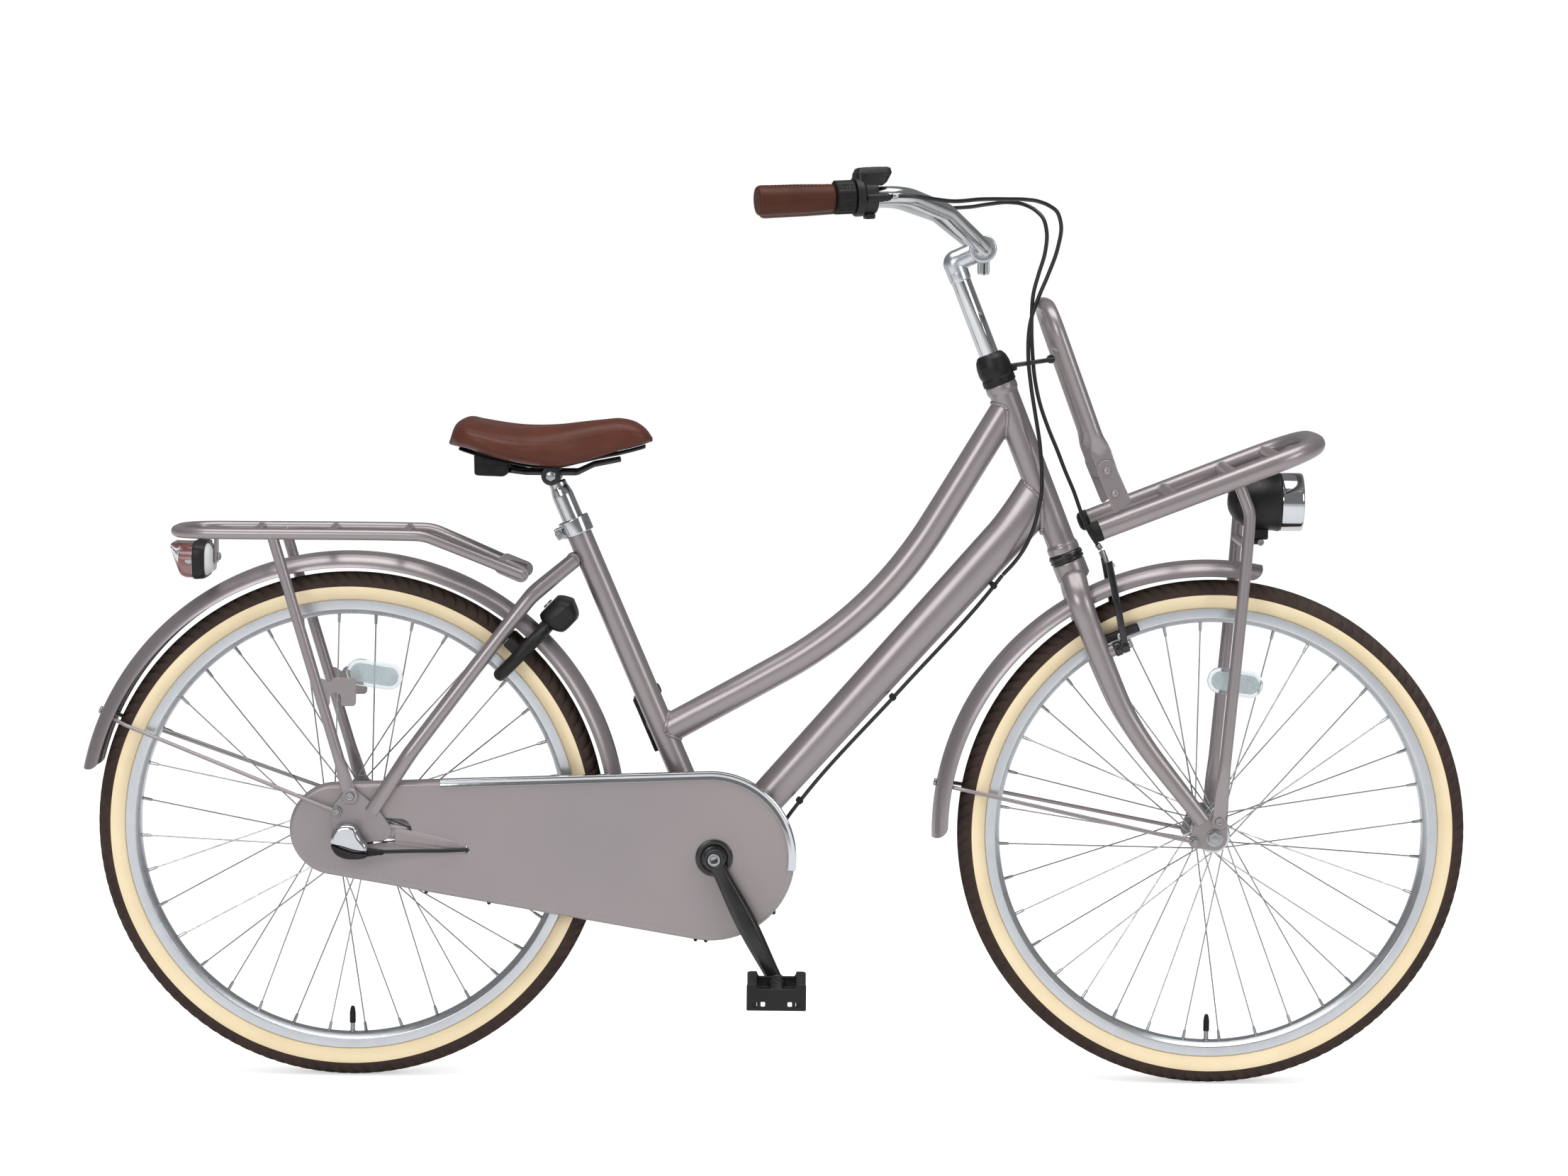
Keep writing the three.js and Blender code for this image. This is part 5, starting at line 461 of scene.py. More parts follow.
def makeWearGroup():  # rubbed edges: where a rounded normal leaves the true one, broken up by noise
    group, given, close = newGroup("edgeWear", [("Place", placeSocket, None), ("Radius", numberSocket, 0.0012),
                                                ("Amount", numberSocket, 0.5)], "Mask")
    rounded = node(group, "Bevel", {"Radius": given[1]}, samples=4)
    true = node(group, "NewGeometry", output="Normal")
    alike = node(group, "VectorMath", {0: rounded, 1: true}, "Value", operation="DOT_PRODUCT")
    edge = node(group, "MapRange", {0: alike, 1: 0.995, 2: 0.9})
    noise = node(group, "TexNoise", {"Vector": given[0], "Scale": 130.0, "Detail": 8.0})
    patch = node(group, "MapRange", {0: noise, 1: 0.45, 2: 0.62})
    worn = node(group, "Math", {0: edge, 1: patch}, operation="MULTIPLY")
    return close(node(group, "Math", {0: worn, 1: given[2]}, operation="MULTIPLY", use_clamp=True))


def makeDustGroup():  # dust that settles on faces turned up, in patches
    group, given, close = newGroup("dust", [("Place", placeSocket, None), ("Amount", numberSocket, 0.2)], "Mask")
    up = node(group, "SeparateXYZ", {0: node(group, "NewGeometry", output="Normal")}, 2)
    facing = node(group, "MapRange", {0: up, 1: 0.2, 2: 1.0})
    noise = node(group, "TexNoise", {"Vector": given[0], "Scale": 45.0, "Detail": 7.0})
    both = node(group, "Math", {0: facing, 1: noise}, operation="MULTIPLY")
    return close(node(group, "Math", {0: both, 1: given[1]}, operation="MULTIPLY", use_clamp=True))


cloud, grain, edgeWear, dust = makeCloudGroup(), makeGrainGroup(), makeWearGroup(), makeDustGroup()


def srgb(red, green, blue):  # display values of 0 to 255 as linear light
    value = np.array([red, green, blue]) / 255
    return (*np.where(value < 0.04045, value / 12.92, ((value + 0.055) / 1.055) ** 2.4), 1.0)


def useGroup(tree, group, inputs):  # a group as one node
    return node(tree, "Group", inputs, node_tree=group)


def mixColour(tree, share, first, second):  # first, plus the share of the way to second
    return node(tree, "Mix", {0: share, 6: first, 7: second}, 2, data_type="RGBA")


# A Principled finish: two tones in patches, a roughness that drifts, layers of fine bumps, worn edges and dust.
# bumps holds (scale, cells, distance in mm); stretch squeezes the pattern's place along each axis.
def finish(name, colour, second=None, roughness=(0.3, 0.4), patch=9.0, bumps=(), wear=None, dusty=0.0, stretch=None,
           shader=None):
    material = bpy.data.materials.new(name)
    material.use_nodes = True
    tree = material.node_tree
    surface = tree.nodes["Principled BSDF"]
    for key, value in (shader or {}).items():
        surface.inputs[key].default_value = value
    where = node(tree, "TexCoord", output="Object")
    if stretch:
        where = node(tree, "Mapping", {"Vector": where, "Scale": stretch})
    patches = useGroup(tree, cloud, {"Place": where, "Scale": patch})
    tone = mixColour(tree, patches, srgb(*colour), srgb(*(second or [c * 0.93 for c in colour])))
    drift = useGroup(tree, cloud, {"Place": where, "Scale": patch * 5.3})
    rough = node(tree, "MapRange", {0: drift, 3: roughness[0], 4: roughness[1]})
    if wear:
        amount, wearColour, wearRadius = wear
        mask = useGroup(tree, edgeWear, {"Place": where, "Radius": wearRadius, "Amount": amount})
        tone = mixColour(tree, mask, tone, srgb(*wearColour))
    if dusty:
        mask = useGroup(tree, dust, {"Place": where, "Amount": dusty})
        tone = mixColour(tree, mask, tone, srgb(176, 168, 158))
        rough = node(tree, "Math", {0: rough, 1: mask}, operation="ADD", use_clamp=True)
    tree.links.new(tone, surface.inputs["Base Color"])
    tree.links.new(rough, surface.inputs["Roughness"])
    normal = None
    for scale, cells, depth in bumps:
        height = useGroup(tree, grain, {"Place": where, "Scale": scale, "Cells": cells})
        layer = {"Height": height, "Distance": depth / 1000, "Strength": 1.0}
        normal = node(tree, "Bump", {**layer, "Normal": normal} if normal else layer)
    if normal:
        tree.links.new(normal, surface.inputs["Normal"])
    return material


paint = finish("pearlPaint", (147, 140, 141), (143, 136, 138), (0.33, 0.37), 5, [(420, 0.3, 0.0015)],
               dusty=0.02, shader={"Metallic": 0.66, "Coat Weight": 0.5, "Coat Roughness": 0.16,
                                  "Specular Tint": (1.0, 0.95, 0.99, 1.0)})
casePaint = finish("caseEnamel", (150, 142, 143), (144, 137, 139), (0.34, 0.42), 4, [(420, 0.4, 0.008)],
                   dusty=0.03, shader={"Metallic": 0.4, "Coat Weight": 0.25, "Coat Roughness": 0.25})
chrome = finish("chrome", (206, 208, 211), (198, 201, 205), (0.04, 0.08), 12, [(300, 0.2, 0.0008)],
                shader={"Metallic": 1.0})
polished = finish("polishedAluminium", (200, 203, 206), (188, 191, 195), (0.13, 0.19), 16, [(500, 0.3, 0.0015)],
                  shader={"Metallic": 1.0})
brushed = finish("brushedAluminium", (206, 210, 214), (200, 204, 209), (0.26, 0.33), 14, [(700, 0.2, 0.002)],
                 shader={"Metallic": 1.0})
steel = finish("zincSteel", (168, 170, 172), (150, 152, 155), (0.22, 0.4), 30, [(800, 0.4, 0.01)],
               shader={"Metallic": 0.95})
blackPaint = finish("blackEnamel", (11, 11, 12), (16, 16, 17), (0.24, 0.36), 20, [(700, 0.3, 0.012)],
                    wear=(0.25, (90, 90, 92), 0.0006), dusty=0.04,
                    shader={"Coat Weight": 0.3, "Coat Roughness": 0.12})
blackPlastic = finish("blackPlastic", (13, 13, 14), (18, 18, 19), (0.36, 0.5), 26, [(1500, 0.8, 0.03)], dusty=0.05,
                      shader={"Specular IOR Level": 0.35})
blackRubber = finish("blackRubber", (16, 15, 15), (22, 21, 21), (0.6, 0.78), 26, [(1100, 0.7, 0.04)], dusty=0.08,
                     shader={"Specular IOR Level": 0.3})
sheath = finish("cableSheath", (10, 10, 11), (15, 15, 16), (0.3, 0.42), 40, [(600, 0.3, 0.01)])
tread = finish("brownTread", (58, 43, 37), (48, 36, 32), (0.7, 0.88), 24, [(900, 0.6, 0.05), (160, 0.2, 0.1)],
               dusty=0.12, shader={"Specular IOR Level": 0.3})
cream = finish("creamSidewall", (231, 214, 180), (224, 206, 170), (0.62, 0.76), 16, [(700, 0.5, 0.03)],
               shader={"Specular IOR Level": 0.3})
leather = finish("brownLeather", (86, 42, 28), (73, 34, 22), (0.38, 0.5), 22, [(620, 0.8, 0.09), (2300, 0.5, 0.03)],
                 shader={"Coat Weight": 0.04, "Coat Roughness": 0.3, "Specular IOR Level": 0.24})
gripLeather = finish("brownGrip", (72, 33, 18), (60, 27, 14), (0.4, 0.54), 30, [(700, 0.8, 0.06)],
                     shader={"Specular IOR Level": 0.22})
thread = finish("stitchThread", (92, 50, 38), (80, 44, 34), (0.6, 0.8), 60, [(2600, 0.5, 0.05)])
redLens = finish("redLens", (176, 20, 18), (160, 16, 14), (0.08, 0.16), 40, [(420, 0.9, 0.12)],
                 shader={"Transmission Weight": 0.35, "IOR": 1.49, "Coat Weight": 0.6})
clearLens = finish("clearLens", (232, 238, 240), (226, 233, 236), (0.03, 0.08), 30, [(300, 0.9, 0.06)],
                   shader={"Transmission Weight": 0.92, "IOR": 1.49})
prism = finish("prismPlastic", (206, 216, 218), (190, 202, 206), (0.12, 0.22), 40, [(330, 1.0, 0.5)],
               shader={"Transmission Weight": 0.55, "IOR": 1.49, "Coat Weight": 0.5})
whitePlastic = finish("whitePlastic", (214, 216, 214), (206, 208, 207), (0.3, 0.44), 30, [(900, 0.5, 0.02)])
print("finishes made")


# Wheels

wheel = {
    "tyreRadius": 324.7, "grooveDepth": 2.6, "treadPitches": 126, "stepsRound": 1008,
    "rimOuter": 289.0, "rimInner": 270.6, "rimHalfWidth": 14.2, "spokes": 36, "spokeRadius": 0.95,
    "phaseShare": 0.683, "crossDegrees": 60, "spokeOffset": 2.0, "circleInset": 3.5,
}
rearAxle, frontAxle = at(0, 0, axleHeight), at(wheelBase, 0, axleHeight)


# Rings of a (radius, y) profile round a wheel's axle; `sink` lowers each point's radius.
def wheelRing(profile, centre, turn, sink=0):
    profile = np.asarray(profile, float)
    radius = profile[None, :, 0] - sink
    c, s = np.cos(turn)[:, None], np.sin(turn)[:, None]
    rings = gridOf(radius * c, profile[None, :, 1], radius * s)
    return ringShape(rings + centre, looped=True)


# The tread is a lathe profile whose radius drops in slanted grooves; the grooves fade at the shoulder.
def tyreShape(centre):
    wallRadius = 307
    crown = through([(wheel["tyreRadius"], 0), (324.4, 5), (323.2, 10), (320.7, 15), (316.4, 19.4), (311, 22.2),
                     (wallRadius, 23.2)], 1.05)
    wall = through([(wallRadius, 23.2), (303.5, 23.4), (298.5, 22.2), (294, 18.8), (291, 15.4), (289.5, 12.2)],
                   2.2)[1:]
    half = np.vstack([crown, wall, [(282, 12.0)]])
    profile = np.vstack([half, (half[::-1] * [1, -1])[:-1]])
    turn = np.arange(wheel["stepsRound"]) / wheel["stepsRound"] * 2 * pi
    y = profile[:, 1][None, :]
    phase = turn[:, None] * wheel["treadPitches"] / (2 * pi) + np.abs(y) * 0.045 + np.where(y > 0, 0.5, 0)
    slant = np.clip((0.2 - np.abs(phase % 1 - 0.5)) / 0.08, 0, 1)
    ridge = np.clip((np.abs(y) - 3.2) / 1.0, 0, 1)
    rib = np.clip(1 - np.abs(np.abs(y) - 11.5) / 1.1, 0, 1)
    fade = np.clip((profile[:, 0][None, :] - 309.5) / 5, 0, 1) * (np.abs(y) < 23)
    sink = wheel["grooveDepth"] * np.maximum(slant * ridge, rib * 0.8) * fade
    points, faces = wheelRing(profile, centre, turn, sink)
    count = len(profile)
    column = np.arange(len(faces)) % count
    isTread = (profile[column, 0] + np.roll(profile[:, 0], -1)[column]) / 2 > wallRadius
    grouped = np.array(faces)
    return points, grouped[isTread].tolist(), grouped[~isTread].tolist()


# Both ends of every spoke: holes alternate between the flanges, and pairs lean forward and back.
def spokeLines(halfLengthFlange, flangeRadius):
    i = np.arange(wheel["spokes"])
    side = np.where(i % 2, -1, 1)
    pair = i // 2
    lead = np.where(pair % 2, -1, 1)
    hubTurn = (pair + (i % 2) / 2 + wheel["phaseShare"]) / (wheel["spokes"] / 2) * 2 * pi
    rimTurn = hubTurn + lead * radians(wheel["crossDegrees"])
    inner, outer = flangeRadius - wheel["circleInset"], wheel["rimInner"] + 1
    flangeY, rimY = side * (halfLengthFlange + lead * wheel["spokeOffset"]), side * wheel["spokeOffset"]
    start = gridOf(inner * np.cos(hubTurn), flangeY, inner * np.sin(hubTurn))
    end = gridOf(outer * np.cos(rimTurn), rimY, outer * np.sin(rimTurn))
    return start, end, side * lead


# Each spoke is a tube from its bent head to the rim, with a turned head and a turned nipple.
def spokeShapes(centre, flangePlace, flangeRadius):
    start, end, outward = spokeLines(flangePlace, flangeRadius)
    wires, nipples = [], []
    for a, b, lean in zip(start, end, outward):
        along, out = unit(b - a), axisY * np.sign(a[1]) * lean
        head = a + out * 2.4
        wires.append(tube([head, a, b - along * 3], wheel["spokeRadius"], squareTo(along), 8))
        wires.append(turned([(2.2, 0), (2.0, 0.9), (0.8, 1.2)], head - out * 0.2, out, 10))
        nipples.append(turned([(2.9, 0), (2.7, 1.2), (2.1, 1.8), (2.0, 9), (1.75, 12.5), (1.2, 13.2)],
                              b + along * 0.2, -along, 10))
    return [moved(shape, shift=centre) for shape in wires + nipples]


# A closed profile of (radius, y) pairs turned round the axle: outer walls, rounded heel and tyre bed.
def rimShape(centre):
    outer, inner, half = wheel["rimOuter"], wheel["rimInner"], wheel["rimHalfWidth"]
    heel = [(outer, half), (outer - 0.4, half), (outer - 11.5, half), (outer - 12.4, half - 0.7),
            (inner + 3.5, half - 3.2), (inner + 0.8, half - 6.2), (inner, half - 9.6), (inner - 0.1, 0)]
    full = heel + [(r, -y) for r, y in heel[::-1][1:]]
    bed = [(outer, -12.5), (281.4, -12.5), (280.6, -11), (280.4, 0), (280.6, 11), (281.4, 12.5), (outer, 12.5)]
    profile = softened(full + bed, 0.7, 2, closed=True)
    return wheelRing(profile, centre, np.arange(288) / 288 * 2 * pi)


# A clear oval clipped between the spokes: a frame, a raised prism panel and two clips.
def reflectorShapes(centre, angle):
    outline = lambda less: belt((196, -19, 17 - less), (196, 19, 17 - less), 18)
    turn = turnAbout("Y", -radians(angle))
    frameShape = slab(outline(0), -14.6, -8.2, edge=1.6)
    panel = slab(outline(5), -15, -13, edge=0.7)
    clips = [box((192, -9, z - 3), (200, -5.2, z + 3), 0.6) for z in (-24, 24)]
    return [moved(s, turn, centre) for s in (frameShape, *clips)], [moved(panel, turn, centre)]


# Half a profile of waist, flange and axle end, mirrored and turned.
def hubShape(centre, halfLength, flangePlace, flangeRadius, shellRadius):
    f, r, s = flangePlace, flangeRadius, shellRadius
    waist = s * 0.94 if s > 20 else s * 0.8
    half = [(waist, 0), (waist, f * 0.45), (s, f - 7), (s, f - 3.4), (r - 1, f - 3.2), (r, f - 2.4), (r, f + 2.4),
            (r - 1, f + 3.2), (s * 0.86, f + 3.4), (s * 0.7, f + 4), (11, halfLength - 2), (10, halfLength),
            (5.6, halfLength)]
    profile = softened([(radius, -y) for radius, y in half[::-1]] + half[1:], 1.2, 2)
    return turned(profile, centre, axisY, 72)


def valveShapes(centre):  # a stem and its cap, both turned
    foot = centre + at(0, 0, -wheel["rimInner"] - 0.5)
    stem = turned([(5, -1.5), (5, 0), (4.4, 1.2), (3.0, 1.6), (3.0, 12), (2.6, 12.6)], foot, axisZ, 18)
    cap = turned([(3.7, 12.2), (3.9, 13), (3.9, 25), (3.2, 30), (2.2, 33.5), (1.2, 34)], foot, axisZ, 18)
    return stem, cap


def makeWheel(which, body, centre, hub, reflectorAngle):
    points, treadFaces, wallFaces = tyreShape(centre)
    tyre = addPiece(f"{which}TyreFine", body, [f"{which}_tyre"], [((points, treadFaces + wallFaces), tread)],
                    40)
    tyre.data.materials.append(cream)
    owners = np.r_[np.zeros(len(treadFaces), int), np.ones(len(wallFaces), int)]
    tyre.data.polygons.foreach_set("material_index", owners)
    valve, cap = valveShapes(centre)
    addPiece(f"{which}RimFine", body, [f"{which}_rim"],
             [(rimShape(centre), brushed), (valve, steel), (cap, blackRubber)])
    addPiece(f"{which}HubFine", body, [f"{which}_hub"],
             [(hubShape(centre, *hub), polished), (spokeShapes(centre, hub[1], hub[2]), steel)])
    frameParts, panels = reflectorShapes(centre, reflectorAngle)
    addPiece(f"{which}Reflector", body, [], [(frameParts, clearLens), (panels, prism)])


makeWheel("rear", "rear_wheel", rearAxle, (38, 28, 33, 29), 81.5)
makeWheel("front", "front_wheel", frontAxle, (44, 33, 22, 14), 82)
print("wheels made")


# Frame tubes

bracket, seatTubeTop = at(465, 0, 295), at(285, 0, 710)
seatUp = unit(seatTubeTop - bracket)
headFoot, headAngle = at(907.5, 0, 684), radians(68.3)
headUp, headAhead = at(-cos(headAngle), 0, sin(headAngle)), at(sin(headAngle), 0, cos(headAngle))
headTube = {"length": 230, "radius": 18.25, "ringRadius": 20.4, "bore": 15.3}
seatTubeRadius, bridgeRadius = 15.9, 359.6
topCorners = at([404, 0, 452], [669, 0, 600], [833, 0, 871])
downStart, downEnd = at(474, 0, 300), at(876, 0, 753)
downAlong = unit(downEnd - downStart)


def onSteering(ahead, y, up):  # a place measured from the head tube's foot
    return headFoot + headAhead * ahead + headUp * up + axisY * y


# A tube with a raised ring at each end: half a profile, mirrored and turned.
def headTubeShape():
    length, radius, ring, bore = (headTube[key] for key in ("length", "radius", "ringRadius", "bore"))
    half = [(bore, 0), (ring - 1, 0), (ring, 1), (ring, 8), (ring - 0.4, 9.5), (radius, 13)]
    return lathe(half + [(r, length - z) for r, z in half[::-1]], 1.2, 2, headFoot, headUp, 64)


# Round at the foot, a standing oval at the head, with a gusset that drops from its lower side.
def downTubeShape():
    share = np.linspace(0, 1, 60)
    path = downStart + share[:, None] * (downEnd + downAlong * 5 - downStart)
    height, width = mix(22.5, 27, share), mix(22.5, 17.6, share)
    outline = oval(width, height, 48)
    drop = 9 * np.clip((share - 0.88) / 0.12, 0, 1) ** 1.5
    outline[..., 1] += np.where(outline[..., 1] > 0, drop[:, None] * outline[..., 1] / height[:, None], 0)
    return carry(path, outline, axisY)


# An oval along bent corners; from the middle on its width falls to a flat end.
def chainStayShape(side):
    corners = [(450, side * 24, bracket[2]), (330, side * 41, 304), (92, side * 42, 319),
               (44, side * 62.5, axleHeight), (33, side * 62.5, axleHeight)]
    path = through(bent(corners, 60, 8), 5)
    share = shares(path)
    flat = np.clip((share - 0.45) / 0.55, 0, 1) ** 0.8
    return carry(path, oval(mix(9, 2.2, flat), mix(10.5, 9.5, flat), 28), axisY)


# An oval along bent corners that narrows near the dropout.
def seatStayShape(side):
    corners = [(283, side * 12, 668), (228, side * 34, 622), (78, side * 63, 424), (30, side * 64.5, 350)]
    path = through(bent(corners, 57, 8), 6)
    share = shares(path)
    width, height = mix(9.5, 4.2, eased(share, 0.78, 0.2)), mix(9.5, 8.8, np.clip((share - 0.78) / 0.2, 0, 1))
    return carry(path, oval(width, height, 28), axisY)


# A plate drawn tight round five circles, with a slot for the axle.
def dropoutShape(side):
    outline = around([(0, axleHeight, 17), (44, axleHeight, 12), (4, 371, 10), (-13, 351, 8), (30, 350, 10)])
    slot = belt((0, axleHeight, 5.4), (-2, axleHeight, 5.4), 12)
    return slab(outline, side * 60, side * 65, [slot], 1.0)


# Beads where the tubes meet: each seam is found on the two tubes' own surfaces.
def frameWelds():
    foot, knee, end = topCorners
    return [
        weldBead(end, unit(end - knee), (17.7, 19), headFoot, headUp, headTube["radius"], 2.4),
        weldBead(downEnd - downAlong * 20, downAlong, (17.6, 31), headFoot, headUp, headTube["radius"], 2.8),
        weldBead(foot, unit(foot - knee), (15.6, 19), bracket, seatUp, seatTubeRadius, 2.2),
    ]


def standBracketShapes():  # a plate and two cheeks
    plate = box((374, -24, 290.2), (420, 54, 299.8), 1.6)
    cheeks = [box((388, y, 265), (406, y + 5, 297), 1.4) for y in (25.7, 49.3)]
    return [plate, *cheeks]


def makeFrame():
    topPath = through(bent(topCorners, 532, 30), 8)
    share = shares(topPath)
    topWidth = np.interp(share, [0, 0.04, 0.16, 0.88, 0.96, 1], [15.5, 15.6, 19, 19, 17.7, 17.6])
    topOutline = oval(topWidth, 19 + 0 * share, 48)
    addPiece("headTubeFine", "frame", ["head_tube"], [(headTubeShape(), paint)])
    addPiece("topTubeFine", "frame", ["top_tube"], [(carry(topPath, topOutline, axisY), paint)])
    addPiece("downTubeFine", "frame", ["down_tube"], [([downTubeShape(), *frameWelds()], paint)])
    length, r = np.linalg.norm(seatTubeTop - bracket), seatTubeRadius
    seatTube = turned([(14.1, 8), (r, 8), (r, length - 0.6), (r - 0.5, length), (14.1, length)], bracket, seatUp,
                      56, True)
    shell = lathe(ringProfile(9.5, 20, -34, 34, 1, 1), 0.8, 2, bracket, axisY, 56)
    addPiece("seatTubeFine", "frame", ["seat_tube"], [([seatTube, shell], paint)])
    stays = [chainStayShape(s) for s in sides] + [dropoutShape(s) for s in sides] + standBracketShapes()
    addPiece("chainStaysFine", "frame", ["chainstays"], [(stays, paint)])
    spread = atan2(622 - axleHeight, 228)
    bridge = [rearAxle + at(bridgeRadius * cos(spread), y, bridgeRadius * sin(spread)) for y in (-34, 34)]
    upper = [seatStayShape(s) for s in sides] + [rod(*bridge, 7, 28, 0),
            rod((281, -14, 668), (281, 14, 668), 9.3, 28, 2)]
    addPiece("seatStaysFine", "frame", ["seatstays"], [(upper, paint)])
    ring = lathe([(16.2, -9), (19.4, -9), (20, -8), (20, 11), (19.2, 12), (14.2, 12), (14.2, 1), (16.2, 1)], 0.7, 2,
                 seatTubeTop, seatUp, 56)
    turn = basis(seatUp, headAhead)
    lugs = [moved(box((-28, y, -7), (-16, y + 6.4, 8), 1.4), turn, seatTubeTop) for y in (-7.4, 1)]
    across, middle = turn @ axisY, seatTubeTop + turn @ at(-24, 0, 1)
    screw = [rod(middle - across * 10, middle + across * 10, 2.6, 16), bolt(middle - across * 7.4, -across, 4.4, 4),
             hexNut(middle + across * 7.4, across, 4.6, 3.6)]
    addPiece("seatClampFine", "frame", ["seat_clamp"], [([ring, *lugs], polished), (screw, steel)])
    cup = [(15.3, -11.7), (20.4, -11.7), (22, -10.6), (22, -8.6), (20.9, -8.0), (20.9, -6.6), (22, -6), (22, -3),
           (20.6, -0.3), (15.3, -0.3)]
    addPiece("lowerHeadsetFine", "frame", ["lower_headset"],
             [(lathe(cup, 0.4, 2, headFoot, headUp, 56), blackPaint)])


makeFrame()
print("frame made")


# Mudguards and their wire stays

guard = {"rearRadius": 352, "frontRadius": 351, "halfWidth": 28, "depth": 22, "thickness": 1.3, "lipDegrees": 84,
         "crease": 0.5, "endRadius": 15, "wire": 2.6}


# A bent strip: half width x sin, radius less depth x (1 - cos), with two lengthwise creases and rounded ends.
def guardShape(centre, radius, start, end):
    inset = guard["endRadius"] * (1 - np.cos(np.linspace(0, pi / 2, 9)))
    first, last = radians(start), radians(end)
    turn = np.sort(np.r_[first + inset / radius, np.linspace(first, last, 150)[2:-2], last - inset / radius])
    distance = np.minimum(turn - first, last - turn) * radius
    corner = np.clip(guard["endRadius"] - distance, 0, None)
    cut = guard["endRadius"] - np.sqrt(np.maximum(guard["endRadius"] ** 2 - corner ** 2, 0))
    width = 1 - cut / guard["halfWidth"]
    lean = np.linspace(-1, 1, 49)[None, :] * radians(guard["lipDegrees"]) * width[:, None]
    crease = guard["crease"] * np.exp(-((np.abs(lean) - 0.62) / 0.07) ** 2)
    outerY = guard["halfWidth"] * np.sin(lean)
    outerR = radius - guard["depth"] * (1 - np.cos(lean)) - 0.5 + crease
    hem = guard["thickness"] + 0.8 * np.clip((np.abs(lean) - 1.36) / 0.08, 0, 1)
    innerY, innerR = outerY - hem * np.sin(lean) * 0.9, outerR - hem * np.maximum(np.cos(lean), 0.25)
    y = np.concatenate([outerY, innerY[:, ::-1]], 1)
    r = np.concatenate([outerR, innerR[:, ::-1]], 1)
    return ringShape(gridOf(r * np.cos(turn)[:, None], y, r * np.sin(turn)[:, None]) + centre)


# One wire from bolt to bolt, bent across under the mudguard, an eye at each bolt and the bolt on the ridge.
def guardStayShapes(centre, radius, place, boltAt, faceY):
    wire = guard["wire"]
    eyeY = faceY + 0.3 + wire
    under = radius - 2.4 - wire
    spot = lambda r, y: at(r * cos(place), y, r * sin(place))
    edge = radius - guard["depth"]
    eye = at(boltAt[0], eyeY, boltAt[1])
    entry = spot(edge - wire * 6, 28)
    leave = eye + unit((entry - eye) * [1, 0, 1]) * 16
    half = [eye, leave, entry, spot(edge + wire, 28 - wire * 2.4), spot(under - wire * 1.8, 14), spot(under, 0)]
    path = bent(half + [p * [1, -1, 1] for p in half[-2::-1]], 9, 5)
    shapes, bolts = [moved(tube(path, wire, axisZ, 14), shift=centre)], []
    for side in sides:
        foot = centre + at(boltAt[0], side * (faceY + 0.3), boltAt[1])
        out = axisY * side
        eyeProfile = [(3, 0), (6, 0), (6.2, 0.6), (6.2, wire * 1.9), (6, wire * 2.1), (3, wire * 2.1)]
        shapes.append(turned(eyeProfile, foot, out, 28, True))
        bolts.append(bolt(foot + out * wire * 2.1, out, 4.4, 3.6))
    ridge = unit(spot(1, 0))
    bolts.append(bolt(centre + spot(radius - 0.2, 0), ridge, 4.8, 3))
    bolts.append(hexNut(centre + spot(under - 4, 0), ridge, 4.4, 4))
    return shapes, bolts


def makeGuards():
    rear, front = guard["rearRadius"], guard["frontRadius"]
    addPiece("rearGuardFine", "frame", ["rear_mudguard"], [(guardShape(rearAxle, rear, 2, 168.5), paint)])
    wires, bolts = guardStayShapes(rearAxle, rear, radians(156), (-13, 25), 65)
    addPiece("rearGuardStay", "frame", ["rear_mudguard_stay"], [(wires, paint), (bolts, steel)])
    centre = frontAxle - at(7, 0, 0)
    tab = tube([onSteering(0, 0, -38.4), onSteering(0, 0, -47.9)], 7.6, axisY, 28, 1)
    addPiece("frontGuardFine", "steering", ["front_mudguard"],
             [([guardShape(centre, front, 79, 181.5), tab], paint)])
    wires, bolts = guardStayShapes(centre, front, radians(170), (-18, -5), 54)
    addPiece("frontGuardStay", "steering", ["front_mudguard_stay"], [(wires, paint), (bolts, steel)])


makeGuards()
print("mudguards made")


# Rear carrier with the tail lamp

rearRack = {"z": 702, "rearX": -222, "halfWidth": 65, "bendX": 96, "foot": (218, 43, 652), "radius": 7,
            "barRadius": 5, "barShares": (0.31, 0.61, 0.91), "corner": 55}


# Upright rounded sections along X, from stations of (x, half width, bottom, top) with x rising.
def loft(stations, power):
    stations = np.array(stations, float)
    length = stations[-1, 0] - stations[0, 0]
    x = mix(stations[0, 0], stations[-1, 0], np.linspace(0, 1, max(int(length / 2.5), 4) + 1))
    half, low, high = (np.interp(x, stations[:, 0], stations[:, k]) for k in (1, 2, 3))
    return squareRings(x, half, (low + high) / 2, (high - low) / 2, power, 48, 0.5)


# A tube's end hammered flat: a plate with a round tip, a step thinner than the tube.
def flatEye(foot, along, length, width, thickness):
    turn = np.stack([unit(along), axisY, np.cross(unit(along), axisY)], -1)
    outline = belt((-length, 0, width * 0.96), (0, 0, width), 16)
    return moved(slab(outline, -thickness / 2, thickness / 2, edge=0.9), turn, foot)


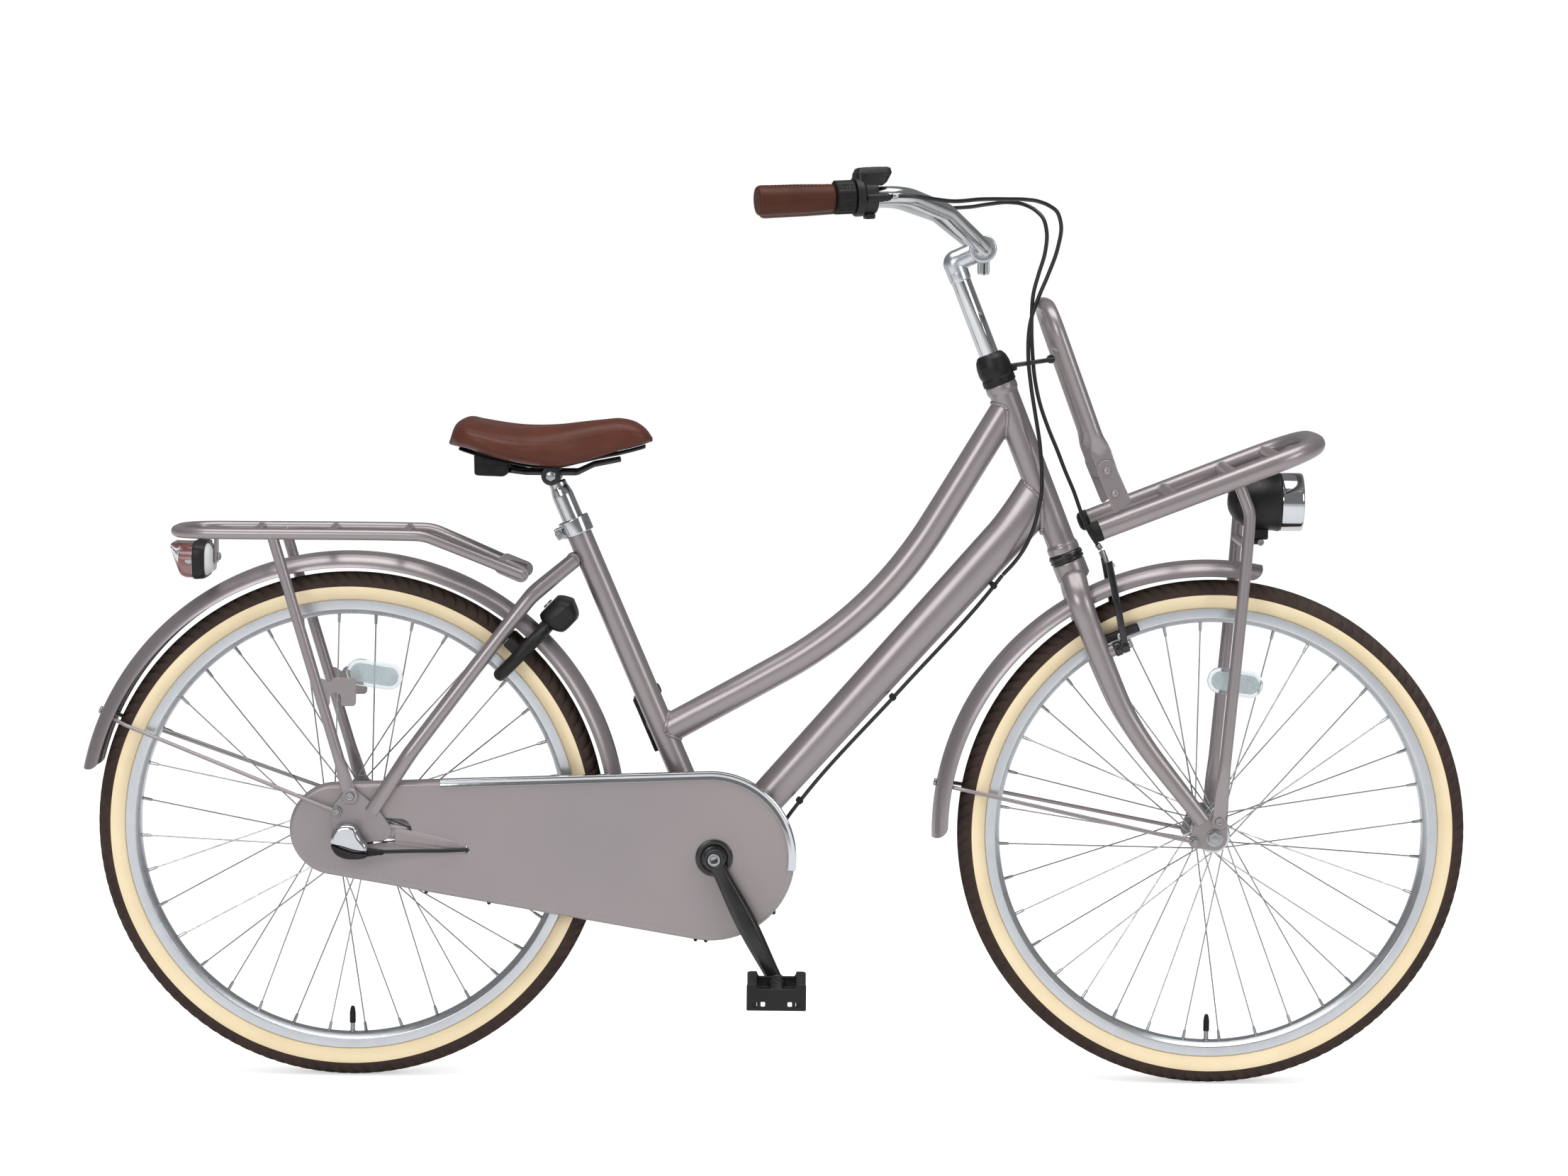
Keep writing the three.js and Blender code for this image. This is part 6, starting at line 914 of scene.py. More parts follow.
# A leg from the rail to the dropout's bolt; its width falls to a flat strap at the foot.
def rackStrutShapes(side):
    top, bottom = at(-95, side * rearRack["halfWidth"], rearRack["z"]), at(4, side * 68.2, 371)
    share = np.linspace(0, 1, 50)
    path = top + share[:, None] * (bottom - top)
    flat = eased(share, 0.84, 0.12)
    leg = carry(path, oval(mix(7, 2.5, flat), mix(7, 8.6, flat), 28), axisY)
    eye = turned(ringProfile(4, 10, -2.4, 2.4, 0.6, 0.6), bottom, axisY, 36, True)
    x, y, z = top + 0.6 * (bottom - top)
    hook = np.array([(0, -18), (15, -18), (17, -16), (17, -5), (20, -1), (27, -1), (31, -5), (31, -16), (33, -18),
                     (47, -18), (50, -15), (50, 15), (47, 18), (22, 18), (19, 15), (17, 11), (10, 16),
                     (0, 18)]) + [x - 3, z]
    plate = slab(softened(hook, 2.4, 3, closed=True), y - 1.5, y + 1.5, edge=0.6)
    return [leg, eye, plate], bolt(bottom + at(0, side * 2.4, 0), axisY * side, 5.4, 4.4)


# One loop of tube, cross bars with beads of weld, struts, front eyes and the lamp's tab.
def rearRackParts():
    rear, bend, half, z = (rearRack[key] for key in ("rearX", "bendX", "halfWidth", "z"))
    radius, thin, end = (rearRack[key] for key in ("radius", "barRadius", "foot"))
    corners = [(end[0], -end[1], end[2]), (bend, -half, z), (rear, -half, z), (rear, half, z), (bend, half, z), end]
    loop = through(bent(corners, rearRack["corner"], 14), 6)
    parts = [(tube(loop, radius, axisZ, 32), paint)]
    for share in rearRack["barShares"]:
        x = mix(rear, bend, share)
        beads = [weldBead(at(x, s * 50, z), axisY * s, (thin, thin), at(0, s * half, z), axisX, radius, 1.2, axisX)
                 for s in sides]
        parts.append(([rod((x, -half, z), (x, half, z), thin, 20, 0), *beads], paint))
    for side in sides:
        legs, head = rackStrutShapes(side)
        parts += [(legs, paint), (head, steel)]
        foot, along = at(end[0], side * end[1], end[2]), unit(at(122, -side * 22, -50))
        parts.append((flatEye(foot - along, along * [1, 0, 1], 26, 10, 5), paint))
        parts.append((bolt(foot + at(-14, side * 2.4, 6), axisY * side, 5, 3.4), steel))
        parts.append((bolt(foot + at(2, side * 2.4, -1), axisY * side, 4.4, 3), steel))
    tab = [box((-175.4, -12, 660), (-172.4, 12, 700), 1), box((-222, -12, 697.6), (-172.4, 12, 700.6), 1)]
    return parts + [(tab, paint)]


# From the rear: a clear lens over a red one and a white band, a black collar, a pale back and its bolt.
def makeTailLamp():
    collar = loft([(-199, 42.4, 640.4, 689), (-197, 43.2, 639.8, 689.6), (-187, 42.6, 640.6, 689.4),
                   (-184, 41, 643, 688)], 0.5)
    back = loft([(-185, 38, 644, 686), (-180, 34, 648, 684), (-176.4, 24, 650, 678)], 0.6)
    stud = rod((-177, 0, 668), (-168, 0, 668), 3, 16)
    nut = hexNut(at(-172.6, 0, 668), axisX, 5.5, 3.6)
    addPiece("tailLampBody", "frame", ["tail_lamp"],
             [(collar, blackPlastic), (back, whitePlastic), (stud, steel), (nut, steel)])
    clear = loft([(-227, 36, 677, 687), (-225, 37, 672, 687), (-221, 38.4, 660, 687), (-216, 39.6, 645, 687),
                  (-210, 40.6, 642, 687), (-199.4, 41.6, 641.4, 687)], 0.5)
    red = loft([(-217, 35, 660, 676), (-212, 36, 646, 678), (-200.5, 37, 645, 679)], 0.5)
    band = loft([(-208.2, 38.2, 662, 667), (-204, 38.6, 660, 668), (-200.2, 39, 660, 668)], 0.4)
    addPiece("tailLampLensFine", "frame", ["tail_lamp_lens"],
             [(clear, clearLens), (red, redLens), (band, whitePlastic)])


addPiece("rearCarrierFine", "frame", ["rear_carrier"], rearRackParts())
makeTailLamp()
print("rear carrier made")


# Front carrier, its backrest and the headlamp

frontRack = {"slopeDegrees": 21.5, "halfWidth": 100, "rearX": 943, "rearZ": 719, "frontX": 1219, "radius": 12.5,
             "corner": 70, "barShares": (0.36, 0.63, 0.83), "legKnee": (1136, 740), "legFoot": (1105, 348)}


def rail(x):  # the rail's height: a straight slope from its rear end
    return frontRack["rearZ"] + (x - frontRack["rearX"]) * tan(radians(frontRack["slopeDegrees"]))


# A sloping loop of tube with end caps, cross bars and two bent legs whose feet are flat eyes.
def frontRackParts():
    r = frontRack
    front, rear, y = r["frontX"], r["rearX"], r["halfWidth"]
    corners = [(rear, -y, rail(rear)), (front, -y, rail(front)), (front, y, rail(front)), (rear, y, rail(rear))]
    slope = at(sin(radians(r["slopeDegrees"])), 0, -cos(radians(r["slopeDegrees"])))
    parts = [(tube(through(bent(corners, r["corner"], 16), 6), r["radius"], -slope, 40), paint)]
    along = unit(at(front - rear, 0, rail(front) - rail(rear)))
    cap = [(8, 2), (12.9, 1.6), (13.2, 0), (13.1, -6), (11.6, -10.4), (7.6, -12.9), (1, -13.4)]
    parts += [(lathe(cap, 1, 2, at(rear, side * y, rail(rear)) + along * 1.2, along, 36, False), blackRubber)
              for side in sides]
    for share in r["barShares"]:
        x = mix(rear, front, share)
        inset = 0 if share < 0.8 else 3
        beads = [weldBead(at(x, side * 70, rail(x)), axisY * side, (8, 8), at(rear, side * y, rail(rear)), along,
                          r["radius"], 1.5, axisX) for side in sides]
        parts.append(([rod((x, -y + inset, rail(x)), (x, y - inset, rail(x)), 8, 24, 0), *beads], paint))
    barX, (kneeX, kneeZ), (footX, footZ) = mix(rear, front, r["barShares"][1]), r["legKnee"], r["legFoot"]
    for side in sides:
        path = through(bent([(barX, side * 64, rail(barX)), (kneeX, side * 64, kneeZ),
                             (mix(kneeX, footX, 0.9), side * 62, mix(kneeZ, footZ, 0.9)),
                             (footX, side * 57.7, footZ)], 34, 10), 6)
        flat = eased(np.arange(len(path)) / len(path), 0.82, 0.1)
        leg = carry(path, oval(mix(7.5, 2.6, flat), mix(7.5, 8.8, flat), 28), axisY)
        foot = at(footX, side * 57.4, footZ)
        eye = turned(ringProfile(4, 10, -2.6, 2.6, 0.6, 0.6), foot, axisY, 36, True)
        parts += [([leg, eye], paint), (bolt(foot + at(0, side * 2.6, 0), axisY * side, 5.4, 4.2), steel)]
    barZ = kneeZ - 40
    barX = mix(kneeX, footX, (kneeZ - barZ) / (kneeZ - footZ))
    return parts + [(rod((barX, -64, barZ), (barX, 64, barZ), 6, 20, 0), paint)]


# A loop of tube whose feet are pressed flat and riveted between two hinge plates on the rails.
def backrestShapes():
    top, hinge, foot, y = at(877, 0, 998), at(966, 0, 750), at(966, 0, 759), 97
    down = unit(foot - top)
    reachEnd = foot - down * 58
    corners = [reachEnd - axisY * y, top - axisY * y, top + axisY * y, reachEnd + axisY * y]
    loop = through(bent(corners, 45, 14), 5)
    distance = distances(loop)
    flat = 1 - eased(np.minimum(distance, distance[-1] - distance), 2, 26)
    normal = unit(np.cross(down, axisY))
    barAt = mix(hinge, top, 0.78)
    shapes = [carry(loop, oval(mix(9, 12.4, flat), mix(9, 2.4, flat), 32), normal),
              rod(barAt - axisY * y, barAt + axisY * y, 4.5, 20, 0)]
    turn = np.stack([normal, axisY, -down], -1)
    for s in sides:
        strap = slab(belt((0, -4, 11.6), (0, 30, 12.2), 16), s * (y - 2.3), s * (y + 2.3), edge=0.8)
        shapes.append(moved(strap, turn, reachEnd + down * 26))
        outline = softened([(-12, 27), (-8, 34), (0, 37), (8, 34), (12, 27), (16, -24), (-9, -33)], 5, 4,
                           closed=True)
        plate = slab(outline, s * (y + 2.6), s * (y + 5.4), edge=0.8)
        centre = hinge - down * 24 + normal * 2
        shapes.append(moved(plate, turn, centre))
        for up in (22, -8):
            place = centre - down * up + at(0, s * (y + 5.4), 0)
            shapes.append(turned([(5, 0), (5, 0.8), (4, 2.2), (2, 2.9), (0.6, 3)], place, axisY * s, 24))
    return shapes


# A black bell on its bracket, a bright ring, a reflector bowl with its lamp and a clear front.
def headlampParts():
    foot = at(0, 0, 751)
    bell = through([(2, 1114), (10, 1115.2), (17, 1118.6), (24, 1124), (30, 1133), (33.6, 1144), (35.6, 1158),
                    (36.6, 1172), (36.8, 1180), (33.6, 1180.4), (32, 1176)], 1.6)
    ring = [(33.8, 1180.6), (36.9, 1180.6), (37, 1192), (37, 1206), (36, 1208.4), (33.8, 1208.4), (33.6, 1200)]
    bowl = [(8, 1183), (16, 1185), (24, 1190), (30, 1197), (33, 1205), (32, 1205.4), (28, 1198), (22, 1191.4),
            (15, 1187), (8, 1185)]
    glass = through([(1, 1208.8), (16, 1208.6), (30, 1206.6), (32.8, 1204.8)], 1.4)
    black = [turned(bell, foot, axisX, 64), box((1146, -8, 703), (1166, 8, 717.5), 2),
             box((1142, -10, 697), (1160, 10, 703.5), 1.6)]
    bright = [lathe(ring, 0.9, 2, foot, axisX, 72), turned(bowl, foot, axisX, 64, True)]
    clear = turned(np.vstack([glass, [(32.4, 1203.6), (1, 1204.4)]]), foot, axisX, 64)
    lamp = turned([(3.6, 1183), (3.8, 1189), (3, 1193), (1, 1194.6)], foot, axisX, 24)
    screws = [bolt(at(1156, s * 10, 700), axisY * s, 4.4, 3) for s in sides]
    return black, bright, clear, lamp, screws


def makeFrontRack():
    addPiece("frontCarrierFine", "steering", ["front_carrier"], frontRackParts())
    addPiece("backrestFine", "steering", ["carrier_backrest"], [(backrestShapes(), paint)])
    black, bright, clear, lamp, screws = headlampParts()
    addPiece("headlampFine", "steering", ["headlamp"],
             [(black, blackPlastic), (bright, chrome), (screws, steel)])
    addPiece("headlampGlass", "steering", ["headlamp_lens"], [(clear, clearLens), (lamp, whitePlastic)])


makeFrontRack()
print("front carrier made")


# Chain case, its trim and back plate

case = {"rear": (-16, axleHeight, 59), "front": (460, 295, 108), "outerY": -57, "innerY": -36, "wall": 1.5,
        "slot": ((0, axleHeight, 19), (66, axleHeight, 15)), "bossHole": 21, "cableHole": (148, 302, 5.2),
        "trimStartX": 117, "trimLip": 8.5,
        "clips": ((540, 225), (503, 195), (455, 186), (395, 192), (330, 203), (262, 214), (180, 228), (100, 242))}


def caseOutline(inset, steps=40):  # the belt round both ends, drawn in by the inset
    (x1, z1, r1), (x2, z2, r2) = case["rear"], case["front"]
    return belt((x1, z1, r1 - inset), (x2, z2, r2 - inset), steps)


# Triangles of a flat outline round its holes, numbered in the order of the lines' points.
def filled(outline, holes):
    lines = [outline, *holes]
    flat = np.vstack(lines)
    edges, start = [], 0
    for line in lines:
        edges += [(start + k, start + (k + 1) % len(line)) for k in range(len(line))]
        start += len(line)
    made = geometry.delaunay_2d_cdt([Vector(p) for p in flat], edges, [], 0, 1e-6)
    source = np.array([numbers[0] for numbers in made[3]])
    faces = source[np.array([list(face) for face in made[2]])]
    middle = flat[faces].mean(1)
    kept = np.ones(len(faces), bool)
    for hole in holes:
        ahead = np.roll(hole, -1, 0)
        above = (hole[:, 1] > middle[:, 1:]) != (ahead[:, 1] > middle[:, 1:])
        rise = np.where(np.abs(ahead[:, 1] - hole[:, 1]) < 1e-9, 1e-9, ahead[:, 1] - hole[:, 1])
        crossing = hole[:, 0] + (middle[:, 1:] - hole[:, 1]) / rise * (ahead[:, 0] - hole[:, 0])
        kept &= (above & (middle[:, :1] < crossing)).sum(1) % 2 == 0
    return faces[kept]


# (inset, y) pairs go round the case's outline; the first and last rings are filled flat round the holes.
def panel(profile, holes):
    rings = [np.insert(caseOutline(inset), 1, y, axis=1) for inset, y in profile]
    count = len(rings[0])
    points, faces = [*rings], []

    def strip(first, second, number):
        for j in range(number):
            m = (j + 1) % number
            faces.append([first + j, first + m, second + m, second + j])

    for k in range(len(rings) - 1):
        strip(k * count, (k + 1) * count, count)
    start = len(rings) * count
    holeCount = sum(len(hole) for hole in holes)
    for inset, y in (profile[0], profile[-1]):
        points += [np.insert(hole, 1, y, axis=1) for hole in holes]
    for ring, base in ((0, start), (len(rings) - 1, start + holeCount)):
        numbers = np.r_[ring * count + np.arange(count), base + np.arange(holeCount)]
        faces += numbers[filled(caseOutline(profile[ring][0]), holes)].tolist()
    first = start
    for hole in holes:
        strip(first, first + holeCount, len(hole))
        first += len(hole)
    return np.vstack(points), faces


# The shell, a ridge over the cable whose height follows a powered sine, a row of dots and a row of clips.
def caseParts():
    y, wall = case["outerY"], case["wall"]
    turn = np.linspace(0, pi / 2, 6)
    outer = [(6 - 5 * sin(t), y + 5 - 5 * cos(t)) for t in turn]
    inner = [(wall + 4.5 - 3.5 * sin(t), y + wall + 3.5 - 3.5 * cos(t)) for t in turn]
    profile = [(11, y), (8, y)] + outer + [(0, y + 8), (0, case["innerY"] - 0.5), (0.5, case["innerY"])]
    profile += [(wall, case["innerY"])] + inner[::-1] + [(8, y + wall), (11, y + wall)]
    holes = [belt(*case["slot"], 20), circle(bracket[0], bracket[2], case["bossHole"], 48),
             circle(*case["cableHole"], 20)]
    shell = panel(profile, holes)
    channel = through([(60, 319), (90, 314.5), (120, 309), (140, 304), (150, 302)], 4)
    share, lean = shares(channel)[:, None], np.linspace(0, pi, 13)
    height = 3.4 * np.minimum(1, (1 - share) * 4 + 0.02)
    ridge = gridOf(channel[:, :1], y + 1 - height * np.sin(lean) ** 0.7,
                   channel[:, 1:] + mix(11, 6.5, share) * np.cos(lean))
    seam = joinedUp(caseOutline(10, 60))
    along = distances(seam)
    spots = placeAt(np.arange(0, along[-1], 9), along, seam)
    spots = spots[spots[:, 1] < 300 - (spots[:, 0] - 200) * 0.02]
    dots = [turned([(0.9, 0.2), (0.8, -0.35), (0.4, -0.55), (0.05, -0.6)], at(x, y, z), axisY, 8) for x, z in spots]
    clips = []
    edge = joinedUp(caseOutline(0, 60))
    along = distances(edge)
    for target in case["clips"]:
        k = np.argmin(np.linalg.norm(edge - target, axis=1))
        fine = placeAt(np.linspace(along[max(k - 1, 0)], along[min(k + 1, len(edge) - 1)], 60), along, edge)
        x, z = fine[np.argmin(np.linalg.norm(fine - target, axis=1))]
        clips.append(rod((x, -50, z), (x, -37.4, z), 2.6, 12, 0.8))
    return [([shell, ringShape(ridge), *dots], casePaint), (clips, blackPlastic)]


# A hooked section pushed out from the case's front centre, along the top of the outline.
def trimShape():
    outline = caseOutline(0, 80)
    top = outline[int(81 * 0.47):81]
    rear = outline[81]
    start = top[-1] + (rear - top[-1]) * (case["trimStartX"] - top[-1][0]) / (rear[0] - top[-1][0])
    line = np.vstack([top, np.linspace(top[-1], start, 40)[1:]])
    away = unit(line - case["front"][:2])
    away[len(top):] = away[len(top) - 1]
    lip = case["trimLip"]
    section = softened([(0.35, -45.3), (1.5, -45.3), (1.7, -51), (1.4, -57.6), (-0.4, -58.6), (-3.8, -58.5),
                        (-lip, -59.7), (-lip, -57.3), (0.35, -57.3)], 0.5, 3, closed=True)
    x, z = (line[:, None, k] + away[:, None, k] * section[:, 0] for k in (0, 1))
    return ringShape(gridOf(x, section[:, 1], z))


def makeCase():
    addPiece("chainCaseFine", "frame", ["chain_case"], caseParts(), smooth=40)
    opening = belt((0, axleHeight, 36), (bracket[0], bracket[2], 26), 24)
    back = slab(caseOutline(2.1), -37.5, -36, [opening], 0.4)
    addPiece("chainCaseBackFine", "frame", ["chain_case_back"], [(back, casePaint)])
    addPiece("chainCaseTrimFine", "frame", ["chain_case_trim"], [(trimShape(), chrome)], smooth=50)


makeCase()
print("chain case made")


# Chain, chainwheels, cranks and pedals

drive = {"pitch": 12.7, "ringTeeth": 38, "sprocketTeeth": 19, "lineY": -45, "crankLength": 175,
         "crankDegrees": 27.5}


def pitchRadius(teeth):  # pitch x teeth is the pitch circle's length
    return drive["pitch"] * teeth / (2 * pi)


# Round a toothed wheel the radius follows the pitch circle plus a wave whose valleys are wider than its tips.
def wheelTeeth(teeth):
    turn = np.arange(teeth * 10) / (teeth * 10) * 2 * pi
    wave = np.cos(turn * teeth)
    radius = pitchRadius(teeth) + 2.3 * powered(wave, 0.6) - 0.6
    return np.stack([radius * np.cos(turn), radius * np.sin(turn)], -1)


# Links follow the belt round both pitch circles: a roller at each pin, and plates that change side in turn.
def chainShape():
    path = joinedUp(belt((0, axleHeight, pitchRadius(drive["sprocketTeeth"]) + 0.6),
                         (bracket[0], bracket[2], pitchRadius(drive["ringTeeth"]) + 0.6), 80))
    s = distances(path)
    count = int(round(s[-1] / drive["pitch"] / 2)) * 2
    pins = placeAt(np.arange(count) / count * s[-1], s, path)
    ahead = np.roll(pins, -1, 0) - pins
    length = np.linalg.norm(ahead, axis=1).mean()
    along = unit(ahead)
    plate = belt((0, 0, 3.7), (length, 0, 3.7), 4)
    waist = 1 - 0.3 * np.exp(-((plate[:, 0] - length / 2) / 3) ** 2)
    plate = np.c_[plate[:, 0], plate[:, 1] * waist]
    n = len(plate)
    points, faces = [], []
    for k, (pin, (run, rise)) in enumerate(zip(pins, along)):
        x, z = pin[0] + plate @ at(run, -rise), pin[1] + plate @ at(rise, run)
        near, far = (2.0, 2.7) if k % 2 else (2.75, 3.35)
        for side in (-1, 1):
            base = len(points) * n
            for y in (near, far):
                points.append(gridOf(x, drive["lineY"] + side * y, z))
            faces += [[base + j, base + (j + 1) % n, base + n + (j + 1) % n, base + n + j] for j in range(n)]
            faces += [[base + j for j in range(n)], [base + n + j for j in range(n)]]
    plates = np.vstack(points), faces
    rollers = [turned([(0.3, -3.4), (1.6, -3.4), (1.6, -1.9), (3, -1.9), (3, 1.9), (1.6, 1.9), (1.6, 3.4),
                       (0.3, 3.4)], at(x, drive["lineY"], z), axisY, 8) for x, z in pins]
    return [plates] + rollers


# Stations along the arm: width swells in the middle, thickness thins, and the whole leans outward to the pedal.
def crankShapes(side, angle):
    down = at(sin(angle), 0, -cos(angle))
    across = at(cos(angle), 0, sin(angle))
    out = axisY * side
    share = np.linspace(0, 1, 60)
    length = drive["crankLength"]
    half = np.interp(share, [0, 0.08, 0.2, 0.35, 0.5, 0.65, 0.8, 0.92, 1],
                     [10, 9.6, 10.4, 12.4, 13.2, 12.6, 10.9, 9.6, 9.4])
    centre = np.interp(share, [0, 0.1, 0.6, 1], [69.4, 69.8, 78.6, 81])
    thick = np.interp(share, [0, 0.15, 0.5, 1], [8, 7, 6, 6.2])
    half, centre, thick = (averaged(v)[:, None, None] for v in (half, centre, thick))
    section = softened([(-1, 0.3), (-0.62, 1), (0.62, 1), (1, 0.3), (1, -0.75), (0.85, -1), (-0.85, -1),
                        (-1, -0.75)], 0.16, 3, True)
    rings = (down * (share * length)[:, None, None] + across * (section[:, :1] * half)
             + out * (section[:, 1:] * thick + centre))
    arm = ringShape(rings + bracket)
    boss = lathe([(9.2, 60.8), (13.4, 60.8), (14, 63), (14, 75), (12.6, 78), (9.2, 78), (8.4, 76), (8.4, 61)], 1, 3,
                 bracket, out, 48)
    foot = bracket + down * length
    eye = lathe([(4, 74.2), (10.6, 74.2), (11.4, 76), (11.4, 86), (10.2, 88), (4, 88)], 1, 3, foot, out, 40)
    cover = lathe([(8.3, 74.9), (8.3, 77.2), (7.6, 77.9), (5.4, 78), (4.6, 77), (4.4, 75.6), (0.4, 75.4)], 0.4, 2,
                  bracket, out, 36, False)
    stub = turned([(5.6, 87.6), (5.6, 90.6), (4.2, 91), (4.2, 91.6), (3.9, 92), (3.9, 179), (3, 179.4),
                   (0.3, 179.4)], foot, out, 20)
    return [arm, boss, eye], [cover, stub]


# A moulded pedal about its own axle: two tread bars with ribs, end plates with windows, and a middle barrel.
def pedalShapes(side):
    inner, outer = 92, 184
    half, low = 37, 17
    plate = softened([(-half, -low + 1), (half, -low + 1), (half, low - 1), (half - 4, low), (half - 12, low),
                      (half - 14, 11), (14 - half, 11), (12 - half, low), (4 - half, low), (-half, low - 1)], 1.6,
                     3, True)
    windows = [softened([(w * a, -11.6), (w * b, -11.6), (w * b, -5), (w * a, -5)], 1.2, 3, True)
               for w in (-1, 1) for a, b in ((14, 19.4), (24, 29.4))]
    ends = [slab(plate, side * y1, side * y2, windows, 0.7) for y1, y2 in ((inner, inner + 7), (outer - 7, outer))]
    bars = []
    for w in (-1, 1):
        outline = softened([(w * 25.5, -14.6), (w * 34.6, -14), (w * 35.4, -8), (w * 35.4, 8), (w * 34.6, 14),
                            (w * 25.5, 14.6)], 1.6, 2, True)
        bars.append(slab(outline, side * (inner + 2), side * (outer - 2), edge=0.8))
    rib = box((24.6, 0, 13), (36.4, 3.4, 16.9), 0.8)
    ribs = []
    for y in inner + 9.3 + np.arange(10) * 7.7:
        place = at(0, side * (y + 1.7) - 1.7, 0)
        ribs += [moved(rib, np.diag([w, 1, up]), place) for w in (1, -1) for up in (1, -1)]
    centre, out = at(0, 0, 0), axisY * side
    barrel = lathe([(4.4, inner + 0.2), (10, inner + 0.2), (11.2, inner + 3), (11.2, inner + 20), (9.6, inner + 24),
                    (9.6, outer - 24), (11.2, outer - 20), (11.2, outer - 3), (9.8, outer - 0.3),
                    (4.4, outer - 0.3)], 1, 2, centre, out, 40)
    web = [box((-26, side * y - 1.5, -3), (26, side * y + 1.5, 3), 0.8) for y in (inner + 30, inner + 46,
           inner + 62)]
    cap = turned([(4.3, outer - 0.6), (4.1, outer - 0.1), (0.4, outer - 0.1)], centre, out, 24)
    return ends + bars + ribs + [barrel] + web, [cap]


def makeDrive():
    addPiece("chainFine", "frame", ["chain"], [(chainShape(), steel)])
    faces = drive["lineY"] - 1.15, drive["lineY"] + 1.15
    holes = [circle(0, 0, 5.6, 32)] + [circle(20 * cos(a), 20 * sin(a), 4.6, 20) for a in np.arange(6) * pi / 3]
    disc = moved(slab(wheelTeeth(drive["sprocketTeeth"]), *faces, holes, 0.3), shift=rearAxle)
    sleeve = lathe([(5.6, -46.8), (10.8, -46.8), (10.8, -38.6), (5.6, -38.6)], 0.6, 2, rearAxle, axisY, 40)
    addPiece("sprocketFine", "driven_sprocket", ["rear_sprocket"], [([disc, sleeve], steel)])
    angle = radians(drive["crankDegrees"])
    black, bright = crankShapes(right, angle)
    holes = [circle(0, 0, 9.2, 32)] + [belt((42 * cos(a), 42 * sin(a), 14),
            (46 * cos(a + 0.5), 46 * sin(a + 0.5), 14), 10) for a in np.arange(5) * 2 * pi / 5]
    ring = moved(slab(wheelTeeth(drive["ringTeeth"]), *faces, holes, 0.3), shift=bracket)
    sleeve = lathe([(9.2, 43.9), (13.6, 43.9), (13.6, 60.4), (9.2, 60.4)], 0.6, 2, bracket, -axisY, 40)
    cap = lathe([(13, 57.7), (22.6, 57.7), (23.8, 58.6), (23.6, 59.6), (21.4, 60.5), (17.6, 60.3), (15.4, 59.6),
                 (13, 60.4)], 0.6, 3, bracket, -axisY, 72)
    addPiece("rightCrankFine", "cranks", ["right_crank"],
             [(black + [cap], blackPaint), (bright + [ring, sleeve], steel)], smooth=40)
    black, bright = crankShapes(left, angle + pi)
    addPiece("leftCrankFine", "cranks", ["left_crank"], [(black, blackPaint), (bright, steel)], smooth=40)
    axle = turned([(6, -74.6), (8.2, -74), (8.4, -60), (8.4, 60), (8.2, 74), (6, 74.6)], bracket, axisY, 32)
    addPiece("crankAxleFine", "cranks", ["crank_axle"], [(axle, steel)])
    reach = drive["crankLength"] * at(sin(angle), 0, -cos(angle))
    standing = np.stack([-seatUp, axisY, np.cross(-seatUp, axisY)], -1)
    for side, name, place, turn in ((right, "right", bracket + reach, np.eye(3)),
                                    (left, "left", bracket - reach, standing)):
        parts = [([moved(s, turn, place) for s in shapes], material)
                 for shapes, material in zip(pedalShapes(side), (blackPlastic, steel))]
        addPiece(f"{name}PedalFine", f"pedal_on_{name}", [f"{name}_pedal"], parts)


makeDrive()
print("drive made")


# Gear box on the hub, axles and side stand

def makeHubEnd():
    silver = softened([(-19.6, 312), (-18.4, 326), (-9, 336.6), (6, 338), (15, 334), (18, 322), (28.4, 312),
                       (28.4, 302), (12, 304), (-4, 309)], 8, 6, True)
    black = softened([(-20, 314), (-6, 306.4), (10, 301.4), (28.6, 301), (28.6, 296.4), (20, 293.4), (0, 293.2),
                      (-13, 299)], 7, 6, True)
    body = slab(silver, -93.7, -74.4, edge=5)
    face = slab(black, -93.4, -74.6, edge=4)
    boot = lathe([(1.8, 0), (5.6, 0), (5.6, 6), (4.4, 9), (4.8, 12), (3.6, 15), (3.9, 18), (3, 22), (2.7, 22)], 0.8,
                 2, at(26, -83, 302), axisX, 24, False)
    parts = [(body, polished), (face, blackPlastic), (boot, blackRubber)]
    addPiece("gearBoxFine", "frame", ["gear_selector_box"], parts, smooth=40)
    for name, body, place, face in (("rear_axle", "frame", rearAxle, 65.3),
                                    ("front_axle", "steering", frontAxle, 54.3)):
        shapes = [rod(place - axisY * (face + 7.8), place + axisY * (face + 7.8), 4.9, 24, 1)]
        for out in (-axisY, axisY):
            shapes.append(turned([(5, 0), (8.9, 0), (8.9, 1.4), (5, 1.4)], place + out * face, out, 32, True))
            shapes.append(hexNut(place + out * (face + 1.4), out, 8.8, 6))
        addPiece(name + "Fine", body, [name], [(shapes, steel)])


def makeSideStand():
    pivot = at(397, 40, 274)
    back = at(-cos(radians(10)), sin(radians(10)), 0)
    knots = [pivot + back * far - axisZ * sag for far, sag in ((6, 0), (40, 0.5), (100, 0), (180, 0), (244, 0),
             (256, 0))]
    leg = tube(through(knots, 6), 6.9, axisZ, 28, 1)
    profile = [(6.9, 238), (9.6, 238.4), (10.6, 242), (10.9, 256), (9.6, 261.4), (6, 262.2), (0.4, 262.3)]
    shoe = lathe(profile, 1.4, 3, pivot, back, 36, False)
    eye = lathe(ringProfile(5, 12, -8.9, 8.9, 1, 1.1), 0.5, 2, pivot, axisY, 44)
    pin = rod(pivot - axisY * 14, pivot + axisY * 14, 4.9, 24, 1)
    addPiece("sideStandFine", "side_stand", ["kickstand"],
             [([leg, eye], blackPaint), (shoe, blackRubber), (pin, steel)])


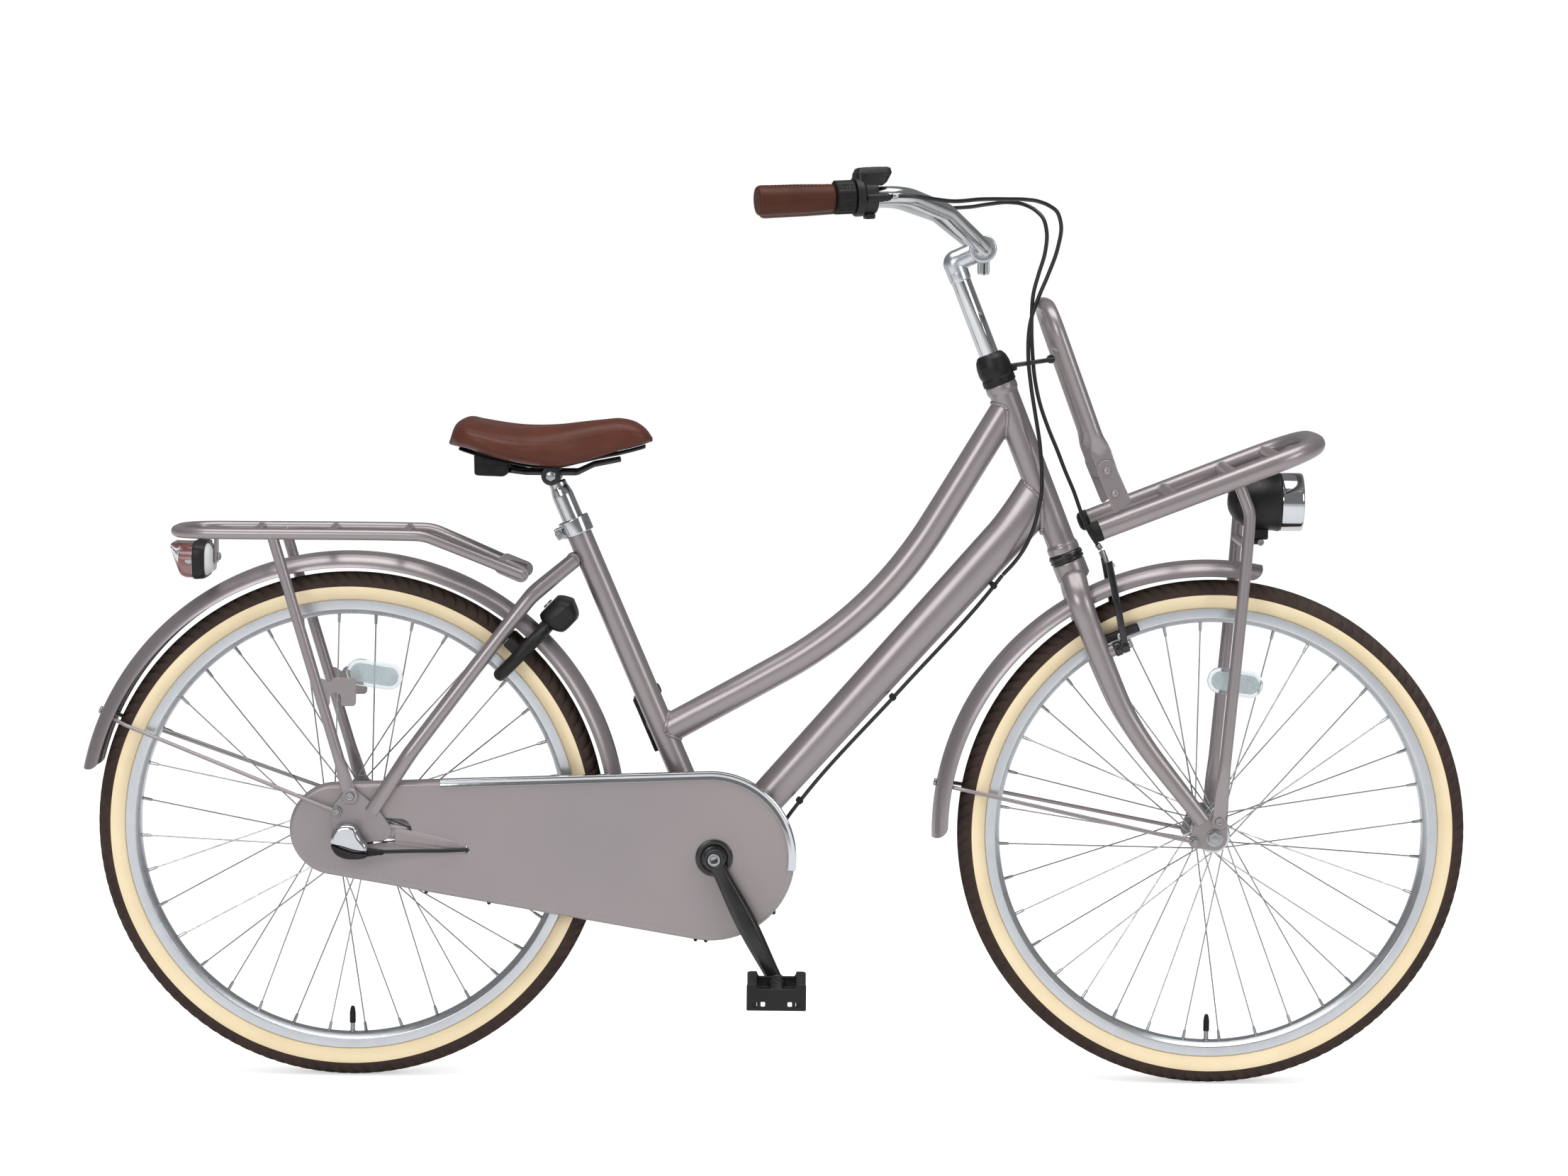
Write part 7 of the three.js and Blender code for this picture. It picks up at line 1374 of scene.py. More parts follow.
makeHubEnd()
makeSideStand()
print("hub end and side stand made")


# Seat: post, clamp and rails, base with its two rubbers, and the padded saddle

saddle = {"rearX": 127, "frontX": 381, "bottomZ": 782, "height": 68, "halfWidth": 92, "rings": 110,
          "ringPoints": 120, "stitchGap": 4.2}
saddleTable = at([0, .603, .485, .529, .56], [.03, .893, .424, .484, .76], [.08, .990, .382, .426, .91],
                 [.15, .954, .300, .350, .99], [.25, .896, .176, .265, 1], [.35, .857, .084, .188, .92],
                 [.45, .853, .022, .140, .77], [.55, .879, .003, .150, .60], [.65, .929, .082, .235, .47],
                 [.75, .971, .197, .322, .39], [.85, .988, .335, .397, .34], [.92, .921, .434, .465, .31],
                 [.97, .785, .512, .522, .24], [1, .632, .551, .574, .11])


# Top, skirt, underside and width at shares of the length, with a cubic slope between the table's rows.
def saddleRows(share):
    place = saddleTable[:, 0] * 4
    lines = [through(np.c_[place, saddleTable[:, k:k + 2]], 0.02) for k in (1, 3)]
    top, skirt, under, width = (np.interp(share * 4, line[:, 0], line[:, k]) for line in lines for k in (1, 2))
    heights = [saddle["bottomZ"] + saddle["height"] * v for v in (top, skirt, under)]
    return [*heights, saddle["halfWidth"] * width]


# Round each ring a powered cosine gives the reach and a powered sine the height above or below the waist.
def saddleSurface(share, turn):
    top, skirt, under, width = (v[:, None] for v in saddleRows(share))
    c, s = np.cos(turn)[None], np.sin(turn)[None]
    waist = mix(skirt, top, 0.42)
    flat = 0.74 + 0.1 * np.sin(share * pi)[:, None]
    y = width * powered(c, flat)
    low = mix(np.maximum(under, skirt), skirt, eased(np.abs(c), 0.62, 0.2))
    z = np.where(s >= 0, mix(waist, top, np.abs(s) ** 0.82), mix(waist, low, np.abs(s) ** 0.7))
    y = y * (1 - np.where(s < 0, 0.16 * np.abs(s), 0))
    x = mix(saddle["rearX"], saddle["frontX"], share)[:, None] + 0 * y
    tuck = 2.0 * np.exp(-((s - 0.42) / 0.16) ** 2) * np.sin(np.clip(share * 1.15, 0, 1) * pi)[:, None]
    channel = 2.2 * np.exp(-(y / 9) ** 2) * np.clip(np.sin((share - 0.08) / 0.75 * pi), 0, 1)[:, None] * (s > 0)
    y = y * (1 - tuck / saddle["halfWidth"])
    return np.stack([x, y, z - channel], -1)


def makeSaddle():
    share = 0.5 - 0.5 * np.cos(np.linspace(0.02, 1, saddle["rings"]) * pi)
    share = (share - share[0]) / (share[-1] - share[0])
    turn = np.linspace(0, 2 * pi, saddle["ringPoints"], endpoint=False)
    rings = saddleSurface(share, turn)
    back, front = ([mix(r.mean(0), r, amount) for amount in (0.82, 0.5, 0.2)] for r in (rings[0], rings[-1]))
    cover = ringShape(np.array([*back[::-1], *rings, *front]))
    stitches = []
    for side in sides:
        line = saddleSurface(np.linspace(0.03, 0.985, 400), np.array([pi / 2 - side * (pi / 2 - 0.36)]))[:, 0]
        line = line[np.argsort(line[:, 0])]
        s = distances(line)
        spots = np.arange(2, s[-1] - 4, saddle["stitchGap"])
        starts, ends = (placeAt(spots + more, s, line) + axisY * side * 0.15 for more in (0, 2.6))
        for a, b in zip(starts, ends):
            stitches.append(tube([a, (a + b) / 2 + axisY * side * 0.35, b], 0.42, axisZ, 6))
    piece = addPiece("saddleCover", "seat", ["saddle"], [(cover, leather), (stitches, thread)],
                     smooth=70)


def makeSeat():
    makeSaddle()
    share = np.linspace(0.045, 0.965, 60)
    under, width = saddleRows(share)[2:]
    turn = np.linspace(0, 2 * pi, 28, endpoint=False)
    x, half, z = (v[:, None] for v in (mix(saddle["rearX"], saddle["frontX"], share), width * 0.6, under - 3.2))
    pan = ringShape(gridOf(x, half * np.cos(turn), z + 2.5 * powered(np.sin(turn), 0.5)))
    rubbers = []
    for side in sides:
        outline = softened([(158.5, 779), (163, 777.4), (196, 776.4), (201.8, 781), (201.8, 798), (198, 803.6),
                            (160, 808.6), (158, 806)], 3.6, 4, True)
        rubbers.append(slab(outline, side * 24, side * 52.6, edge=3.4))
        groove = softened([(159.6, 789.6), (201, 788), (201, 790.4), (159.6, 792)], 0.6, 2, True)
        rubbers.append(slab(groove, side * 23.4, side * 53, edge=0.3))
    bridge = box((186, -24.6, 781), (200, 24.6, 787), 1.4)
    addPiece("saddleBaseFine", "seat", ["saddle_base"], [([pan, bridge], blackPlastic), (rubbers, blackRubber)],
             smooth=40)
    corners = [(202.3, 38, 784), (222, 22, 780.5), (286, 22, 780.5), (308.4, 11, 791.3), (340.4, 5.5, 797.3)]
    wires = [tube(bent([at(x, side * y, z) for x, y, z in corners], 9), 3.5, axisZ, 20) for side in sides]
    clampAt = at(254, 0, 777)
    clamp = [lathe(ringProfile(4, 12, -12.5, 12.5, 0.8, 1), 0.8, 3, clampAt + axisY * 22 * side, axisY, 48)
             for side in sides]
    cap = [(0.4, 30), (7, 30), (7.2, 31.6), (10.6, 31.2), (12.2, 32.2), (12.2, 34.4), (0.4, 34.4)]
    caps = [lathe(cap, 0.5, 3, clampAt, axisY * side, 48, False) for side in sides]
    pin = rod(clampAt - axisY * 35, clampAt + axisY * 35, 4.1, 24, 1)
    nuts = [hexNut(clampAt + axisY * side * 34.2, axisY * side, 6.6, 4.6) for side in sides]
    yoke = lathe([(4.3, -9.2), (12.6, -9.2), (12.6, 9.2), (4.3, 9.2)], 1, 3, clampAt, axisY, 48)
    addPiece("saddleRailsFine", "seat", ["saddle_rails"],
             [([*wires, *clamp, yoke], blackPaint), (caps, blackPlastic), ([pin, *nuts], steel)],
             smooth=40)
    foot = seatTubeTop - seatUp * 150
    profile = [(11, 0), (13.6, 0.6), (13.6, 194), (12.2, 202), (11.1, 206), (11.1, 212), (9.5, 213)]
    post = lathe(profile, 1.6, 4, foot, seatUp, 64, False)
    addPiece("seatPostFine", "seat", ["seat_post"], [(post, polished)], smooth=50)


makeSeat()
print("seat made")


# Ring lock on the seat stays: made about its own centre with the wheel's radius along Z, then turned and set

lock = {"centre": (217.4, 0, 551.2), "leanDegrees": 44, "ringRadius": 52, "half": 8.4, "openDegrees": 140}


def lockPlace(shape):  # from the lock's own frame to the seat stays
    return moved(shape, turnAbout("Y", radians(lock["leanDegrees"])), at(*lock["centre"]))


def lockArc(start, end, radius):  # a tube along an arc of the ring, 0 degrees at the top
    turn, reach = np.radians(np.linspace(start, end, 60)), lock["ringRadius"]
    return tube(np.stack([0 * turn, reach * np.sin(turn), reach * np.cos(turn)], -1), radius, axisX, 28, 1.4)


# Squared rings whose size closes with the fifth power of the distance from the middle.
def lockHead():
    x = np.linspace(-17, 20, 26)
    half, low, high = (np.interp(x, [-17, 0, 20], v) for v in ([30.6, 36, 28.8], [46.5, 44.5, 52], [84, 92, 84]))
    closing = 1 - np.abs(np.linspace(-1, 1, 26)) ** 5 * 0.16
    return squareRings(x, half * closing, (low + high) / 2, (high - low) / 2 * closing, 0.42, 64)


def makeLock():
    shell = lockArc(-lock["openDegrees"], lock["openDegrees"], lock["half"])
    lugs = [box((-24, y, -6.8), (0.4, y + 15.6, 6.8), 1.6) for y in (-51, 35.4)]
    badge = lathe([(0.4, 0), (13, 0), (12.4, 1.2), (11, 1.6), (0.4, 1.6)], 0.5, 3,
                  at(19.6, 0, 68), axisX, 48, False)
    key = lathe([(0.4, 1.8), (2, 1.8), (2, 3.2), (6.6, 3.4), (6.8, 1.4), (7.6, 1.2)], 0.3, 2, at(-17.2, -6, 66),
                -axisX, 32, False)
    screws = [bolt(at(-24, side * 43, 0), -axisX, 4, 1.6) for side in sides]
    addPiece("ringLockFine", "frame", ["ring_lock"],
             [([lockPlace(s) for s in (shell, lockHead(), badge, *lugs)], blackPlastic),
              ([lockPlace(s) for s in (key, *screws)], steel)], smooth=45)
    shaft = lockArc(24, 137, 3.3)
    turn = turnAbout("X", -radians(50))
    lever = moved(box((-1.3, -3.4, 52), (1.3, 3.4, 72.4), 0.5), turn)
    knob = moved(box((-6.8, -5.2, 69.6), (6.8, 5.2, 77.4), 2.2), turn)
    addPiece("lockBoltFine", "lock_bolt", ["ring_lock_bolt"],
             [([lockPlace(shaft), lockPlace(lever)], steel), (lockPlace(knob), blackPlastic)])


makeLock()
print("lock made")


# Fork, headset cap and stem

bladeRows = at([.06, 0, .3], [.14, -.1, .93], [.26, -.13, 1], [.4, -.12, 1], [.54, -.05, 1.02], [.656, .15, 1.06],
               [.765, .42, 1.12], [.87, .7, 1.19], [.94, .88, 1.22])
fork = {"spread": 43, "topHalf": (12, 16.5), "footHalf": (6, 10), "pivot": (983, 41, 569)}
stem = {"quillTop": 374, "kneeRise": 21, "barAt": (797, 0, 1068.5)}
steeringTurn = np.stack([headAhead, axisY, headUp], -1)


def brakePivot(side):  # on the fork blade
    return at(*fork["pivot"]) * [1, side, 1]


def makeFork():
    down, rake = (frontAxle - headFoot) @ headUp, (frontAxle - headFoot) @ headAhead
    eyeX, eyeZ = frontRack["legFoot"]
    collar = lathe([(14.4, -38), (17, -38), (21, -34), (21, -14.4), (20.2, -12.2), (14.4, -12.2)], 1.2, 3, headFoot,
                   headUp, 56)
    steerer = turned([(11.3, -36), (14.2, -36), (14.2, 250), (11.3, 250)], headFoot, headUp, 40, True)
    ring = lathe([(14.5, -13), (19.4, -13), (19.8, -12.2), (14.5, -12.1)], 0.3, 2, headFoot, headUp, 48)
    parts = [(collar, paint), ([steerer, ring], steel)]
    for side, out in ((right, -axisY), (left, axisY)):
        knots = np.array([onSteering(rake * f, side * fork["spread"] * w, down * d) for d, f, w in bladeRows])
        path = through(knots, 4)
        share = shares(path)
        width = mix(fork["topHalf"][0], fork["footHalf"][0], share ** 1.6)
        height = mix(fork["topHalf"][1], fork["footHalf"][1], share)
        cap = np.minimum(1, np.sqrt(np.clip(share / 0.03, 0.02, 1)))
        blade, tip = carry(path, oval(width * cap, height * cap, 36), axisY), path[-1]
        outline = around([(wheelBase, axleHeight, 16.6), (tip[0], tip[2], 9.6), (eyeX, eyeZ, 9.8),
                          (1075, 321, 7.8)], 40)
        plate = slab(outline, side * 49.2, side * 53.8, [circle(wheelBase, axleHeight, 5.4, 28)], 1.1)
        pivot = brakePivot(side)
        back = pivot - headAhead * ((pivot - headFoot) @ headAhead)
        boss = rod(back, pivot - headAhead * 14, 7.9, 32, 1)
        spring = lathe([(5, -14), (8.6, -14), (9.6, -13), (9.6, -6), (8.6, -4.8), (5, -4.8)], 0.7, 3, pivot,
                       headAhead, 40)
        small = [rod(pivot - headAhead * 6, pivot + headAhead * 4.7, 4.9, 24, 0.4),
                 bolt(pivot + headAhead * 4.7, headAhead, 5.6, 3),
                 lathe([(5.2, 0), (11, 0), (11, 1.6), (5.2, 1.6)], 0.3, 2, frontAxle + out * 53.9, out, 36),
                 bolt(at(eyeX, side * 53.8, eyeZ), out, 4.6, 2.6)]
        parts += [([blade, plate, boss], paint), (spring, blackPaint), (small, steel)]
    addPiece("forkFine", "steering", ["fork"], parts, smooth=45)


def makeHeadset():
    foot = headFoot + headUp * headTube["length"]
    profile = [(14.6, 0.2), (20.6, 0.2), (21.4, 1.2), (21.4, 8.6), (20.2, 9.4), (20.4, 10.4), (22, 16), (21.8, 26),
               (20, 34), (16.4, 39.6), (14, 40.6), (11.3, 40.6), (11.3, 21), (14.6, 21)]
    cone = lathe(profile, 1.1, 3, foot, headUp, 64)
    lug = moved(box((18, -4, 9), (27, 4, 17), 1.6), steeringTurn, foot)
    start = foot + headAhead * 20 + headUp * 16.8
    reach = (np.array(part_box("headset_cap")[1]) - origin)[0] * 1000
    end = at(reach - 1.6, 0, start[2] + (reach - 1.6 - start[0]) * 0.16)
    brace = rod(start, end, 2.9, 20, 0.6)
    eye = lathe([(0.4, -1.8), (5.6, -1.8), (5.6, 1.8), (0.4, 1.8)], 0.5, 2, end - at(5.4, 0, 0), axisY, 28, False)
    nut = hexNut(foot + headAhead * 24 + headUp * 13 + axisY * 4, axisY, 4.4, 3)
    addPiece("headsetCapFine", "steering", ["headset_cap"],
             [([cone, lug], blackPlastic), ([brace, eye], blackPaint), (nut, steel)], smooth=40)


def makeStem():
    top = headFoot + headUp * stem["quillTop"]
    quill = turned([(9.4, 0), (11.1, 1), (11.1, 120), (12.4, 124), (12.4, 230), (0.3, 230)], top - headUp * 229,
                   headUp, 56)
    collar = lathe([(12.2, -5), (13.1, -4.6), (13.6, -1), (13.6, 8), (12.2, 9)], 0.8, 3, top, headUp, 48)
    barAt = at(*stem["barAt"])
    knee = top + headUp * stem["kneeRise"]
    path = bent([top - headUp * 3, knee, barAt - unit(barAt - knee) * 4], 8, 14)
    share = shares(path)
    neck = carry(path, oval(mix(13.4, 13.9, share), 13.6 + 1.9 * np.sin(share * pi), 40), axisY)
    clamp = lathe(ringProfile(11.3, 17.5, -24, 24, 1.1, 1.4), 1.2, 3, barAt, axisY, 64)
    lug = slab(softened([(791.6, 1066), (791.8, 1036.4), (794.4, 1035.4), (804, 1035.4), (806.2, 1037),
                         (806.4, 1062)], 3, 3, True), -11.8, 11.8, edge=1.6)
    # A thin black strip across the lug is painted shade standing in for the clamp's slit; the gap itself is not
    # cut.
    paintedSlitShade = slab(softened([(798.4, 1050), (798.4, 1035.2), (800.2, 1035.2), (800.2, 1050)], 0.3, 2, True), -12, 12,
                edge=0.1)
    screw = bolt(at(806, 0, 1043), axisX, 4.6, 0.5)
    parts = [(quill, chrome), ([collar, neck, clamp, lug], brushed), (paintedSlitShade, blackPlastic), (screw, steel)]
    addPiece("stemFine", "steering", ["stem"], parts, smooth=50)


# Handlebar, grips, twist shifter and brake lever

bar = {"radius": 11.1, "bend": 62, "rightGrip": 93, "leftGrip": 122, "sleeve": 24,
       "corners": ((797, 45, 1068.5), (745, 150, 1113), (690, 238, 1133), (516, 285, 1123.5))}
lever = {"pivotReach": 29.14, "pivotAlong": 16.5, "reach": 47, "length": 112}


# Z runs inward from the bar's end, X is up on the right and down on the left, and Y is square to both.
def setOnBar(shape, side, length):
    elbow, end = (at(*corner) * [1, side, 1] for corner in bar["corners"][2:])
    inward = unit(elbow - end)
    up = unit(axisZ - inward * inward[2])
    return moved(shape, np.stack([up * -side, np.cross(inward, up) * -side, inward], -1), end + inward * length)


# Level rings round the Z axis; the radius may change round each ring.
def zRings(radius, z, turn):
    return gridOf(radius * np.cos(turn), radius * np.sin(turn), np.asarray(z)[:, None])


# A smooth round grip that narrows towards the stem, with shallow rings along its top only.
def gripShape(length, side):
    z = np.r_[-3, -2.8, -2, 0, 3, np.linspace(6, length - 5, 90), length - 3, length - 1.2, length - 0.2]
    radius = np.interp(z, [-3, -2.8, -2, 0, 3, length * 0.5, length - 5, length - 1.2, length - 0.2],
                       [14.6, 15.6, 16.8, 18, 18.4, 18.0, 16.5, 15.8, 14.6])
    turn = np.linspace(0, 2 * pi, 72, endpoint=False)
    grooves = 0.35 * (0.5 + 0.5 * np.cos(z / 4.6 * 2 * pi)) * ((z > 10) & (z < length - 10))
    radius = radius[:, None] - grooves[:, None] * np.clip((np.cos(turn)[None] * -side - 0.5) / 0.3, 0, 1)
    cap, inner = zRings(at(3, 9)[:, None], [-3, -3], turn), zRings(11.4, [length - 0.2, 0], turn)
    return ringShape(np.vstack([cap, zRings(radius, z, turn), inner]))


def makeBar():
    corners = [at(x, s * y, z) for s, order in ((-1, -1), (1, 1)) for x, y, z in bar["corners"][::order]]
    path = bent(corners, bar["bend"], 18)
    handle = tube(path, bar["radius"], axisZ, 36)
    collar = lathe([(11, -30), (11.6, -29), (12.2, -24.5), (11, -24)], 0.3, 2, at(*stem["barAt"]), axisY, 48)
    addPiece("handlebarFine", "steering", ["handlebar"], [([handle, collar, mirrored(collar)], polished)],
             smooth=60)
    for side, name, length in ((right, "right", bar["rightGrip"]), (left, "left", bar["leftGrip"])):
        grip = setOnBar(gripShape(length, side), side, 0)
        addPiece(name + "GripFine", "steering", [name + "_grip"], [(grip, gripLeather)], smooth=60)


def makeShifter():
    turn = np.linspace(0, 2 * pi, 120, endpoint=False)
    z = np.r_[0.3, 1.2, np.linspace(2.4, 21.6, 16), 22.8, 23.7]
    dip = np.clip(np.cos(turn * 10), 0, 1) ** 0.5
    radius = 20.4 - 1.3 * (1 - dip)[None] * (((z > 1.5) & (z < 22.5)) * 1.0)[:,
            None] - 1.2 * ((z < 1) | (z > 23))[:, None]
    sleeve = [ringShape(np.vstack([zRings(radius, z, turn), zRings(11.8, [23.7, 0.3], turn)]), looped=True)]
    for a in (np.arange(10) + 0.5) / 10 * 2 * pi:
        out = at(cos(a), sin(a), 0)
        sleeve += [turned([(0.9, -0.4), (0.85, 0.5), (0.4, 0.8), (0.05, 0.85)], out * 19.1 + axisZ * height, out, 8)
                   for height in (5, 9.6, 14.2, 18.8)]
    addPiece("shiftSleeveFine", "twist_sleeve", ["shift_grip"],
             [([setOnBar(s, right, bar["rightGrip"]) for s in sleeve], blackRubber)], smooth=50)
    drum = lathe([(11.4, 0.3), (22.8, 0.3), (24, 1.6), (24, 9), (22.6, 11), (21.6, 12.4), (21.6, 25.4), (20.4, 27),
                  (11.4, 27)], 1, 3, at(0, 0, 0), axisZ, 72)
    up = np.linspace(12, 34.5, 16)
    wide, low, high = (np.interp(up, [12, 16, 27, 33, 34.5], v)
                       for v in ([17, 17, 15.6, 12.5, 9], [1.2, 1.2, 2.2, 5, 9], [34, 40, 47, 46, 42]))
    hood = squareRings(up, wide, (low + high) / 2, (high - low) / 2, 0.4, 56)
    window = box((33.6, -7.6, 14), (34.8, 7.6, 34), 0.5)
    outlet = lathe([(2.7, 12), (5.4, 12), (5.4, 32), (4.4, 34), (5, 35.4), (4.9, 37), (3.4, 41.6), (2.7, 41.8)],
                   0.4, 2, at(-2.2, 18, 0), axisZ, 32)
    clamp = box((-27.5, -8, 13), (-20, 8, 25), 2)
    screw = bolt(at(-24, -8, 19), -axisY, 2.8, 1.4)
    place = bar["rightGrip"] + bar["sleeve"]
    parts = [(drum, blackPlastic), (hood, blackPlastic), (outlet, blackPlastic), (clamp, blackPlastic),
             (window, clearLens), (screw, steel)]
    addPiece("shifterHousingFine", "steering", ["shifter_housing"],
             [(setOnBar(shape, right, place), material) for shape, material in parts], smooth=45)


def makeLever():
    ring = lathe(ringProfile(11.3, 17, 0, 30, 1, 1.2), 0.8, 3, at(0, 0, 0), axisZ, 56)
    web = box((-6.9, 12.6, 1), (6.9, 17, 29), 1.4)
    reach, along = lever["pivotReach"], lever["pivotAlong"]
    cheek = softened([(8.6, along - 8), (reach + 2, along - 7.6), (reach + 4.6, along - 3),
                      (reach + 4.6, along + 3), (reach + 2, along + 7.6), (8.6, along + 8)], 2.4, 3, True)
    cheeks = [moved(slab(cheek, side * 9.1 - 1.8, side * 9.1 + 1.8, edge=0.8), turnAbout("Z", pi / 2))
              for side in sides]
    barrel = lathe([(2.7, 24), (5, 24), (5, 32), (4.4, 32.6), (4.4, 34), (5, 34.6), (5, 41), (4.4, 42), (2.7, 42)],
                   0.4, 2, at(0, 21, 0), axisZ, 32)
    place = bar["leftGrip"] + 0.5
    parts = [([setOnBar(s, left, place) for s in (ring, web, *cheeks)], blackPaint),
             (setOnBar(barrel, left, place), steel)]
    addPiece("leverBracketFine", "steering", ["brake_lever_bracket"], parts, smooth=45)
    share = np.linspace(0, 1, 60)
    out = averaged(np.interp(share, [0, .1, .3, .55, .8, 1], [0, .16, .36, .44, .5, .62]) * lever["reach"], 5)
    out[0] = 0
    path = np.stack([0 * share, out, -share * lever["length"]], -1)
    size = np.interp(share, [0, .3, .8, 1], [0.9, 1, 0.9, 0.8])
    tip = np.sqrt(np.clip((1 - share) / 0.03, 0.05, 1))
    blade = carry(path, oval(6.7 * size * tip, 3.9 * size * tip, 28), axisX)
    eye = lathe(ringProfile(3.1, 6.6, -6.6, 6.6, 0.6, 0.6), 0.5, 2, at(0, 0, 0), axisX, 36)
    pin = rod(at(-11.2, 0, 0), at(11.2, 0, 0), 2.9, 20, 0.4)
    blade, eye, pin = (setOnBar(moved(shape, shift=at(0, reach, along)), left, place)
                       for shape in (blade, eye, pin))
    addPiece("brakeLeverFine", "brake_handle", ["brake_lever"], [([blade, eye], blackPaint), (pin, steel)],
             smooth=50)


# Brake arms and cables

brake = {"length": 107, "ahead": 19, "half": 8, "padUp": 13.5, "padFace": 16.2, "padDepth": 10}


def makeBrakeArm(side, name):
    rows = at([0, 0, .8], [.25, .5, .8], [.5, .7, .68], [.8, .3, .56], [1, 0, .48])
    share = np.linspace(0, 1, 50)
    bow = averaged(np.interp(share, rows[:, 0], rows[:, 1]))
    half = brake["half"] * np.interp(share, rows[:, 0], rows[:, 2])
    length, ahead, up, out = brake["length"], brake["ahead"], brake["padUp"], axisY * side
    x, y, z = (v[:, None] for v in (ahead * share, side * brake["half"] * bow, share * length))
    corner = softened([(-1, -1), (1, -1), (1, 1), (-1, 1)], 0.35, 3, True)
    rings = gridOf(x + corner[:, 0] * 4.3, y + corner[:, 1] * half[:, None], z)
    arm = ringShape(rings)
    eye = lathe(ringProfile(5.2, 9, -4.4, 4.4, 0.4, 0.6), 0.4, 2, at(0, 0, 0), axisX, 40)
    face = side * (brake["padFace"] - fork["pivot"][1])
    back = face + side * brake["padDepth"]
    pad = box((-25.8, face, up - 5.4), (25.8, face + side * 7.2, up + 5.4), 1.4)
    shoe = box((-24, back, up - 4), (24, face + side * 6, up + 4), 1.2)
    post = rod((0, back - side * 2, up), (0, side * 3, up), 2.9, 20, 0.3)
    nut = hexNut(at(0, side * -2.2, up), out, 5.6, 5)
    if side == left:
        top = rod((ahead, 0, length - 8), (ahead, 0, length + 8), 4.3, 24, 0.6)
    else:
        top = bolt(at(ahead + 4.2, 0, length - 6), axisX, 3, 1.2)
    pivot = brakePivot(side)
    parts = [([moved(s, steeringTurn, pivot) for s in shapes], material) for shapes, material in
             (([arm, eye], blackPaint), ([pad], blackRubber), ([shoe], blackPaint), ([post, nut, top], steel))]
    if side == left:
        barrelTop = pivot + headUp * (length + 6) + headAhead * ahead
        parts.append((rod(cables["frontBrake"][-1], barrelTop, 0.9, 12, 0), steel))
    addPiece(name + "BrakeArmFine", f"brake_arm_{name}", [name + "_brake_arm"], parts, smooth=45)


cables = {"frontShift": ((675, -261, 1131), (702, -252, 1131), (727, -235, 1128), (749, -212, 1126),
                         (786, -172, 1129), (823, -122, 1130), (847, -88, 1130), (864, -64, 1128), (878, -50, 1123),
                         (888, -42, 1116), (894, -36, 1099), (891, -31, 1072), (879, -28, 1036), (868, -27, 1009),
                         (858, -26, 977), (856, -26, 932), (860, -26, 896), (866, -27, 860), (872, -28, 824),
                         (875, -29, 788), (875, -30, 761), (872, -30, 743), (867, -30, 721), (856, -26, 693),
                         (843, -17, 672), (829, -8.6, 655.2)), "rearShift": ((828, -8, 654), (812, -1, 632),
          (700, 0, 505), (580, 0, 369), (558, -2, 340), (535, -8, 300), (510, -14, 274), (480, -17, 266),
          (450, -21, 268), (415, -27, 275), (370, -34, 281), (320, -40, 284), (260, -44, 287), (205, -47, 296),
          (180, -49.5, 299), (163, -52, 301), (150, -56, 302), (138, -61, 302), (118, -66, 302), (84, -71, 302),
          (52, -78, 302), (29.6, -82, 302)), "frontBrake": ((682.5, 262, 1132.5), (708, 255, 1132),
          (733, 237, 1129), (757, 205, 1122), (785, 165, 1122), (812, 120, 1126), (836, 80, 1128), (853, 55, 1125),
          (866, 40, 1118), (876, 30, 1107), (880, 25, 1091), (878, 20, 1064), (870, 15, 1037), (864, 14, 1014),
          (862, 14, 978), (864, 14, 932), (867, 14, 905), (874, 14, 873), (885, 15, 842), (897, 17, 814),
          (908, 21, 787), (920, 26, 760), (931, 31, 731), (943, 36, 705), (956.6, 40.6, 685.6)), "radius": 2.5,
          "clipShares": (0.795, 0.481, 0.184)}


def cablePath(name):  # the smooth line through a cable's points
    return through(cables[name], 3.5)


def cableShape(name):  # a tube along that line
    return tube(cablePath(name), cables["radius"], at(0.1, 1, 0.05), 20, 0.3)


def ferrule(name, last=False):  # a turned sleeve on the first or last end of a cable
    path = cablePath(name)[::-1 if last else 1]
    foot, along = path[0], unit(path[3] - path[0])
    return lathe([(2.6, 0.1), (3.7, 0.1), (3.8, 7), (2.6, 7.6)], 0.3, 2, foot, along, 24)


def makeCables():
    piece = addPiece("frontShiftCableFine", None, ["front_shift_cable"],
                     [(cableShape("frontShift"), sheath), (ferrule("frontShift"), steel)])
    low, high = (at(*cables["frontShift"][k]) / 1000 + origin for k in (-2, 16))
    tuple(low)
    tuple(high)
    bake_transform(piece)
    path = cablePath("rearShift")
    turn = np.stack([downAlong, axisY, np.cross(downAlong, axisY)], -1)
    band = softened([(-3.6, -3.6), (3.6, -3.6), (3.6, 5.6), (-3.6, 5.6)], 2.6, 4, True)
    places = [mix(downStart, downEnd, share) for share in cables["clipShares"]]
    clips = [moved(slab(band, -4.6, 4.6, edge=0.8), turn, path[np.argmin(np.linalg.norm(path - place, axis=1))])
             for place in places]
    addPiece("rearShiftCableFine", "frame", ["rear_shift_cable"],
             [(cableShape("rearShift"), sheath), (ferrule("rearShift", True), steel), (clips, blackPlastic)])
    ends = [ferrule("frontBrake"), ferrule("frontBrake", True)]
    addPiece("frontBrakeCableFine", "steering", ["front_brake_cable"],
             [(cableShape("frontBrake"), sheath), (ends, steel)])


makeFork()
makeHeadset()
makeStem()
makeBar()
makeShifter()
makeLever()
makeBrakeArm(right, "right")
makeBrakeArm(left, "left")
makeCables()
print("steering made")


# Floor, light and camera

view = {"centreX": 550.3, "distance": 5000, "height": 1080, "lens": 90.3, "pitch": 5.09, "roll": 0.567}
studio = {"reach": 14.0, "floorGlow": 0.5, "worldPlain": 0.62, "worldInMirrors": 0.24}
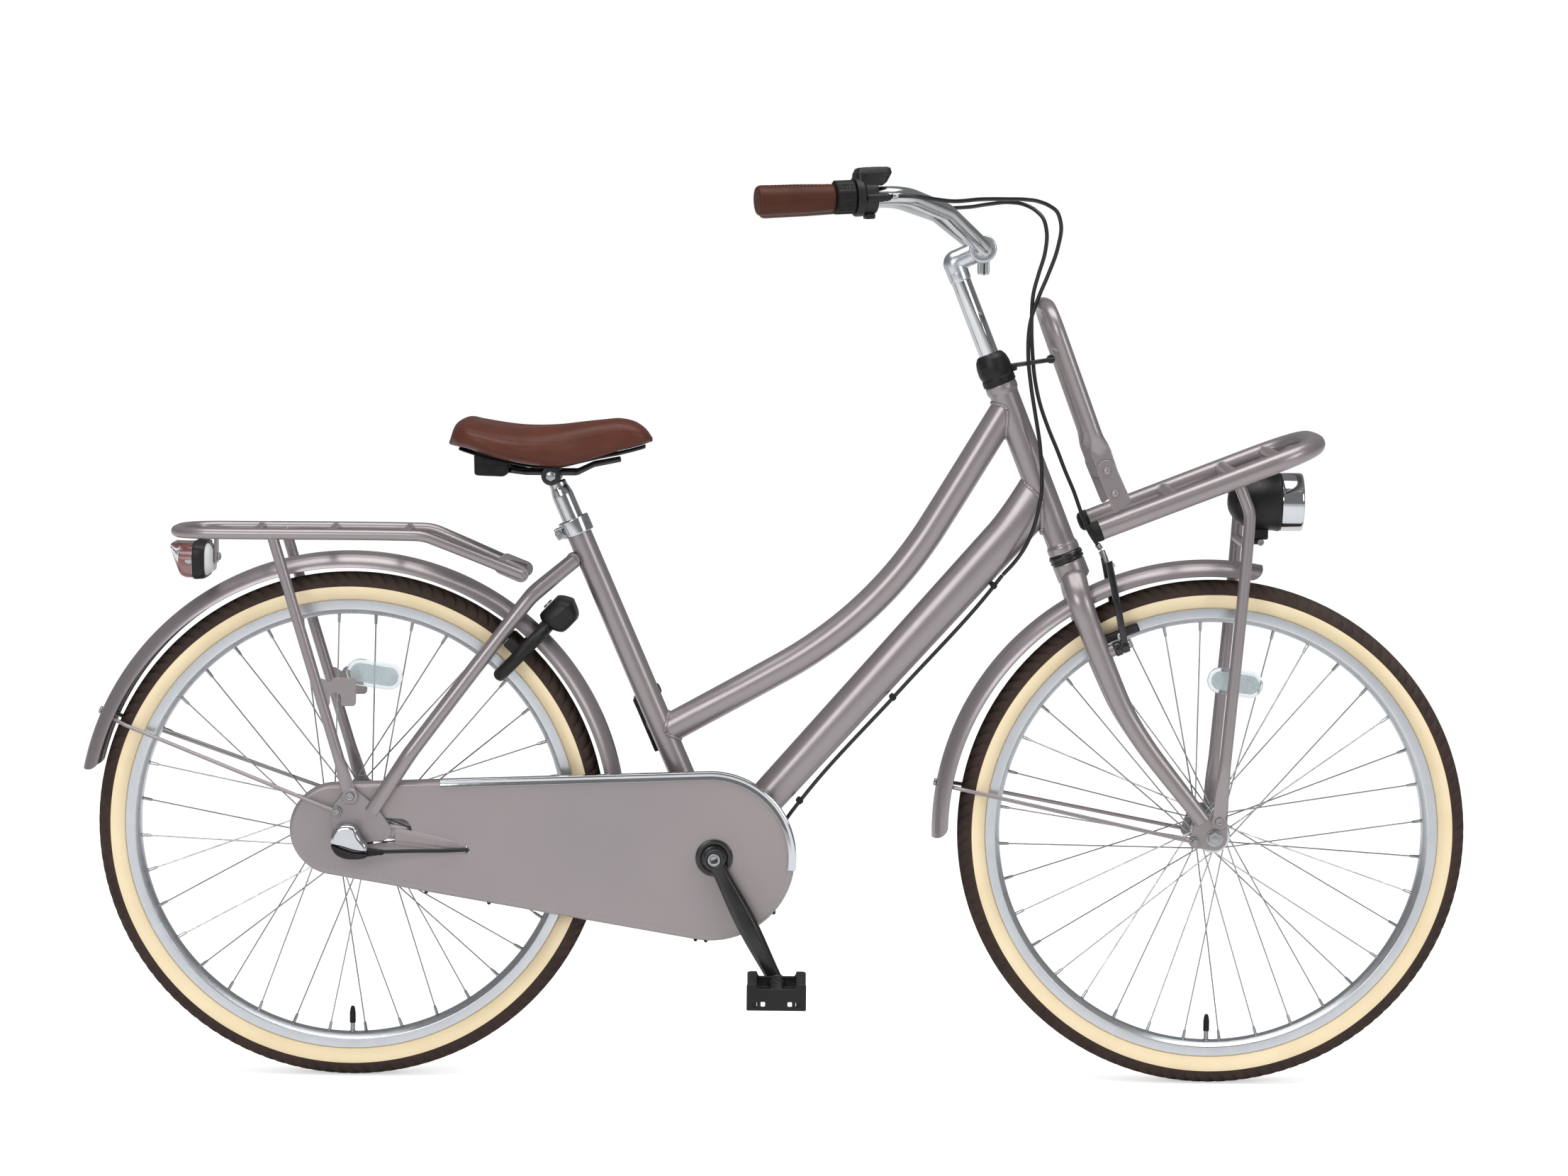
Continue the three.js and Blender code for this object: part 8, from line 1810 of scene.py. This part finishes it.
# Each lamp has its place, the point it faces, its width and height in metres, and its power in watts.
lamps = {
    "topBox": ((0.0, -0.6, 3.2), (0, 0, 0.4), (3.4, 1.6), 62),
    "frontBox": ((-1.6, -3.6, 2.0), (0, 0, 0.5), (1.8, 1.4), 42),
    "sideBox": ((2.6, -2.4, 1.8), (0.2, 0, 0.5), (1.2, 1.4), 22),
}


def seenRay(tree):  # 1 for rays that reach the camera, straight or through glass
    straight, bentRay = (node(tree, "LightPath", output=f"Is {kind} Ray") for kind in ("Camera", "Transmission"))
    return node(tree, "Math", {0: straight, 1: bentRay}, operation="MAXIMUM")


def makeFloor():
    reach = studio["reach"]
    mesh = bpy.data.meshes.new("studio")
    mesh.from_pydata([(-reach, -reach, 0), (reach, -reach, 0), (reach, reach, 0), (-reach, reach, 0)], [],
                     [(0, 1, 2, 3)])
    material = bpy.data.materials.new("paleFloor")
    material.use_nodes = True
    tree = material.node_tree
    surface = tree.nodes["Principled BSDF"]
    for key, value in (("Base Color", (0.93, 0.93, 0.93, 1)), ("Roughness", 0.9), ("Specular IOR Level", 0.1),
                       ("Emission Color", (1, 1, 1, 1))):
        surface.inputs[key].default_value = value
    glow = node(tree, "Math", {0: seenRay(tree), 1: studio["floorGlow"]}, operation="MULTIPLY")
    tree.links.new(glow, surface.inputs["Emission Strength"])
    mesh.materials.append(material)
    addObject("studio", mesh)


def makeLight():
    world = bpy.data.worlds.new("paleRoom")
    bpy.context.scene.world = world
    world.use_nodes = True
    tree = world.node_tree
    background = tree.nodes["Background"]
    background.inputs["Color"].default_value = (1, 1, 1, 1)
    glossy = node(tree, "LightPath", output="Is Glossy Ray")
    hidden = node(tree, "MapRange", {0: glossy, 3: studio["worldPlain"], 4: studio["worldInMirrors"]})
    strength = node(tree, "MapRange", {0: seenRay(tree), 3: hidden, 4: 1.0})
    tree.links.new(strength, background.inputs["Strength"])
    for name, (place, target, size, power) in lamps.items():
        data = bpy.data.lights.new(name, "AREA")
        data.shape, data.size, data.size_y, data.energy = "RECTANGLE", *size, power
        lamp = addObject(name, data)
        lamp.location = place
        lamp.rotation_euler = (Vector(target) - Vector(place)).to_track_quat("-Z", "Y").to_euler()


def makeCamera():
    data = bpy.data.cameras.new("photoView")
    data.lens, data.sensor_width = view["lens"], 36
    camera = addObject("photoView", data)
    camera.location = at(view["centreX"], -view["distance"], view["height"]) / 1000 + origin
    turn = Matrix.Rotation(pi / 2 - radians(view["pitch"]), 4, "X") @ Matrix.Rotation(radians(view["roll"]), 4, "Z")
    camera.rotation_euler = turn.to_euler()
    bpy.context.scene.camera = camera


makeFloor()
makeLight()
makeCamera()
bpy.context.scene.view_settings.view_transform = "Standard"
print("studio made")
